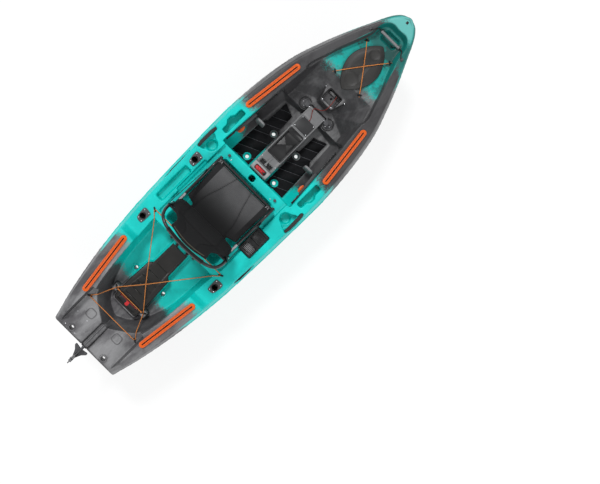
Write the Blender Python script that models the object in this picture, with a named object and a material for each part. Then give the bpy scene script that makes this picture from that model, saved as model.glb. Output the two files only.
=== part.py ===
"""Motorized sit-on-top kayak with a tilting motor console, in metres: +X bow, +Y port, +Z up.

The origin lies amidships on the flat of the bottom. The motor is down, the rudder is stowed over the
stern deck and the seat back stands up.
"""

import math

import bmesh
import bpy
from mathutils import Matrix, Vector

# Fits
GAP = 0.0003

# Hull lines
HALF_LENGTH = 1.60
HALF_BEAM = 0.47
SHEER_AFT = 0.42
SHEER_MID = 0.358
SHEER_BOW = 0.455
AFT_SHELF_END = -0.825
SHEER_RAMP = 0.045
BOW_RISE_START = 0.10
GUNWALE_RADIUS = 0.012
FLAT_AFT = -0.42
FLAT_FORE = 0.40

# Wells
STERN_DECK_Z = 0.335
STERN_DECK_HALF = 0.243
STERN_SLOPE_X = -HALF_LENGTH + 0.122
TANKWELL_Z = 0.19
TANKWELL_FORE = -0.615
SEAT_WELL_AFT = -0.56
SEAT_WELL_FORE = 0.026
SEAT_WELL_HALF = 0.238
SEAT_LEDGE_Z = 0.335
SEAT_LEDGE_HALF = 0.300
FLOOR_Z = 0.13
BEAM_TOP_Z = 0.325
FOOTWELL_AFT = 0.10
FOOTWELL_FORE = 0.655
FOOTWELL_FLOOR_HALF = 0.262
SHELF_Z = 0.205
STEP_Z = 0.20
STEP_FORE = 0.775
BOW_DECK_Z = 0.372
BOW_DECK_AFT = 0.97
BOW_WELL_FORE = HALF_LENGTH - 0.135
SCUPPER_RADIUS = 0.015
WALL_AFT = (0.10, 0.330)
WALL_FORE = (0.655, 0.292)

# Battery plinth and cover
PLINTH_TOP = 0.245
BATTERY_SIZE = (0.26, 0.165, 0.15)
BATTERY_X = -1.02
COVER_AFT = -1.215
COVER_FORE = -0.655
COVER_HALF = 0.107
COVER_NECK_HALF = 0.069
COVER_THICKNESS = 0.017
STRAP_X = COVER_AFT + 0.046

# Motor console
PIVOT = (0.705, 0.225)
CONSOLE_AFT = 0.110
CONSOLE_HALF = 0.073
CONSOLE_TOP = 0.236
CONSOLE_SKIN = 0.006
REAR_BLOCK_TOP = 0.262
BARREL_RADIUS = 0.014
PIVOT_RADIUS = 0.006
WELL_AFT = 0.20
WELL_HALF = 0.060
POD_RADIUS = 0.045
POD_Z = -0.055
POD_AFT = 0.464
POD_NOSE = POD_AFT + 0.323
POD_WALL = 0.005
PROP_X = POD_AFT - 0.023
PROP_RADIUS = 0.12
HUB_RADIUS = 0.040
SHAFT_RADIUS = 0.005

# Rudder
YAW_X = -HALF_LENGTH - 0.032
BLADE_PIVOT = (YAW_X - 0.073, 0.372)
BLADE_DISC_RADIUS = 0.041
BLADE_THICKNESS = 0.008
BLADE_LENGTH = 0.375

# Tracks and small gear
TRACK_WIDTH = 0.045
TRACK_HEIGHT = 0.012
CORD_RADIUS = 0.003
EYE_RADIUS = 0.012
EYE_WIRE = 0.0025
TUBE_RADIUS = 0.011

# Seat
SEAT_HALF = 0.25
SEAT_RAIL_Y = 0.252
SEAT_PIVOT = (-0.445, 0.402)
SEAT_LUG_Y = 0.2395

FINISHES = {
    "teal": ((0.0, 0.42, 0.38), 0.45, 0.0),
    "charcoal": ((0.05, 0.05, 0.055), 0.5, 0.0),
    "orange": ((0.85, 0.14, 0.02), 0.4, 0.0),
    "bungee": ((0.6, 0.22, 0.05), 0.8, 0.0),
    "black": ((0.02, 0.02, 0.02), 0.6, 0.0),
    "foam": ((0.012, 0.012, 0.014), 0.9, 0.0),
    "fabric": ((0.05, 0.05, 0.05), 0.85, 0.0),
    "grey": ((0.25, 0.25, 0.26), 0.5, 0.0),
    "pale": ((0.7, 0.72, 0.74), 0.35, 0.0),
    "steel": ((0.6, 0.6, 0.62), 0.3, 1.0),
    "red": ((0.5, 0.01, 0.01), 0.4, 0.0),
}

X_AXIS = Vector((1, 0, 0))
Y_AXIS = Vector((0, 1, 0))
Z_AXIS = Vector((0, 0, 1))
PLAN = (X_AXIS, Y_AXIS, Z_AXIS)
PROFILE = (X_AXIS, Z_AXIS, Y_AXIS)
SECTION = (Y_AXIS, Z_AXIS, X_AXIS)


# Curves and outlines

def line_through(points):
    """Returns a smooth function through (x, value) points that never overshoots them."""
    xs = [p[0] for p in points]
    vs = [p[1] for p in points]
    slopes = [(vs[i + 1] - vs[i]) / (xs[i + 1] - xs[i]) for i in range(len(xs) - 1)]
    tangents = [slopes[0]]
    for left, right in zip(slopes, slopes[1:]):
        tangents.append(0.0 if left * right <= 0 else 2 * left * right / (left + right))
    tangents.append(slopes[-1])

    def value(x):
        if x <= xs[0]:
            return vs[0]
        if x >= xs[-1]:
            return vs[-1]
        i = max(k for k in range(len(xs) - 1) if xs[k] <= x)
        width = xs[i + 1] - xs[i]
        t = (x - xs[i]) / width
        return ((2 * t**3 - 3 * t**2 + 1) * vs[i] + (t**3 - 2 * t**2 + t) * width * tangents[i]
                + (3 * t**2 - 2 * t**3) * vs[i + 1] + (t**3 - t**2) * width * tangents[i + 1])
    return value


def smoothstep(t):
    t = min(max(t, 0.0), 1.0)
    return t * t * (3 - 2 * t)


def mix(a, b, t):
    return tuple(p + (q - p) * t for p, q in zip(a, b))


def smooth_path(points, steps, cyclic=False):
    """Samples a Catmull-Rom curve through points, with steps samples in each span."""
    count = len(points)
    spans = count if cyclic else count - 1
    result = []
    for i in range(spans):
        if cyclic:
            p0, p1, p2, p3 = (Vector(points[(i + k) % count]) for k in (-1, 0, 1, 2))
        else:
            p1, p2 = Vector(points[i]), Vector(points[i + 1])
            p0 = Vector(points[i - 1]) if i > 0 else p1 * 2 - p2
            p3 = Vector(points[i + 2]) if i + 2 < count else p2 * 2 - p1
        for k in range(steps):
            t = k / steps
            result.append(0.5 * (2 * p1 + (p2 - p0) * t + (2 * p0 - 5 * p1 + 4 * p2 - p3) * t * t
                                 + (3 * p1 - p0 - 3 * p2 + p3) * t**3))
    if not cyclic:
        result.append(Vector(points[-1]))
    return result


def mirrored(half):
    """Closes an outline given on the port side, from its aft point on the centre line to its fore one."""
    return list(half) + [(x, -y) for x, y in reversed(half) if abs(y) > 1e-9]


def rounded_box(x0, x1, y0, y1, radius, steps=3):
    corners = ((x1 - radius, y1 - radius, 0), (x0 + radius, y1 - radius, 90),
               (x0 + radius, y0 + radius, 180), (x1 - radius, y0 + radius, 270))
    outline = []
    for cx, cy, start in corners:
        for k in range(steps + 1):
            angle = math.radians(start + 90 * k / steps)
            outline.append((cx + radius * math.cos(angle), cy + radius * math.sin(angle)))
    return outline


def circle(cx, cy, radius, steps=16):
    return [(cx + radius * math.cos(2 * math.pi * k / steps), cy + radius * math.sin(2 * math.pi * k / steps))
            for k in range(steps)]


def stadium(start, end, half, steps=6):
    """A slot outline with round ends between two plan points."""
    direction = math.atan2(end[1] - start[1], end[0] - start[0])
    outline = []
    for centre, turn in ((end, -90), (start, 90)):
        for k in range(steps + 1):
            angle = direction + math.radians(turn + 180 * k / steps)
            outline.append((centre[0] + half * math.cos(angle), centre[1] + half * math.sin(angle)))
    return outline


def lens(x0, x1, half, steps=10):
    """A pointed oval made of two equal arcs, with blunted tips."""
    length = x1 - x0
    port = [(x0 + length * k / steps, half * math.sin(math.pi * k / steps) ** 0.72) for k in range(1, steps)]
    return mirrored([(x0, 0.0)] + port + [(x1, 0.0)])


# Solids

def finish_of(name):
    material = bpy.data.materials.get(name)
    if material is None:
        colour, roughness, metallic = FINISHES[name]
        material = bpy.data.materials.new(name)
        material.use_nodes = True
        shader = material.node_tree.nodes["Principled BSDF"]
        shader.inputs["Base Color"].default_value = (*colour, 1.0)
        shader.inputs["Roughness"].default_value = roughness
        shader.inputs["Metallic"].default_value = metallic
        material.diffuse_color = (*colour, 1.0)
    return material


def solid(name, vertices, faces, finish, crease=35):
    mesh = bpy.data.meshes.new(name)
    mesh.from_pydata([tuple(v) for v in vertices], [], faces)
    work = bmesh.new()
    work.from_mesh(mesh)
    bmesh.ops.recalc_face_normals(work, faces=work.faces)
    work.to_mesh(mesh)
    work.free()
    mesh.shade_smooth()
    mesh.set_sharp_from_angle(angle=math.radians(crease))
    piece = bpy.data.objects.new(name, mesh)
    bpy.context.scene.collection.objects.link(piece)
    mesh.materials.append(finish_of(finish))
    return piece


def loft(name, rings, finish, crease=35, banded=False):
    """Skins rings of equal length into one closed body; a banded end joins each point to its mirror image."""
    count = len(rings[0])
    vertices = [v for ring in rings for v in ring]
    faces = []
    for end in (0, len(vertices) - count):
        if banded:
            faces.append(tuple(end + k for k in (0, 1, 2, count - 2, count - 1)))
            faces += [(end + k, end + k + 1, end + count - k - 1, end + count - k) for k in range(2, count // 2 - 2)]
            faces.append(tuple(end + count // 2 + k for k in (-2, -1, 0, 1, 2)))
        else:
            faces.append(tuple(range(end, end + count)))
    for r in range(len(rings) - 1):
        for k in range(count):
            a, b = r * count + k, r * count + (k + 1) % count
            faces.append((a, b, b + count, a + count))
    return solid(name, vertices, faces, finish, crease)


def prism(name, outline, low, high, finish, frame=PLAN, top=None, crease=35):
    """Extrudes an outline from low to high along the frame's third axis, to the top outline if given."""
    u, v, w = frame
    rings = [[u * a + v * b + w * low for a, b in outline],
             [u * a + v * b + w * high for a, b in (top or outline)]]
    return loft(name, rings, finish, crease)


def turned(name, profile, origin, axis, finish, steps=20, bored=False, crease=35):
    """Revolves (radius, height) points about an axis; bored joins the last point to the first."""
    axis = Vector(axis).normalized()
    side = axis.orthogonal().normalized()
    other = axis.cross(side)
    origin = Vector(origin)
    vertices, rows = [], []
    for radius, height in profile:
        centre = origin + axis * height
        if radius < 1e-7:
            rows.append([len(vertices)] * steps)
            vertices.append(centre)
            continue
        rows.append(list(range(len(vertices), len(vertices) + steps)))
        for k in range(steps):
            angle = 2 * math.pi * k / steps
            vertices.append(centre + (side * math.cos(angle) + other * math.sin(angle)) * radius)
    faces = []
    pairs = list(zip(rows, rows[1:]))
    if bored:
        pairs.append((rows[-1], rows[0]))
    for lower, upper in pairs:
        for k in range(steps):
            n = (k + 1) % steps
            face = []
            for index in (lower[k], lower[n], upper[n], upper[k]):
                if index not in face:
                    face.append(index)
            faces.append(tuple(face))
    if not bored:
        for row in (rows[0], rows[-1]):
            if row[0] != row[1]:
                faces.append(tuple(row))
    return solid(name, vertices, faces, finish, crease)


def rod(name, start, end, radius, finish, steps=16):
    start, end = Vector(start), Vector(end)
    length = (end - start).length
    return turned(name, ((radius, 0), (radius, length)), start, end - start, finish, steps)


def tube(name, points, radius, finish, sides=12):
    """A bent round bar, swept along its points without twisting."""
    points = [Vector(p) for p in points]
    side = (points[1] - points[0]).orthogonal()
    rings = []
    for i, point in enumerate(points):
        tangent = (points[min(i + 1, len(points) - 1)] - points[max(i - 1, 0)]).normalized()
        side = (side - tangent * side.dot(tangent)).normalized()
        other = tangent.cross(side)
        rings.append([point + (side * math.cos(a) + other * math.sin(a)) * radius
                      for a in (2 * math.pi * k / sides for k in range(sides))])
    return loft(name, rings, finish, 50)


def cord(name, points, radius, finish, cyclic=False):
    """A held cord: a bevelled curve with filled caps."""
    curve = bpy.data.curves.new(name, "CURVE")
    curve.dimensions = "3D"
    curve.bevel_depth = radius
    curve.bevel_resolution = 1
    curve.use_fill_caps = True
    add_spline(curve, points, cyclic)
    curve.materials.append(finish_of(finish))
    piece = bpy.data.objects.new(name, curve)
    bpy.context.scene.collection.objects.link(piece)
    return piece


def add_spline(curve, points, cyclic=False):
    spline = curve.splines.new("POLY")
    spline.points.add(len(points) - 1)
    for point, place in zip(spline.points, points):
        point.co = (*place, 1.0)
    spline.use_cyclic_u = cyclic


def boolean(piece, tools, operation):
    for tool in tools:
        modifier = piece.modifiers.new(operation.title(), "BOOLEAN")
        modifier.operation = operation
        modifier.solver = "EXACT"
        modifier.object = tool
        tool.hide_render = True
        tool.display_type = "WIRE"
    return piece


def fuse(piece, *tools):
    return boolean(piece, tools, "UNION")


def carve(piece, *tools):
    return boolean(piece, tools, "DIFFERENCE")


def soften(piece, width, segments=1, angle=40):
    modifier = piece.modifiers.new("Bevel", "BEVEL")
    modifier.width = width
    modifier.segments = segments
    modifier.limit_method = "ANGLE"
    modifier.angle_limit = math.radians(angle)
    return piece


def hang_on(piece, point):
    """Moves a piece's origin to a point on its joint's axis, with the shape left where it is."""
    point = Vector(point)
    piece.data.transform(Matrix.Translation(-point))
    piece.location = point
    return piece


def sided(name, side):
    return f"{name}_{'port' if side > 0 else 'stbd'}"


# Hull lines, as shares of the half length and half beam where a line follows them

BEAM_LINE = line_through(((-1.0, 0.60), (-0.85, 0.735), (-0.63, 0.87), (-0.375, 0.957), (0.0, 0.997),
                          (0.15, 1.0), (0.275, 0.977), (0.41, 0.925), (0.54, 0.84), (0.66, 0.70),
                          (0.79, 0.52), (0.88, 0.372), (0.95, 0.245), (0.98, 0.165), (0.993, 0.105), (1.0, 0.04)))
CREASE_LINE = line_through(((-1.0, 0.312), (-0.7, 0.266), (-0.4, 0.227), (-0.05, 0.213), (0.33, 0.263),
                            (0.57, 0.303), (0.76, 0.347), (0.87, 0.378), (1.0, 0.415)))
KEEL_LINE = line_through(((-1.0, 0.15), (-0.93, 0.135), (-0.85, 0.10), (-0.67, 0.066), (-0.51, 0.03),
                          (-0.4, 0.01), (FLAT_AFT / HALF_LENGTH, 0.0), (FLAT_FORE / HALF_LENGTH, 0.0),
                          (0.37, 0.008), (0.49, 0.029), (0.61, 0.054), (0.67, 0.083), (0.76, 0.125),
                          (0.82, 0.145), (1.0, 0.2)))
KEEL_HALF_LINE = line_through(((-1.0, 0.12), (-0.8, 0.19), (-0.4, 0.28), (0.0, 0.30), (0.3, 0.26), (0.5, 0.18),
                               (0.66, 0.10), (0.8, 0.045), (1.0, 0.008)))
CHINE_HALF_LINE = line_through(((-1.0, 0.21), (-0.8, 0.285), (-0.4, 0.372), (0.0, 0.40), (0.3, 0.37), (0.5, 0.285),
                                (0.66, 0.19), (0.8, 0.105), (0.9, 0.055), (1.0, 0.014)))
CHINE_RISE_LINE = line_through(((-1.0, 0.03), (0.0, 0.055), (0.66, 0.045), (1.0, 0.05)))
TUMBLE_LINE = line_through(((-1.0, 0.018), (-0.5, 0.03), (0.5, 0.03), (0.85, 0.018), (1.0, 0.003)))
STEM_LINE = line_through(((0.03, -0.22), (0.047, -0.175), (0.081, -0.132), (0.141, -0.098), (0.21, -0.068),
                          (0.281, -0.046), (0.375, -0.015), (0.415, 0.0), (0.458, -0.034)))


def share(x):
    return x / HALF_LENGTH


def half_beam(x):
    return HALF_BEAM * BEAM_LINE(share(x))


def sheer(x):
    """Height of the gunwale: a high shelf aft, a low waist, and a steady rise to the bow."""
    waist = SHEER_MID + (SHEER_BOW - SHEER_MID) * max(0.0, x - BOW_RISE_START) / (HALF_LENGTH - BOW_RISE_START)
    return SHEER_AFT + (waist - SHEER_AFT) * smoothstep((x - AFT_SHELF_END) / SHEER_RAMP)


def gunwale_half(x):
    return half_beam(x) - TUMBLE_LINE(share(x))


def hull_section(x):
    """Half section from the keel to the middle of the deck, as (y, z) points."""
    s = share(x)
    keel = KEEL_LINE(s)
    keel_edge = (KEEL_HALF_LINE(s), keel)
    chine = (CHINE_HALF_LINE(s), keel + CHINE_RISE_LINE(s))
    crease = (half_beam(x), CREASE_LINE(s))
    top = (gunwale_half(x), sheer(x))
    radius = min(GUNWALE_RADIUS, top[0] * 0.4)
    bilge_in, bilge_out = mix(chine, keel_edge, 0.3), mix(chine, crease, 0.22)
    bilge = mix(mix(bilge_in, bilge_out, 0.5), chine, 0.5)
    side = mix(bilge_out, crease, 0.55)
    upper = mix(crease, top, 0.55)
    return [(0.0, keel), keel_edge, bilge_in, bilge, bilge_out, (side[0] + 0.006, side[1]), crease,
            (upper[0] + 0.002, upper[1]), (top[0] + 0.001, top[1] - radius),
            (top[0] - radius * 0.3, top[1] - radius * 0.3), (top[0] - radius, top[1]),
            (0.0, top[1])]


def hull_ring(x):
    rake = smoothstep((x - 1.05) / (HALF_LENGTH - 1.05))
    half = hull_section(x)
    ring = [(y, z) for y, z in half] + [(-y, z) for y, z in reversed(half[1:-1])]
    return [Vector((x + STEM_LINE(z) * rake, y, z)) for y, z in ring]


def hull_stations():
    plain = [-HALF_LENGTH + 0.1 * k for k in range(33)]
    ramp = [AFT_SHELF_END + SHEER_RAMP * k / 4 for k in range(5)]
    bow = [HALF_LENGTH - d for d in (0.15, 0.06, 0.035, 0.018, 0.008, 0.002)]
    fixed = [FLAT_AFT, FLAT_FORE]
    stations = sorted(plain + ramp + bow + fixed)
    return [x for i, x in enumerate(stations) if i == 0 or x - stations[i - 1] > 0.0015]


def basin(name, levels):
    """A cutter for a moulded well: plan outlines at rising heights, and straight up from the last."""
    top_outline = levels[-1][1]
    rings = [[Vector((x, y, z)) for x, y in outline] for z, outline in levels]
    rings.append([Vector((x, y, SHEER_AFT + 0.2)) for x, y in top_outline])
    return loft(name, rings, "charcoal")


def blended(half, steps):
    """A smooth mirrored plan outline through half outline points."""
    return mirrored([tuple(p) for p in smooth_path([Vector((x, y)) for x, y in half], steps)])


def stern_cutters():
    half = HALF_BEAM + 0.1
    rear = -HALF_LENGTH
    transom = ((rear - 0.08, 0.27), (rear, 0.27), (rear + 0.059, 0.197), (rear + 0.063, 0.152),
               (rear + 0.088, 0.148), (rear + 0.10, 0.05), (rear - 0.08, 0.05))
    slope = ((STERN_SLOPE_X, SHEER_AFT + 0.001), (rear - 0.02, 0.306), (rear - 0.08, 0.306),
             (rear - 0.08, SHEER_AFT + 0.1), (STERN_SLOPE_X, SHEER_AFT + 0.1))
    deck_half = STERN_DECK_HALF
    return (prism("cut_transom", transom, -half, half, "charcoal", PROFILE),
            prism("cut_stern_slope", slope, -half, half, "charcoal", PROFILE),
            prism("cut_stern_deck", ((rear - 0.08, -deck_half), (-1.24, -deck_half), (-1.24, deck_half),
                                     (rear - 0.08, deck_half)), STERN_DECK_Z, SHEER_AFT + 0.2, "charcoal",
                  top=((rear - 0.08, -deck_half - 0.02), (-1.24, -deck_half - 0.02), (-1.24, deck_half + 0.02),
                       (rear - 0.08, deck_half + 0.02))),
            basin("cut_rudder_slot", ((0.30, rounded_box(-1.70, -1.39, -0.026, 0.026, 0.012)),
                                      (STERN_DECK_Z, rounded_box(-1.70, -1.385, -0.027, 0.027, 0.012)))))


def well_cutters():
    tank_floor = blended(((-1.315, 0.0), (-1.265, 0.095), (-1.17, 0.165), (-1.05, 0.214), (-0.90, 0.243),
                          (TANKWELL_FORE - 0.01, 0.258)), 3)
    tank_top = blended(((-1.42, 0.0), (-1.35, 0.105), (-1.285, 0.196), (-1.16, 0.236), (-0.95, 0.262),
                        (TANKWELL_FORE, 0.286)), 3)
    seat_low = rounded_box(SEAT_WELL_AFT + 0.012, SEAT_WELL_FORE - 0.008, -SEAT_WELL_HALF + 0.02,
                           SEAT_WELL_HALF - 0.02, 0.03)
    seat_high = rounded_box(SEAT_WELL_AFT, SEAT_WELL_FORE, -SEAT_WELL_HALF, SEAT_WELL_HALF, 0.03)
    ledge = rounded_box(SEAT_WELL_AFT + 0.005, SEAT_WELL_FORE + 0.03, -SEAT_LEDGE_HALF, SEAT_LEDGE_HALF, 0.012)
    beam_half = WALL_AFT[1] - 0.03
    beam = ((SEAT_WELL_FORE - 0.02, -beam_half), (FOOTWELL_AFT + 0.05, -beam_half),
            (FOOTWELL_AFT + 0.05, beam_half), (SEAT_WELL_FORE - 0.02, beam_half))
    floor_half = FOOTWELL_FLOOR_HALF
    foot_floor = mirrored(((FOOTWELL_AFT + 0.004, 0.0), (FOOTWELL_AFT + 0.004, floor_half),
                           (FOOTWELL_FORE - 0.03, floor_half - 0.035), (FOOTWELL_FORE, 0.0)))
    foot_top = mirrored(((FOOTWELL_AFT, 0.0), (FOOTWELL_AFT, WALL_AFT[1]), (FOOTWELL_FORE, WALL_FORE[1]),
                         (FOOTWELL_FORE + 0.012, 0.0)))
    step_floor = mirrored(((FOOTWELL_FORE - 0.02, 0.0), (FOOTWELL_FORE - 0.02, 0.245), (0.715, 0.235),
                           (STEP_FORE, 0.09), (STEP_FORE, 0.0)))
    step_top = mirrored(((FOOTWELL_FORE - 0.02, 0.0), (FOOTWELL_FORE - 0.02, WALL_FORE[1]), (0.86, 0.268),
                         (BOW_DECK_AFT + 0.02, 0.235), (BOW_DECK_AFT + 0.02, 0.0)))
    bow_deck = blended(((BOW_DECK_AFT - 0.13, 0.0), (BOW_DECK_AFT - 0.12, 0.262), (1.05, 0.222), (1.20, 0.165),
                        (1.33, 0.113), (1.43, 0.098), (BOW_WELL_FORE, 0.06), (BOW_WELL_FORE, 0.0)), 3)
    bow_deck_top = blended(((BOW_DECK_AFT - 0.13, 0.0), (BOW_DECK_AFT - 0.12, 0.275), (1.05, 0.240), (1.20, 0.188),
                            (1.33, 0.138), (1.43, 0.118), (BOW_WELL_FORE + 0.02, 0.07), (BOW_WELL_FORE + 0.02, 0.0)), 3)
    return (basin("cut_tankwell", ((TANKWELL_Z, tank_floor), (SHEER_MID, tank_top))),
            basin("cut_seat_well", ((FLOOR_Z, seat_low), (SEAT_LEDGE_Z, seat_high))),
            basin("cut_seat_ledge", ((SEAT_LEDGE_Z, ledge),)),
            basin("cut_cross_beam", ((BEAM_TOP_Z, beam),)),
            basin("cut_footwell", ((FLOOR_Z, foot_floor), (SHELF_Z, foot_top))),
            basin("cut_step", ((STEP_Z, step_floor), (BOW_DECK_Z, step_top))),
            basin("cut_bow_deck", ((BOW_DECK_Z, bow_deck), (SHEER_BOW, bow_deck_top))))


def bow_cutters():
    hold_low = lens(1.0, 1.24, 0.05)
    hold_high = lens(0.965, 1.295, 0.098)
    bow_well_low = rounded_box(1.375, BOW_WELL_FORE - 0.025, -0.055, 0.055, 0.02)
    bow_well_high = rounded_box(1.365, BOW_WELL_FORE - 0.012, -0.068, 0.068, 0.02)
    return (basin("cut_bow_hold", ((0.17, hold_low), (BOW_DECK_Z, hold_high))),
            basin("cut_bow_well", ((0.335, bow_well_low), (BOW_DECK_Z, bow_well_high))))


def motor_cutters():
    """Console bay, the slot the motor swings through and the tunnel the propeller turns in."""
    bay_half = CONSOLE_HALF + 0.004
    bay = rounded_box(FOOTWELL_AFT + 0.001, PIVOT[0] + BARREL_RADIUS + 0.008, -bay_half, bay_half, 0.01)
    well = ((WELL_AFT, -0.1), (POD_NOSE + 0.028, -0.1), (POD_NOSE + 0.028, 0.0), (POD_NOSE - 0.02, 0.03),
            (0.69, FLOOR_Z + 0.01), (WELL_AFT, FLOOR_Z + 0.01))
    return (basin("cut_console_bay", ((FLOOR_Z, bay),)),
            prism("cut_motor_well", well, -WELL_HALF, WELL_HALF, "charcoal", PROFILE),
            rod("cut_prop_tunnel", (PROP_X - 0.055, 0, POD_Z), (PROP_X + 0.06, 0, POD_Z), PROP_RADIUS + 0.015,
                "charcoal", 28))


SCUPPERS = ((-1.56, 0.154, STERN_DECK_Z), (-0.97, 0.134, TANKWELL_Z), (0.147, 0.137, FLOOR_Z),
            (0.395, 0.114, FLOOR_Z))


def scupper_cutters():
    cutters = []
    for x, y, z in SCUPPERS:
        for side in (1, -1):
            profile = ((SCUPPER_RADIUS, -0.4), (SCUPPER_RADIUS, -0.004), (SCUPPER_RADIUS + 0.008, 0.002),
                       (SCUPPER_RADIUS + 0.008, 0.01))
            cutters.append(turned("cut_scupper", profile, (x, y * side, z), Z_AXIS, "charcoal", 8))
    return cutters


def side_cutters():
    """Pockets, scoops, recesses and the holes of the rod tubes along both gunwales."""
    cutters = [basin("cut_port_tray", ((0.312, rounded_box(-0.488, -0.207, 0.335, 0.385, 0.008)),
                                       (SHEER_MID, rounded_box(-0.496, -0.199, 0.328, 0.392, 0.01)))),
               basin("cut_control_bay", ((CONTROL_BAY_Z, rounded_box(*CONTROL_BAY, 0.008)),))]
    for side in (1, -1):
        pocket = [(x, y * side) for x, y in POCKET]
        cutters.append(basin("cut_side_pocket", ((0.285, pocket),)))
        cutters.append(basin("cut_cup", ((0.272, circle(SCOOP_X, SCOOP_Y * side, 0.036)),
                                         (SHEER_MID, circle(SCOOP_X, SCOOP_Y * side, 0.045)))))
        flare = [(SCOOP_X + dx, y * side) for dx, y in
                 ((-0.022, SCOOP_Y - 0.04), (0.022, SCOOP_Y - 0.04), (0.072, PAD_INNER_Y - 0.006),
                  (0.045, PAD_INNER_Y), (0.062, 0.5), (-0.062, 0.5), (-0.045, PAD_INNER_Y),
                  (-0.072, PAD_INNER_Y - 0.006))]
        cutters.append(basin("cut_flare", ((0.303, flare),)))
        pad = ((PAD_X - 0.09, PAD_INNER_Y * side), (PAD_X + 0.09, PAD_INNER_Y * side),
               (PAD_X + 0.09, 0.5 * side), (PAD_X - 0.09, 0.5 * side))
        cutters.append(basin("cut_pad_seat", ((PAD_SEAT_Z, pad),)))
        x0, x1 = HANDLE_SPANS[side]
        recess = rounded_box(x0, x1, 0.268, 0.336, 0.006, 2)
        cutters.append(prism("cut_handle_recess", recess, HANDLE_WALL_Y * side, 0.52 * side, "charcoal", PROFILE))
    return cutters


SCOOP_X = 0.025
SCOOP_Y = HALF_BEAM - 0.108
PAD_X = 0.043
PAD_INNER_Y = HALF_BEAM - 0.058
PAD_SEAT_Z = 0.336
HANDLE_WALL_Y = HALF_BEAM - 0.058
HANDLE_SPANS = {1: (-0.362, -0.110), -1: (-0.542, -0.363)}
CONTROL_BAY = (-0.352, -0.148, 0.088 - HALF_BEAM, 0.200 - HALF_BEAM)
CONTROL_BAY_Z = 0.262
POCKET = [(x, HALF_BEAM - inward) for x, inward in (
    (0.150, 0.125), (0.345, 0.125), (0.345, 0.078), (0.285, 0.078), (0.262, 0.062), (0.225, 0.062),
    (0.200, 0.082), (0.150, 0.082))]
REAR_HOLDER_Y = HALF_BEAM - 0.118
ROD_HOLDERS = (("rod_holder_rear_port", -0.655, REAR_HOLDER_Y), ("rod_holder_rear_stbd", -0.655, -REAR_HOLDER_Y),
               ("rod_holder_side", -0.125, HALF_BEAM - 0.098))
ROD_TILT = math.radians(28)
ROD_TUBE_RADIUS = 0.025
ROD_BORE = 0.0215
ROD_DEPTH = 0.17


def rod_axis():
    return Vector((-math.sin(ROD_TILT), 0, math.cos(ROD_TILT)))


def battery_plinth():
    """The moulded seat of the battery lid, with a raised ear on each side for a pad eye."""
    outline = mirrored(((COVER_AFT - 0.012, 0.0), (COVER_AFT - 0.012, 0.108), (-1.13, COVER_HALF + 0.010),
                        (-0.87, COVER_HALF + 0.002), (-0.845, COVER_NECK_HALF + 0.010),
                        (TANKWELL_FORE + 0.02, COVER_NECK_HALF + 0.010), (TANKWELL_FORE + 0.02, 0.0)))
    plinth = prism("add_plinth", outline, TANKWELL_Z - 0.02, PLINTH_TOP, "charcoal")
    for side in (1, -1):
        ear = rounded_box(-1.182, -1.128, min(0.116 * side, 0.158 * side), max(0.116 * side, 0.158 * side), 0.008, 2)
        fuse(plinth, prism("add_ear", ear, TANKWELL_Z - 0.02, EAR_TOP, "charcoal"))
    return plinth


def bow_keel():
    profile = ((1.05, 0.16), (1.036, 0.05), (1.042, 0.036), (1.056, 0.03), (1.38, 0.03), (1.410, 0.037),
               (1.440, 0.056), (1.468, 0.084), (1.490, 0.116), (1.508, 0.150), (1.526, 0.190), (1.533, 0.215),
               (1.44, 0.25), (1.2, 0.2))
    fin = soften(prism("add_bow_keel", profile, -0.026, 0.026, "charcoal", PROFILE), 0.009, 2)
    return carve(fin, rod("cut_keel_mouth", (1.0, 0, 0.05), (1.075, 0, 0.05), 0.008, "charcoal", 12))


def stern_skeg():
    profile = ((-1.513, 0.16), (-1.511, 0.148), (-1.492, 0.047), (-1.485, 0.0453), (-0.93, 0.0453), (-0.93, 0.1),
               (-1.2, 0.16))
    return soften(prism("add_stern_skeg", profile, -0.03, 0.03, "charcoal", PROFILE), 0.006, 2)


def front_block():
    """The raised trapezoid ahead of the console, with the wiring recess in it."""
    low = ((0.765, -0.058), (0.93, -0.12), (0.93, 0.12), (0.765, 0.058))
    high = ((0.785, -0.052), (0.925, -0.105), (0.925, 0.105), (0.785, 0.052))
    return prism("add_front_block", low, STEP_Z - 0.02, FRONT_BLOCK_TOP, "charcoal", top=high)


FRONT_BLOCK_TOP = 0.300
GLAND_RECESS = (0.803, 0.895, -0.06, 0.06)
GLAND_RECESS_Z = 0.262


def hull():
    shell = loft("hull", [hull_ring(x) for x in hull_stations()], "teal", 30, banded=True)
    carve(shell, *stern_cutters())
    carve(shell, *well_cutters())
    fuse(shell, battery_plinth(), bow_keel(), stern_skeg(), front_block())
    bay = BATTERY_SIZE
    battery_bay = rounded_box(BATTERY_X - bay[0] / 2 - 0.006, BATTERY_X + bay[0] / 2 + 0.006,
                              -bay[1] / 2 - 0.006, bay[1] / 2 + 0.006, 0.01)
    carve(shell, basin("cut_battery_bay", ((BATTERY_FLOOR, battery_bay),)))
    carve(shell, basin("cut_gland_recess", ((GLAND_RECESS_Z, rounded_box(*GLAND_RECESS, 0.012)),)))
    carve(shell, rod("cut_gland_drain", (0.845, 0, 0.4), (0.845, 0, -0.1), 0.008, "charcoal", 10))
    carve(shell, *bow_cutters(), *motor_cutters(), *side_cutters(), *scupper_cutters())
    for _, x, y in ROD_HOLDERS:
        top = Vector((x, y, sheer(x)))
        carve(shell, rod("cut_rod_tube", top + rod_axis() * 0.05, top - rod_axis() * (ROD_DEPTH + GAP),
                         ROD_TUBE_RADIUS + GAP, "charcoal", 16))
    carve(shell, *latch_cutters())
    return fuse(shell, *pad_eyes(), *thumb_knobs(), *handle_anchors())


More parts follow.
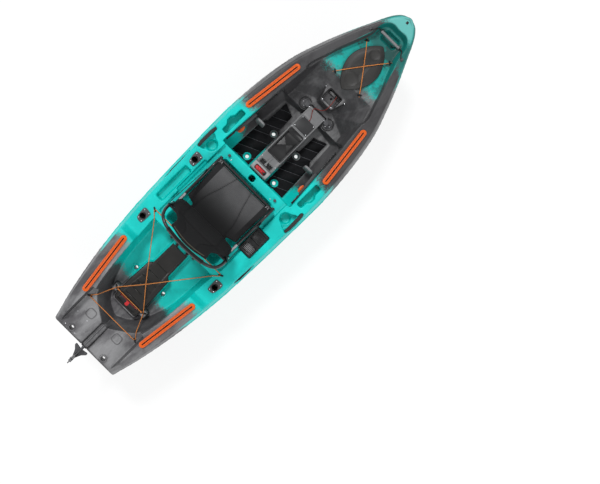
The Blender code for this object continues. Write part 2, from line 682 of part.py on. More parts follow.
BATTERY_FLOOR = PLINTH_TOP - BATTERY_SIZE[2] - 0.004
LATCH_Z = 0.195
LATCH_RADIUS = 0.006
LATCH_KNOB = 0.013


def latch_cutters():
    """The notch for the latch knob in the cross beam and the bore of its plunger."""
    notch = rounded_box(0.036, 0.078, -0.024, 0.024, 0.012)
    return (basin("cut_latch_notch", ((LATCH_Z - 0.02, notch),)),
            rod("cut_latch_bore", (0.07, 0, LATCH_Z), (FOOTWELL_AFT + 0.03, 0, LATCH_Z), LATCH_RADIUS + GAP,
                "charcoal", 12))


# Fixed gear on the hull

def skid_plate():
    profile = ((-1.478, 0.0450), (-1.478, 0.041), (-1.470, 0.039), (-1.085, 0.039), (-1.075, 0.041),
               (-1.075, 0.045))
    return prism("skid_plate", profile, -0.022, 0.022, "black", PROFILE)


def track(name, start, end, side):
    """An accessory rail: a flat bar with round ends and a T slot, laid along the gunwale."""
    x0, y0 = start
    x1, y1 = end
    half = TRACK_WIDTH / 2
    z0, z1 = sheer(x0), sheer(x1)
    slope = (z1 - z0) / (x1 - x0)

    def laid(piece):
        for vertex in piece.data.vertices:
            vertex.co.z += z0 + (vertex.co.x - x0) * slope
        return piece

    y0, y1 = y0 * side, y1 * side
    inset = TRACK_WIDTH * 0.35
    length = math.hypot(x1 - x0, y1 - y0)
    ux, uy = (x1 - x0) / length, (y1 - y0) / length
    a = (x0 + ux * inset, y0 + uy * inset)
    b = (x1 - ux * inset, y1 - uy * inset)
    bar = laid(prism(name, stadium(a, b, half), GAP, TRACK_HEIGHT, "orange"))
    slot = laid(prism("cut_slot", stadium(a, b, 0.004, 3), 0.003, 0.03, "orange"))
    under = laid(prism("cut_under", stadium(a, b, 0.009, 3), 0.003, 0.008, "orange"))
    return carve(bar, under, slot)


def tracks():
    for side in (1, -1):
        track(sided("rear_track", side), (-1.295, HALF_BEAM - 0.1985), (-0.840, HALF_BEAM - 0.137), side)
        track(sided("front_track", side), (0.388, HALF_BEAM - 0.093), (0.832, HALF_BEAM - 0.151), side)


def rod_holder(name, x, y):
    """A flush rod tube with a tapered flange that follows the deck."""
    top = Vector((x, y, sheer(x)))
    body = turned("add_tube", ((ROD_TUBE_RADIUS, -ROD_DEPTH), (ROD_TUBE_RADIUS, 0.012)), top, rod_axis(), "black",
                  16)
    direction = 1 if y > 0 else -1
    plate = [(x + dx, y + dy * direction) for dx, dy in
             ((-0.048, -0.012), (-0.040, -0.028), (0.034, -0.032), (0.046, -0.020), (0.050, 0.016), (0.036, 0.032),
              (-0.030, 0.024), (-0.046, 0.008))]
    flange = prism(name, plate, top.z + GAP, top.z + 0.006, "charcoal")
    fuse(flange, body)
    skim = prism("cut_skim", ((x - 0.2, y - 0.2), (x + 0.2, y - 0.2), (x + 0.2, y + 0.2), (x - 0.2, y + 0.2)),
                 top.z + 0.006, top.z + 0.1, "charcoal")
    bore = turned("cut_bore", ((ROD_BORE, -ROD_DEPTH + 0.004), (ROD_BORE, 0.03)), top, rod_axis(), "black", 16)
    return carve(flange, skim, bore)


def gunwale_pad(side):
    inner = PAD_INNER_Y + 0.002
    end, middle = HALF_BEAM - 0.037, HALF_BEAM - 0.030
    outline = [(PAD_X + x, y * side) for x, y in ((-0.089, inner), (0.089, inner), (0.089, end), (0.05, middle),
                                                  (-0.05, middle), (-0.089, end))]
    pad = prism(sided("gunwale_pad", side), outline, PAD_SEAT_Z + GAP, SHEER_MID + 0.003, "black")
    return soften(pad, 0.003)


def footwell_pad(side):
    """A foam pad cut round the scupper, narrower ahead of the second one."""
    outline = ((0.112, 0.250), (0.40, 0.238), (0.435, 0.212), (0.612, 0.205), (0.575, 0.108), (0.435, 0.104),
               (0.425, 0.088), (0.112, 0.088))
    pad = prism(sided("footwell_pad", side), [(x, y * side) for x, y in outline], FLOOR_Z + GAP, FLOOR_Z + 0.006,
                "foam")
    for x, y, z in SCUPPERS[2:]:
        carve(pad, rod("cut_pad_hole", (x, y * side, z - 0.02), (x, y * side, z + 0.03), 0.030, "foam", 12))
    for k in range(5):
        x = 0.16 + 0.09 * k
        groove = stadium((x, 0.07 * side), (x + 0.11, 0.27 * side), 0.0015, 1)
        carve(pad, prism("cut_groove", groove, FLOOR_Z + 0.0045, FLOOR_Z + 0.02, "foam"))
    return pad


def battery():
    lx, ly, lz = BATTERY_SIZE
    case = prism("battery", rounded_box(BATTERY_X - lx / 2, BATTERY_X + lx / 2, -ly / 2, ly / 2, 0.006, 1),
                 BATTERY_FLOOR + GAP, BATTERY_FLOOR + lz - 0.012, "black")
    for dy in (0.05, -0.05):
        post = rod("add_terminal", (BATTERY_X - 0.1, dy, BATTERY_FLOOR + lz - 0.02),
                   (BATTERY_X - 0.1, dy, BATTERY_FLOOR + lz), 0.008, "steel", 10)
        fuse(case, post)
    return case


def cover_outline(inset=0.0):
    return mirrored(((COVER_AFT + inset, 0.0), (COVER_AFT + inset, COVER_HALF - 0.014 - inset),
                     (COVER_AFT + 0.012 + inset, COVER_HALF - 0.002 - inset), (-1.13, COVER_HALF + 0.006 - inset),
                     (-0.87, COVER_HALF - 0.006 - inset), (-0.845 - inset, COVER_NECK_HALF + 0.004 - inset),
                     (COVER_FORE - inset, COVER_NECK_HALF - inset), (COVER_FORE - inset, 0.0)))


def battery_cover():
    """The moulded lid over the battery: a shallow dished cap with a raised rim and a latch seat."""
    base = PLINTH_TOP + GAP
    cap = loft("battery_cover", [[Vector((x, y, base)) for x, y in cover_outline()],
                                 [Vector((x, y, base + COVER_THICKNESS - 0.005)) for x, y in cover_outline()],
                                 [Vector((x, y, base + COVER_THICKNESS)) for x, y in cover_outline(0.005)]], "black")
    seat = prism("cut_latch_seat", rounded_box(COVER_AFT + 0.014, COVER_AFT + 0.062, -0.082, 0.082, 0.002, 1),
                 base + 0.007, base + 0.1, "black")
    dish = prism("cut_dish", rounded_box(-0.835, COVER_FORE - 0.012, -0.056, 0.056, 0.01), base + 0.012, base + 0.1,
                 "black")
    return carve(cap, seat, dish)


def battery_strap():
    """The over-centre strap that holds the lid's aft end."""
    base = PLINTH_TOP + GAP + 0.007
    bar = prism("battery_strap", rounded_box(COVER_AFT + 0.016, STRAP_X, -0.070, 0.070, 0.008),
                base + 0.002, base + 0.007, "charcoal")
    grip = prism("add_grip", rounded_box(COVER_AFT + 0.0147, STRAP_X + 0.001, -0.012, 0.012, 0.004),
                 base + 0.002, base + 0.0095, "red")
    axle_z = base + 0.0033
    pivot = rod("add_pivot", (STRAP_X, -0.0817, axle_z), (STRAP_X, 0.0817, axle_z), 0.003, "charcoal", 10)
    return hang_on(fuse(bar, grip, pivot), (STRAP_X, 0, axle_z))


# Cords and their eyes

EYE_HEIGHT = 0.0053
EAR_TOP = 0.2632
REAR_EYES = {"A": (-1.307, 0.210, STERN_DECK_Z), "B": (-1.155, 0.124, EAR_TOP), "C": (-0.575, HALF_BEAM - 0.158, SHEER_MID)}
REAR_ROUTE = (("A", 1), ("A", -1), ("B", -1), ("C", 1), ("C", -1), ("B", 1))
BOW_EYES = ((0.988, 0.118), (1.292, 0.112))
WRAP = 0.0082


def eye(leg, z, outward):
    """A pad eye: a round wire arch on a small foot, from the leg that the cord wraps, outward."""
    outward = outward.normalized()
    centre = leg + outward * EYE_RADIUS
    arch = [Vector((*(centre - outward * (EYE_RADIUS * math.cos(a))), z + EYE_RADIUS * math.sin(a) + 0.001))
            for a in (math.pi * k / 5 for k in range(6))]
    foot = prism("add_foot", stadium(centre - outward * 0.013, centre + outward * 0.013, 0.006, 2), z - 0.003,
                 z + 0.002, "black")
    return fuse(foot, tube("add_arch", arch, EYE_WIRE, "black", 4))


DECK_EDGE = (-1.268, 0.188)
WELL_EDGE = (-0.613, 0.283)


def over_edge(edge, side, deck):
    """Where the cord bends over the edge of a deck, clear of it."""
    return Vector((edge[0], edge[1] * side, deck + CORD_RADIUS + 0.001))


def rear_places():
    return [Vector((REAR_EYES[key][0], REAR_EYES[key][1] * side, REAR_EYES[key][2])) for key, side in REAR_ROUTE]


def turn_at(before, corner, after):
    """Unit directions into and out of a corner, in plan."""
    return (corner - before).xy.normalized(), (after - corner).xy.normalized()


def pad_eyes():
    """The eyes for the cords: small repeated fittings, joined to the hull they are riveted to."""
    eyes = []
    places = rear_places()
    for i, place in enumerate(places):
        into, out = turn_at(places[i - 1], place, places[(i + 1) % len(places)])
        eyes.append(eye(place.xy, place.z, into - out))
    for (x, y), (far_x, far_y) in (BOW_EYES, BOW_EYES[::-1]):
        for side in (1, -1):
            run = (Vector((x, y * side)) - Vector((far_x, -far_y * side))).normalized()
            across = Vector((-run.y, run.x))
            eyes.append(eye(Vector((x, y * side)) - across * EYE_RADIUS, BOW_DECK_Z, across))
    return eyes


def rear_bungee():
    """One endless cord laced over the tankwell: round each eye's inner leg and over the deck's edge."""
    places = rear_places()
    route = []
    for i, place in enumerate(places):
        key, side = REAR_ROUTE[i]
        after = places[(i + 1) % len(places)]
        into, out = turn_at(places[i - 1], place, after)
        sign = 1 if into.cross(out) < 0 else -1
        start = math.atan2(into.x * sign, -into.y * sign)
        swing = into.angle_signed(out)
        if key == "A" and side > 0:
            route.append(over_edge(DECK_EDGE, side, STERN_DECK_Z))
        if key == "C" and side > 0:
            route.append(over_edge(WELL_EDGE, side, SHEER_MID))
        for k in range(4):
            angle = start - swing * k / 3
            route.append(Vector((place.x + WRAP * math.cos(angle), place.y + WRAP * math.sin(angle),
                                 place.z + EYE_HEIGHT)))
        if key == "A" and side < 0:
            route.append(over_edge(DECK_EDGE, side, STERN_DECK_Z))
        if key == "C" and side < 0:
            route.append(over_edge(WELL_EDGE, side, SHEER_MID))
        if {key, REAR_ROUTE[(i + 1) % len(places)][0]} == {"B", "C"}:
            low, high = sorted((place, after), key=lambda p: p.x)
            middle = low.lerp(high, abs(low.y) / (abs(low.y) + abs(high.y)))
            lift = CORD_RADIUS + 0.0008
            route.append(Vector((middle.x, 0, middle.z + EYE_HEIGHT + (lift if key == "B" else -lift))))
    return cord("rear_bungee", route, CORD_RADIUS, "bungee", cyclic=True)


def rear_bungee_cross():
    """The short cord over the battery lid, knotted to the middle pair of eyes."""
    x, y, z = REAR_EYES["B"]
    reach = y - EYE_WIRE - 0.002
    height = z + EYE_HEIGHT
    run = rod("rear_bungee_cross", (x, -reach, height), (x, reach, height), CORD_RADIUS, "bungee", 8)
    for side in (1, -1):
        knot = turned("add_knot", ((0.002, -0.006), (0.0048, -0.003), (0.0048, 0.003), (0.002, 0.006)),
                      (x, (reach - 0.007) * side, height), Y_AXIS, "bungee", 8)
        fuse(run, knot)
    return run


def bow_bungee():
    """Two cords that ride on the hatch lid, sewn together where they cross, and hook under the eyes."""
    runs = []
    for side in (1, -1):
        (x0, y0), (x1, y1) = BOW_EYES
        start, end = Vector((x0, y0 * side)), Vector((x1, -y1 * side))
        reach = (start - end).normalized() * (EYE_RADIUS + 0.004)
        start, end = start + reach, end - reach
        low, high = BOW_DECK_Z + EYE_HEIGHT, LID_TOP + CORD_RADIUS + 0.0022 + (0.0011 if side > 0 else 0.0)
        rise = line_through(((0.0, low), (0.06, low), (0.14, high - 0.0145), (0.17, high - 0.008),
                             (0.22, high - 0.004), (0.28, high), (0.5, high)))
        shares = (0.0, 0.06, 0.10, 0.14, 0.17, 0.22, 0.28, 0.5)
        shares += tuple(1 - t for t in reversed(shares[:-1]))
        points = [Vector((*start.lerp(end, t), rise(min(t, 1 - t)))) for t in shares]
        runs.append(tube("bow_bungee", points, CORD_RADIUS, "bungee", 6))
    runs[1].name = "add_run"
    return fuse(runs[0], runs[1])


# Bow hatch and handles

LID_TOP = 0.402
LID_AFT = 0.932
LID_FORE = 1.338
LID_HALF = 0.122


def bow_hatch_lid():
    """A lens-shaped lid with a rolled rim, a crown and a finger dish at each end."""
    base = BOW_DECK_Z + GAP
    levels = ((base, 0.0), (base + 0.014, 0.0), (base + 0.020, 0.008), (LID_TOP - 0.006, 0.022), (LID_TOP, 0.045))
    rings = [[Vector((x, y, z)) for x, y in lens(LID_AFT + inset, LID_FORE - inset, LID_HALF - inset)]
             for z, inset in levels]
    lid = loft("bow_hatch_lid", rings, "charcoal", 30)
    dishes = []
    for centre, length in ((1.005, 0.042), (1.262, 0.040)):
        dishes.append(turned("cut_dish", ((0.001, -0.012), (length * 0.7, -0.009), (length, 0.03)),
                             (centre, 0, LID_TOP - 0.002), Z_AXIS, "charcoal", 12))
    carve(lid, *dishes)
    return hang_on(lid, (LID_FORE, 0, base))


HANDLE_ANCHOR = (HALF_LENGTH - 0.247, 0.142)
ANCHOR_RISE = 0.009
GRIP_X = HALF_LENGTH - 0.192
GRIP_HALF = 0.086
GRIP_RADIUS = 0.010


def bow_handle():
    """A grip tube on a cord; the cord ends turn in two anchors on the gunwales."""
    ax, ay = HANDLE_ANCHOR
    az = sheer(ax) + ANCHOR_RISE
    gz = BOW_DECK_Z + GRIP_RADIUS + GAP
    points = [(ax, ay, az), (ax + 0.020, ay - 0.020, az), (GRIP_X - 0.012, GRIP_HALF + 0.026, az - 0.022),
              (GRIP_X - 0.002, GRIP_HALF + 0.010, gz + 0.016), (GRIP_X, GRIP_HALF, gz + 0.002),
              (GRIP_X, GRIP_HALF - 0.02, gz)]
    points = [Vector((ax, ay + 0.0132, az))] + smooth_path(points, 2)
    line = points + [Vector((p.x, -p.y, p.z)) for p in reversed(points[:-1])]
    grip = turned("bow_handle", ((0.008, -GRIP_HALF), (GRIP_RADIUS, -GRIP_HALF + 0.004), (GRIP_RADIUS, GRIP_HALF - 0.004),
                               (0.008, GRIP_HALF)), (GRIP_X, 0, gz), Y_AXIS, "charcoal", 14)
    return hang_on(fuse(grip, tube("add_cord", line, 0.004, "black", 6)), (ax, 0, az))


def handle_anchors():
    """The lugs on the gunwales that the bow handle's cord ends turn in."""
    ax, ay = HANDLE_ANCHOR
    az = sheer(ax) + ANCHOR_RISE
    lugs = []
    for side in (1, -1):
        y0, y1 = sorted(((ay + 0.003) * side, (ay + 0.016) * side))
        lug = prism("add_anchor", rounded_box(ax - 0.008, ax + 0.008, y0, y1, 0.003, 1), sheer(ax) - 0.01, az + 0.007,
                    "charcoal")
        bore = rod("cut_anchor_bore", (ax, ay * side, az), (ax, (ay + 0.0135) * side, az), 0.004 + GAP, "charcoal", 10)
        lugs.append(carve(lug, bore))
    return lugs


def side_handle(side):
    """A moulded carry handle on two end pins in the hull's side recess."""
    x0, x1 = HANDLE_SPANS[side]
    pin_y, pin_z = HANDLE_WALL_Y + 0.014, 0.324
    middle, half = (x0 + x1) / 2, (x1 - x0) / 2
    arch = [(x0 + 0.010, pin_y, pin_z), (x0 + 0.014, pin_y + 0.004, pin_z - 0.018),
            (x0 + 0.030, pin_y + 0.008, pin_z - 0.034), (middle, pin_y + 0.009, pin_z - 0.038),
            (x1 - 0.030, pin_y + 0.008, pin_z - 0.034), (x1 - 0.014, pin_y + 0.004, pin_z - 0.018),
            (x1 - 0.010, pin_y, pin_z)]
    path = [Vector((x, y * side, z)) for x, y, z in smooth_path([Vector(p) for p in arch], 2)]
    bail = tube("add_bail", path, 0.0055, "black", 5)
    grip = turned(sided("side_handle", side),
                  ((0.007, -half * 0.62), (0.009, -half * 0.5), (0.0095, 0), (0.009, half * 0.5), (0.007, half * 0.62)),
                  (middle, (pin_y + 0.009) * side, pin_z - 0.038), X_AXIS, "black", 10)
    pins = [rod("add_pin", (x, pin_y * side, pin_z), (end, pin_y * side, pin_z), 0.0045, "black", 8)
            for x, end in ((x0 + 0.014, x0 + GAP), (x1 - 0.014, x1 - GAP))]
    return hang_on(fuse(grip, bail, *pins), (middle, pin_y * side, pin_z))


# Speed control

DIAL_X = -0.300
DIAL_Z = 0.334
DIAL_RADIUS = 0.029
DIAL_HALF = 0.040
CONTROL_Y = (CONTROL_BAY[2] + CONTROL_BAY[3]) / 2


def control_box():
    x0, x1, y0, y1 = CONTROL_BAY
    box = prism("control_box", rounded_box(x0 + 0.002, x1 - 0.002, y0 + 0.002, y1 - 0.002, 0.007),
                CONTROL_BAY_Z + GAP, 0.350, "black")
    soften(box, 0.003)
    bank = prism("add_bank", ((-0.245, 0.34), (-0.238, 0.361), (-0.172, 0.361), (-0.160, 0.34)), y0 + 0.012,
                 y1 - 0.012, "black", PROFILE)
    fuse(box, bank)
    bed = rod("cut_dial_bed", (DIAL_X, CONTROL_Y - DIAL_HALF - 0.001, DIAL_Z),
              (DIAL_X, CONTROL_Y + DIAL_HALF + 0.001, DIAL_Z), DIAL_RADIUS + 0.0015, "black", 24)
    axle = rod("cut_axle", (DIAL_X, CONTROL_Y - DIAL_HALF - 0.009, DIAL_Z),
               (DIAL_X, CONTROL_Y + DIAL_HALF + 0.009, DIAL_Z), 0.005 + GAP, "black", 12)
    screen = prism("cut_screen", rounded_box(-0.228, -0.182, CONTROL_Y - 0.028, CONTROL_Y + 0.028, 0.004, 2), 0.3585,
                   0.4, "black")
    return carve(box, bed, axle, screen)


def throttle_dial():
    """A ribbed thumb roller with its axle."""
    ribs = 12
    outline = []
    for k in range(ribs * 2):
        radius = DIAL_RADIUS if k % 2 == 0 else DIAL_RADIUS - 0.0025
        for shift in (-0.25, 0.25):
            angle = math.pi * (k + shift) / ribs
            outline.append((DIAL_X + radius * math.cos(angle), DIAL_Z + radius * math.sin(angle)))
    roller = prism("throttle_dial", outline, CONTROL_Y - DIAL_HALF, CONTROL_Y + DIAL_HALF, "grey", PROFILE)
    axle = rod("add_axle", (DIAL_X, CONTROL_Y - DIAL_HALF - 0.008, DIAL_Z),
               (DIAL_X, CONTROL_Y + DIAL_HALF + 0.008, DIAL_Z), 0.005, "steel", 12)
    return hang_on(fuse(roller, axle), (DIAL_X, CONTROL_Y, DIAL_Z))


# Foot braces, laid out along the straight upper wall of the footwell

RAIL_Z = (0.262, 0.284)
RAIL_DEPTH = 0.013
RAIL_START = 0.03
RAIL_END = 0.50
CARRIAGE = (0.205, 0.300)
PEDAL_PIVOT_Z = 0.207


def wall_frame(side):
    start, end = Vector((*WALL_AFT, 0)), Vector((*WALL_FORE, 0))
    along = (end - start).normalized()
    inward = Vector((along.y, -along.x, 0))
    if inward.y > 0:
        inward = -inward
    flip = Vector((1, side, 1))
    return start * flip, along * flip, inward * flip


def wall_block(name, side, outline, low, high, finish):
    """An outline in (distance along the wall, distance inward), extruded upward."""
    start, along, inward = wall_frame(side)
    rings = [[start + along * a + inward * b + Z_AXIS * z for a, b in outline] for z in (low, high)]
    return loft(name, rings, finish)


def foot_rail(side):
    """A rack of square notches that the brace's catch drops into."""
    outline = [(RAIL_START, GAP), (RAIL_END, GAP), (RAIL_END, RAIL_DEPTH)]
    notch = 0.016
    count = int((RAIL_END - RAIL_START - 0.06) / (2 * notch))
    for k in range(count):
        u = RAIL_END - 0.03 - 2 * notch * k
        outline += [(u, RAIL_DEPTH), (u, RAIL_DEPTH - 0.004), (u - notch, RAIL_DEPTH - 0.004), (u - notch, RAIL_DEPTH)]
    outline.append((RAIL_START, RAIL_DEPTH))
    return wall_block(sided("foot_rail", side), side, outline, *RAIL_Z, "black")


def foot_brace(side):
    """The sliding carriage: a channel that wraps the rail, with an arm that carries the toe pedal."""
    u0, u1 = CARRIAGE
    low, high = RAIL_Z
    face = RAIL_DEPTH + GAP
    body = wall_block(sided("foot_brace", side), side,
                      ((u0 - 0.09, 0.002), (u1, 0.002), (u1, face + 0.012), (u0, face + 0.012),
                       (u0 - 0.02, face + 0.005), (u0 - 0.09, face + 0.005)), low - 0.008, high + 0.008, "black")
    channel = wall_block("cut_channel", side, ((-1, -1), (1, -1), (1, face), (-1, face)), low - GAP, high + GAP, "black")
    carve(body, channel)
    arm = wall_block("add_arm", side, ((u1 - 0.05, face + 0.004), (u1 - 0.004, face + 0.004),
                                       (u1 - 0.004, face + 0.012), (u1 - 0.05, face + 0.012)), PEDAL_PIVOT_Z - 0.014,
                     low, "black")
    return fuse(body, arm)


def pedal_centre(side):
    start, along, inward = wall_frame(side)
    return start + along * (CARRIAGE[1] - 0.018) + inward * (RAIL_DEPTH + 0.0125 + GAP) + Z_AXIS * PEDAL_PIVOT_Z


def toe_pedal(side):
    """A rounded toe plate on a short shaft, inboard of the carriage's arm."""
    pivot = pedal_centre(side)
    outline = [(y, z) for y, z in rounded_box(-0.085, -0.008, -0.026, 0.085, 0.024, 4)]
    rings = []
    for dx, shrink in ((-0.010, 0.004), (-0.006, 0.0), (0.004, 0.0), (0.007, 0.004)):
        ring = []
        for y, z in outline:
            cy, cz = -0.0465, 0.0295
            scale = 1 - shrink / 0.05
            ring.append(pivot + Vector((dx + (z - cz) * 0.12, (cy + (y - cy) * scale) * side, cz + (z - cz) * scale)))
        rings.append(ring)
    plate = loft(sided("toe_pedal", side), rings, "grey")
    shaft = rod("add_shaft", pivot, pivot + Vector((0, -0.03 * side, 0)), 0.006, "grey", 12)
    return hang_on(fuse(plate, shaft), pivot)


def brace_trigger(side):
    """The squeeze lever that frees the carriage from its rail."""
    u0 = CARRIAGE[0]
    face = RAIL_DEPTH + 0.005 + 2 * GAP
    low, high = RAIL_Z
    lever = wall_block(sided("brace_trigger", side), side,
                       ((u0 - 0.082, face), (u0 - 0.026, face), (u0 - 0.024, face + 0.012), (u0 - 0.045, face + 0.022),
                        (u0 - 0.07, face + 0.020), (u0 - 0.084, face + 0.010)), low + 0.001, high + 0.003, "orange")
    start, along, inward = wall_frame(side)
    return hang_on(lever, start + along * (u0 - 0.028) + inward * (face + 0.006) + Z_AXIS * (low + high) / 2)


# Seat

SEAT_LINE = line_through(((-0.405, 0.392), (-0.30, 0.408), (-0.142, 0.455), (-0.07, 0.462), (0.0, 0.425),
                          (0.02, 0.405)))
SEAM_LINE = line_through(((-0.415, 0.147), (-0.27, 0.138), (-0.14, 0.100), (0.0, 0.063)))
SLING_NECK_HALF = 0.168


def seat_frame():
    """Lower rails on the hull's ledges, the arched side tubes, and their posts and cross bars."""
    rail_z = SEAT_LEDGE_Z + TUBE_RADIUS + GAP
    lower_y = SEAT_RAIL_Y
    r = TUBE_RADIUS
    pieces = []
    for side in (1, -1):
        y = lower_y * side
        pieces.append(rod("add_rail" if pieces else "seat_frame", (-0.47, y, rail_z), (0.02, y, rail_z), r, "black", 8))
        arch = [(x, SEAT_HALF * side, SEAT_LINE(x)) for x in (-0.405, -0.35, -0.29, -0.22, -0.15, -0.09, -0.04, 0.0)]
        pieces.append(tube("add_arch", arch, r, "black", 8))
        for x in (-0.405, -0.25, 0.0):
            pieces.append(rod("add_post", (x, y, rail_z), (x, SEAT_HALF * side, SEAT_LINE(x)), 0.009, "black", 8))
        px, pz = SEAT_PIVOT
        lug_y = SEAT_LUG_Y * side
        pieces.append(rod("add_lug", (px, lug_y, rail_z), (px, lug_y, pz + 0.008), 0.0095, "black", 10))
        pieces.append(turned("add_pin", ((0.004, 0.0), (0.004, 0.034), (0.007, 0.034), (0.007, 0.037)), (px, lug_y, pz),
                             (0, side, 0), "black", 10))
    pieces.append(rod("add_front_bar", (0.0, -SEAT_HALF, SEAT_LINE(0.0)), (0.0, SEAT_HALF, SEAT_LINE(0.0)), r, "black", 10))
    pieces.append(rod("add_rear_bar", (-0.405, -SEAT_HALF, SEAT_LINE(-0.405)), (-0.405, SEAT_HALF, SEAT_LINE(-0.405)), r,
                      "black", 10))
    return fuse(*pieces)


def seat_sling():
    """The slung seat base: crowned, dished in the middle, with two sewn channels and firmer side bands."""
    x0, x1 = -0.405 + TUBE_RADIUS + GAP, -TUBE_RADIUS - GAP
    full = SEAT_HALF - TUBE_RADIUS - GAP
    rows, columns = 16, 16
    top, bottom = [], []
    for i in range(rows + 1):
        u = i / rows
        x = x0 + (x1 - x0) * u
        half = SLING_NECK_HALF + (full - SLING_NECK_HALF) * smoothstep((x + 0.365) / 0.035)
        for j in range(columns + 1):
            v = -1 + 2 * j / columns
            edge = 1 - abs(v) ** 4
            ends = 1 - abs(2 * u - 1) ** 6
            y = half * v * (1 - 0.01 * math.sin(math.pi * u))
            seam = math.exp(-((abs(y) - SEAM_LINE(x)) / 0.012) ** 2)
            dish = 0.016 * (1 - v * v) * math.sin(math.pi * u)
            crown = 0.004 + 0.009 * edge * ends
            z = SEAT_LINE(x) - dish
            top.append(Vector((x, y, z + crown - 0.003 * seam * ends)))
            bottom.append(Vector((x, y, z - 0.004 - 0.004 * edge * ends)))
    return quilt("seat_sling", top, bottom, rows, columns)


def quilt(name, top, bottom, rows, columns):
    """Closes two equal grids of points into one padded body."""
    wide = columns + 1
    base = len(top)
    faces = []
    for i in range(rows):
        for j in range(columns):
            a, b, c, d = i * wide + j, i * wide + j + 1, (i + 1) * wide + j + 1, (i + 1) * wide + j
            faces.append((a, b, c, d))
            faces.append((base + d, base + c, base + b, base + a))
    rim = ([i for i in range(wide)] + [i * wide + columns for i in range(1, rows + 1)]
           + [rows * wide + j for j in range(columns - 1, -1, -1)] + [i * wide for i in range(rows - 1, 0, -1)])
    for k, a in enumerate(rim):
        b = rim[(k + 1) % len(rim)]
        faces.append((a, b, base + b, base + a))
    return solid(name, top + bottom, faces, "fabric", 50)


BACK_LINE = line_through(((0.425, -0.402), (0.52, -0.410), (0.62, -0.432), (0.70, -0.474), (0.76, -0.518),
                          (0.80, -0.556)))
BACK_TUBE_Y = 0.262


def back_tube_path():
    """The bent tube of the seat back, from one foot over the top to the other."""
    px, pz = SEAT_PIVOT
    half = [(px, BACK_TUBE_Y, pz + 0.0122), (px - 0.004, BACK_TUBE_Y, 0.50), (px - 0.004, BACK_TUBE_Y, 0.60),
            (px - 0.012, BACK_TUBE_Y, 0.66), (px - 0.045, BACK_TUBE_Y - 0.004, 0.725),
            (px - 0.080, BACK_TUBE_Y - 0.026, 0.778), (px - 0.107, BACK_TUBE_Y - 0.084, 0.803),
            (px - 0.120, 0.09, 0.812), (px - 0.124, 0.0, 0.813)]
    path = smooth_path([Vector(p) for p in half], 2)
    return path + [Vector((p.x, -p.y, p.z)) for p in reversed(path[:-1])]


def seat_back_frame():
    """The back's bent tube, its pivot eyes and the bar behind the lumbar pad."""
    px, pz = SEAT_PIVOT
    path = back_tube_path()
    frame = tube("add_back_tube", path, TUBE_RADIUS, "black", 8)
    pieces = []
    for side in (1, -1):
        pieces.append(turned("seat_back_frame" if side > 0 else "add_eye", ((0.0143, 0.0098), (0.0143, 0.0325)),
                             (px, SEAT_LUG_Y * side, pz), (0, side, 0), "black", 14))
    for z in (0.46, 0.64):
        x = px - 0.005 if z < 0.5 else px - 0.010
        pieces.append(rod("add_bar", (x, -BACK_TUBE_Y, z), (x, BACK_TUBE_Y, z), 0.008, "black", 8))
    handle = fuse(pieces[0], frame, *pieces[1:])
    bore = rod("cut_bore", (px, -0.3, pz), (px, 0.3, pz), 0.004 + GAP, "black", 12)
    return hang_on(carve(handle, bore), (px, 0, pz))


def seat_back_pad():
    """The back rest: a curved padded panel with a lumbar roll, a waist seam and drawn-in sides."""
    rows, columns = 14, 12
    front, rear = [], []
    z0, z1 = 0.428, 0.799
    for i in range(rows + 1):
        u = i / rows
        z = z0 + (z1 - z0) * u
        for j in range(columns + 1):
            v = -1 + 2 * j / columns
            half = 0.168 + 0.0829 * smoothstep((z - 0.478) / 0.040) - 0.094 * smoothstep((u - 0.60) / 0.30)
            y = half * v
            wrap = 0.030 * (1 - v * v) * (0.35 + 0.65 * u)
            edge = 1 - abs(v) ** 4
            ends = 1 - abs(2 * u - 1) ** 8
            thick = (0.011 + 0.012 * math.exp(-((u - 0.3) / 0.25) ** 2)) * (1 - 0.6 * smoothstep((u - 0.66) / 0.1))
            seam = 0.004 * math.exp(-((u - 0.70) / 0.03) ** 2)
            x = BACK_LINE(z) - wrap + 0.028
            front.append(Vector((x + 0.003 + (thick - seam) * edge * ends, y, z)))
            bolster = smoothstep((abs(v) - 0.8) / 0.18) * (1 - smoothstep((u - 0.52) / 0.12))
            bolster *= smoothstep((z - 0.478) / 0.040)
            behind = x - 0.003 - 0.004 * edge * ends
            rear.append(Vector((behind + (SEAT_PIVOT[0] - 0.003 - behind) * bolster, y, z)))
    return quilt("seat_back_pad", rear, front, rows, columns)


def back_straps():
    """The webbing that holds the back up, from its shoulders to the front of the seat's side tubes."""
    pieces = []
    for side in (1, -1):
        start, end = Vector((-0.455, 0, 0.655)), Vector((-0.115, 0, 0.466))
        across = (end - start).cross(Y_AXIS).normalized() * 0.016
        rings = []
        for place, y in ((start, BACK_TUBE_Y + 0.0006), (end, SEAT_HALF)):
            inner, outer = (y + TUBE_RADIUS + GAP) * side, (y + TUBE_RADIUS + GAP + 0.003) * side
            rings.append([place + across + Y_AXIS * inner, place - across + Y_AXIS * inner,
                          place - across + Y_AXIS * outer, place + across + Y_AXIS * outer])
        pieces.append(loft(sided("back_strap", side), rings, "black"))
    return pieces


def thumb_knobs():
    """Knobs that clamp the seat's front and the lid's fore end, joined to the hull they screw into."""
    knobs = []
    places = [(0.060, 0.222 * s, BEAM_TOP_Z) for s in (1, -1)] + [(-0.637, 0.108 * s, TANKWELL_Z) for s in (1, -1)]
    for x, y, z in places:
        profile = ((0.0045, -0.003), (0.0045, 0.006), (0.010, 0.007), (0.011, 0.016), (0.008, 0.019))
        knobs.append(turned("add_knob", profile, (x, y, z), Z_AXIS, "charcoal", 6))
    return knobs


# Motor console

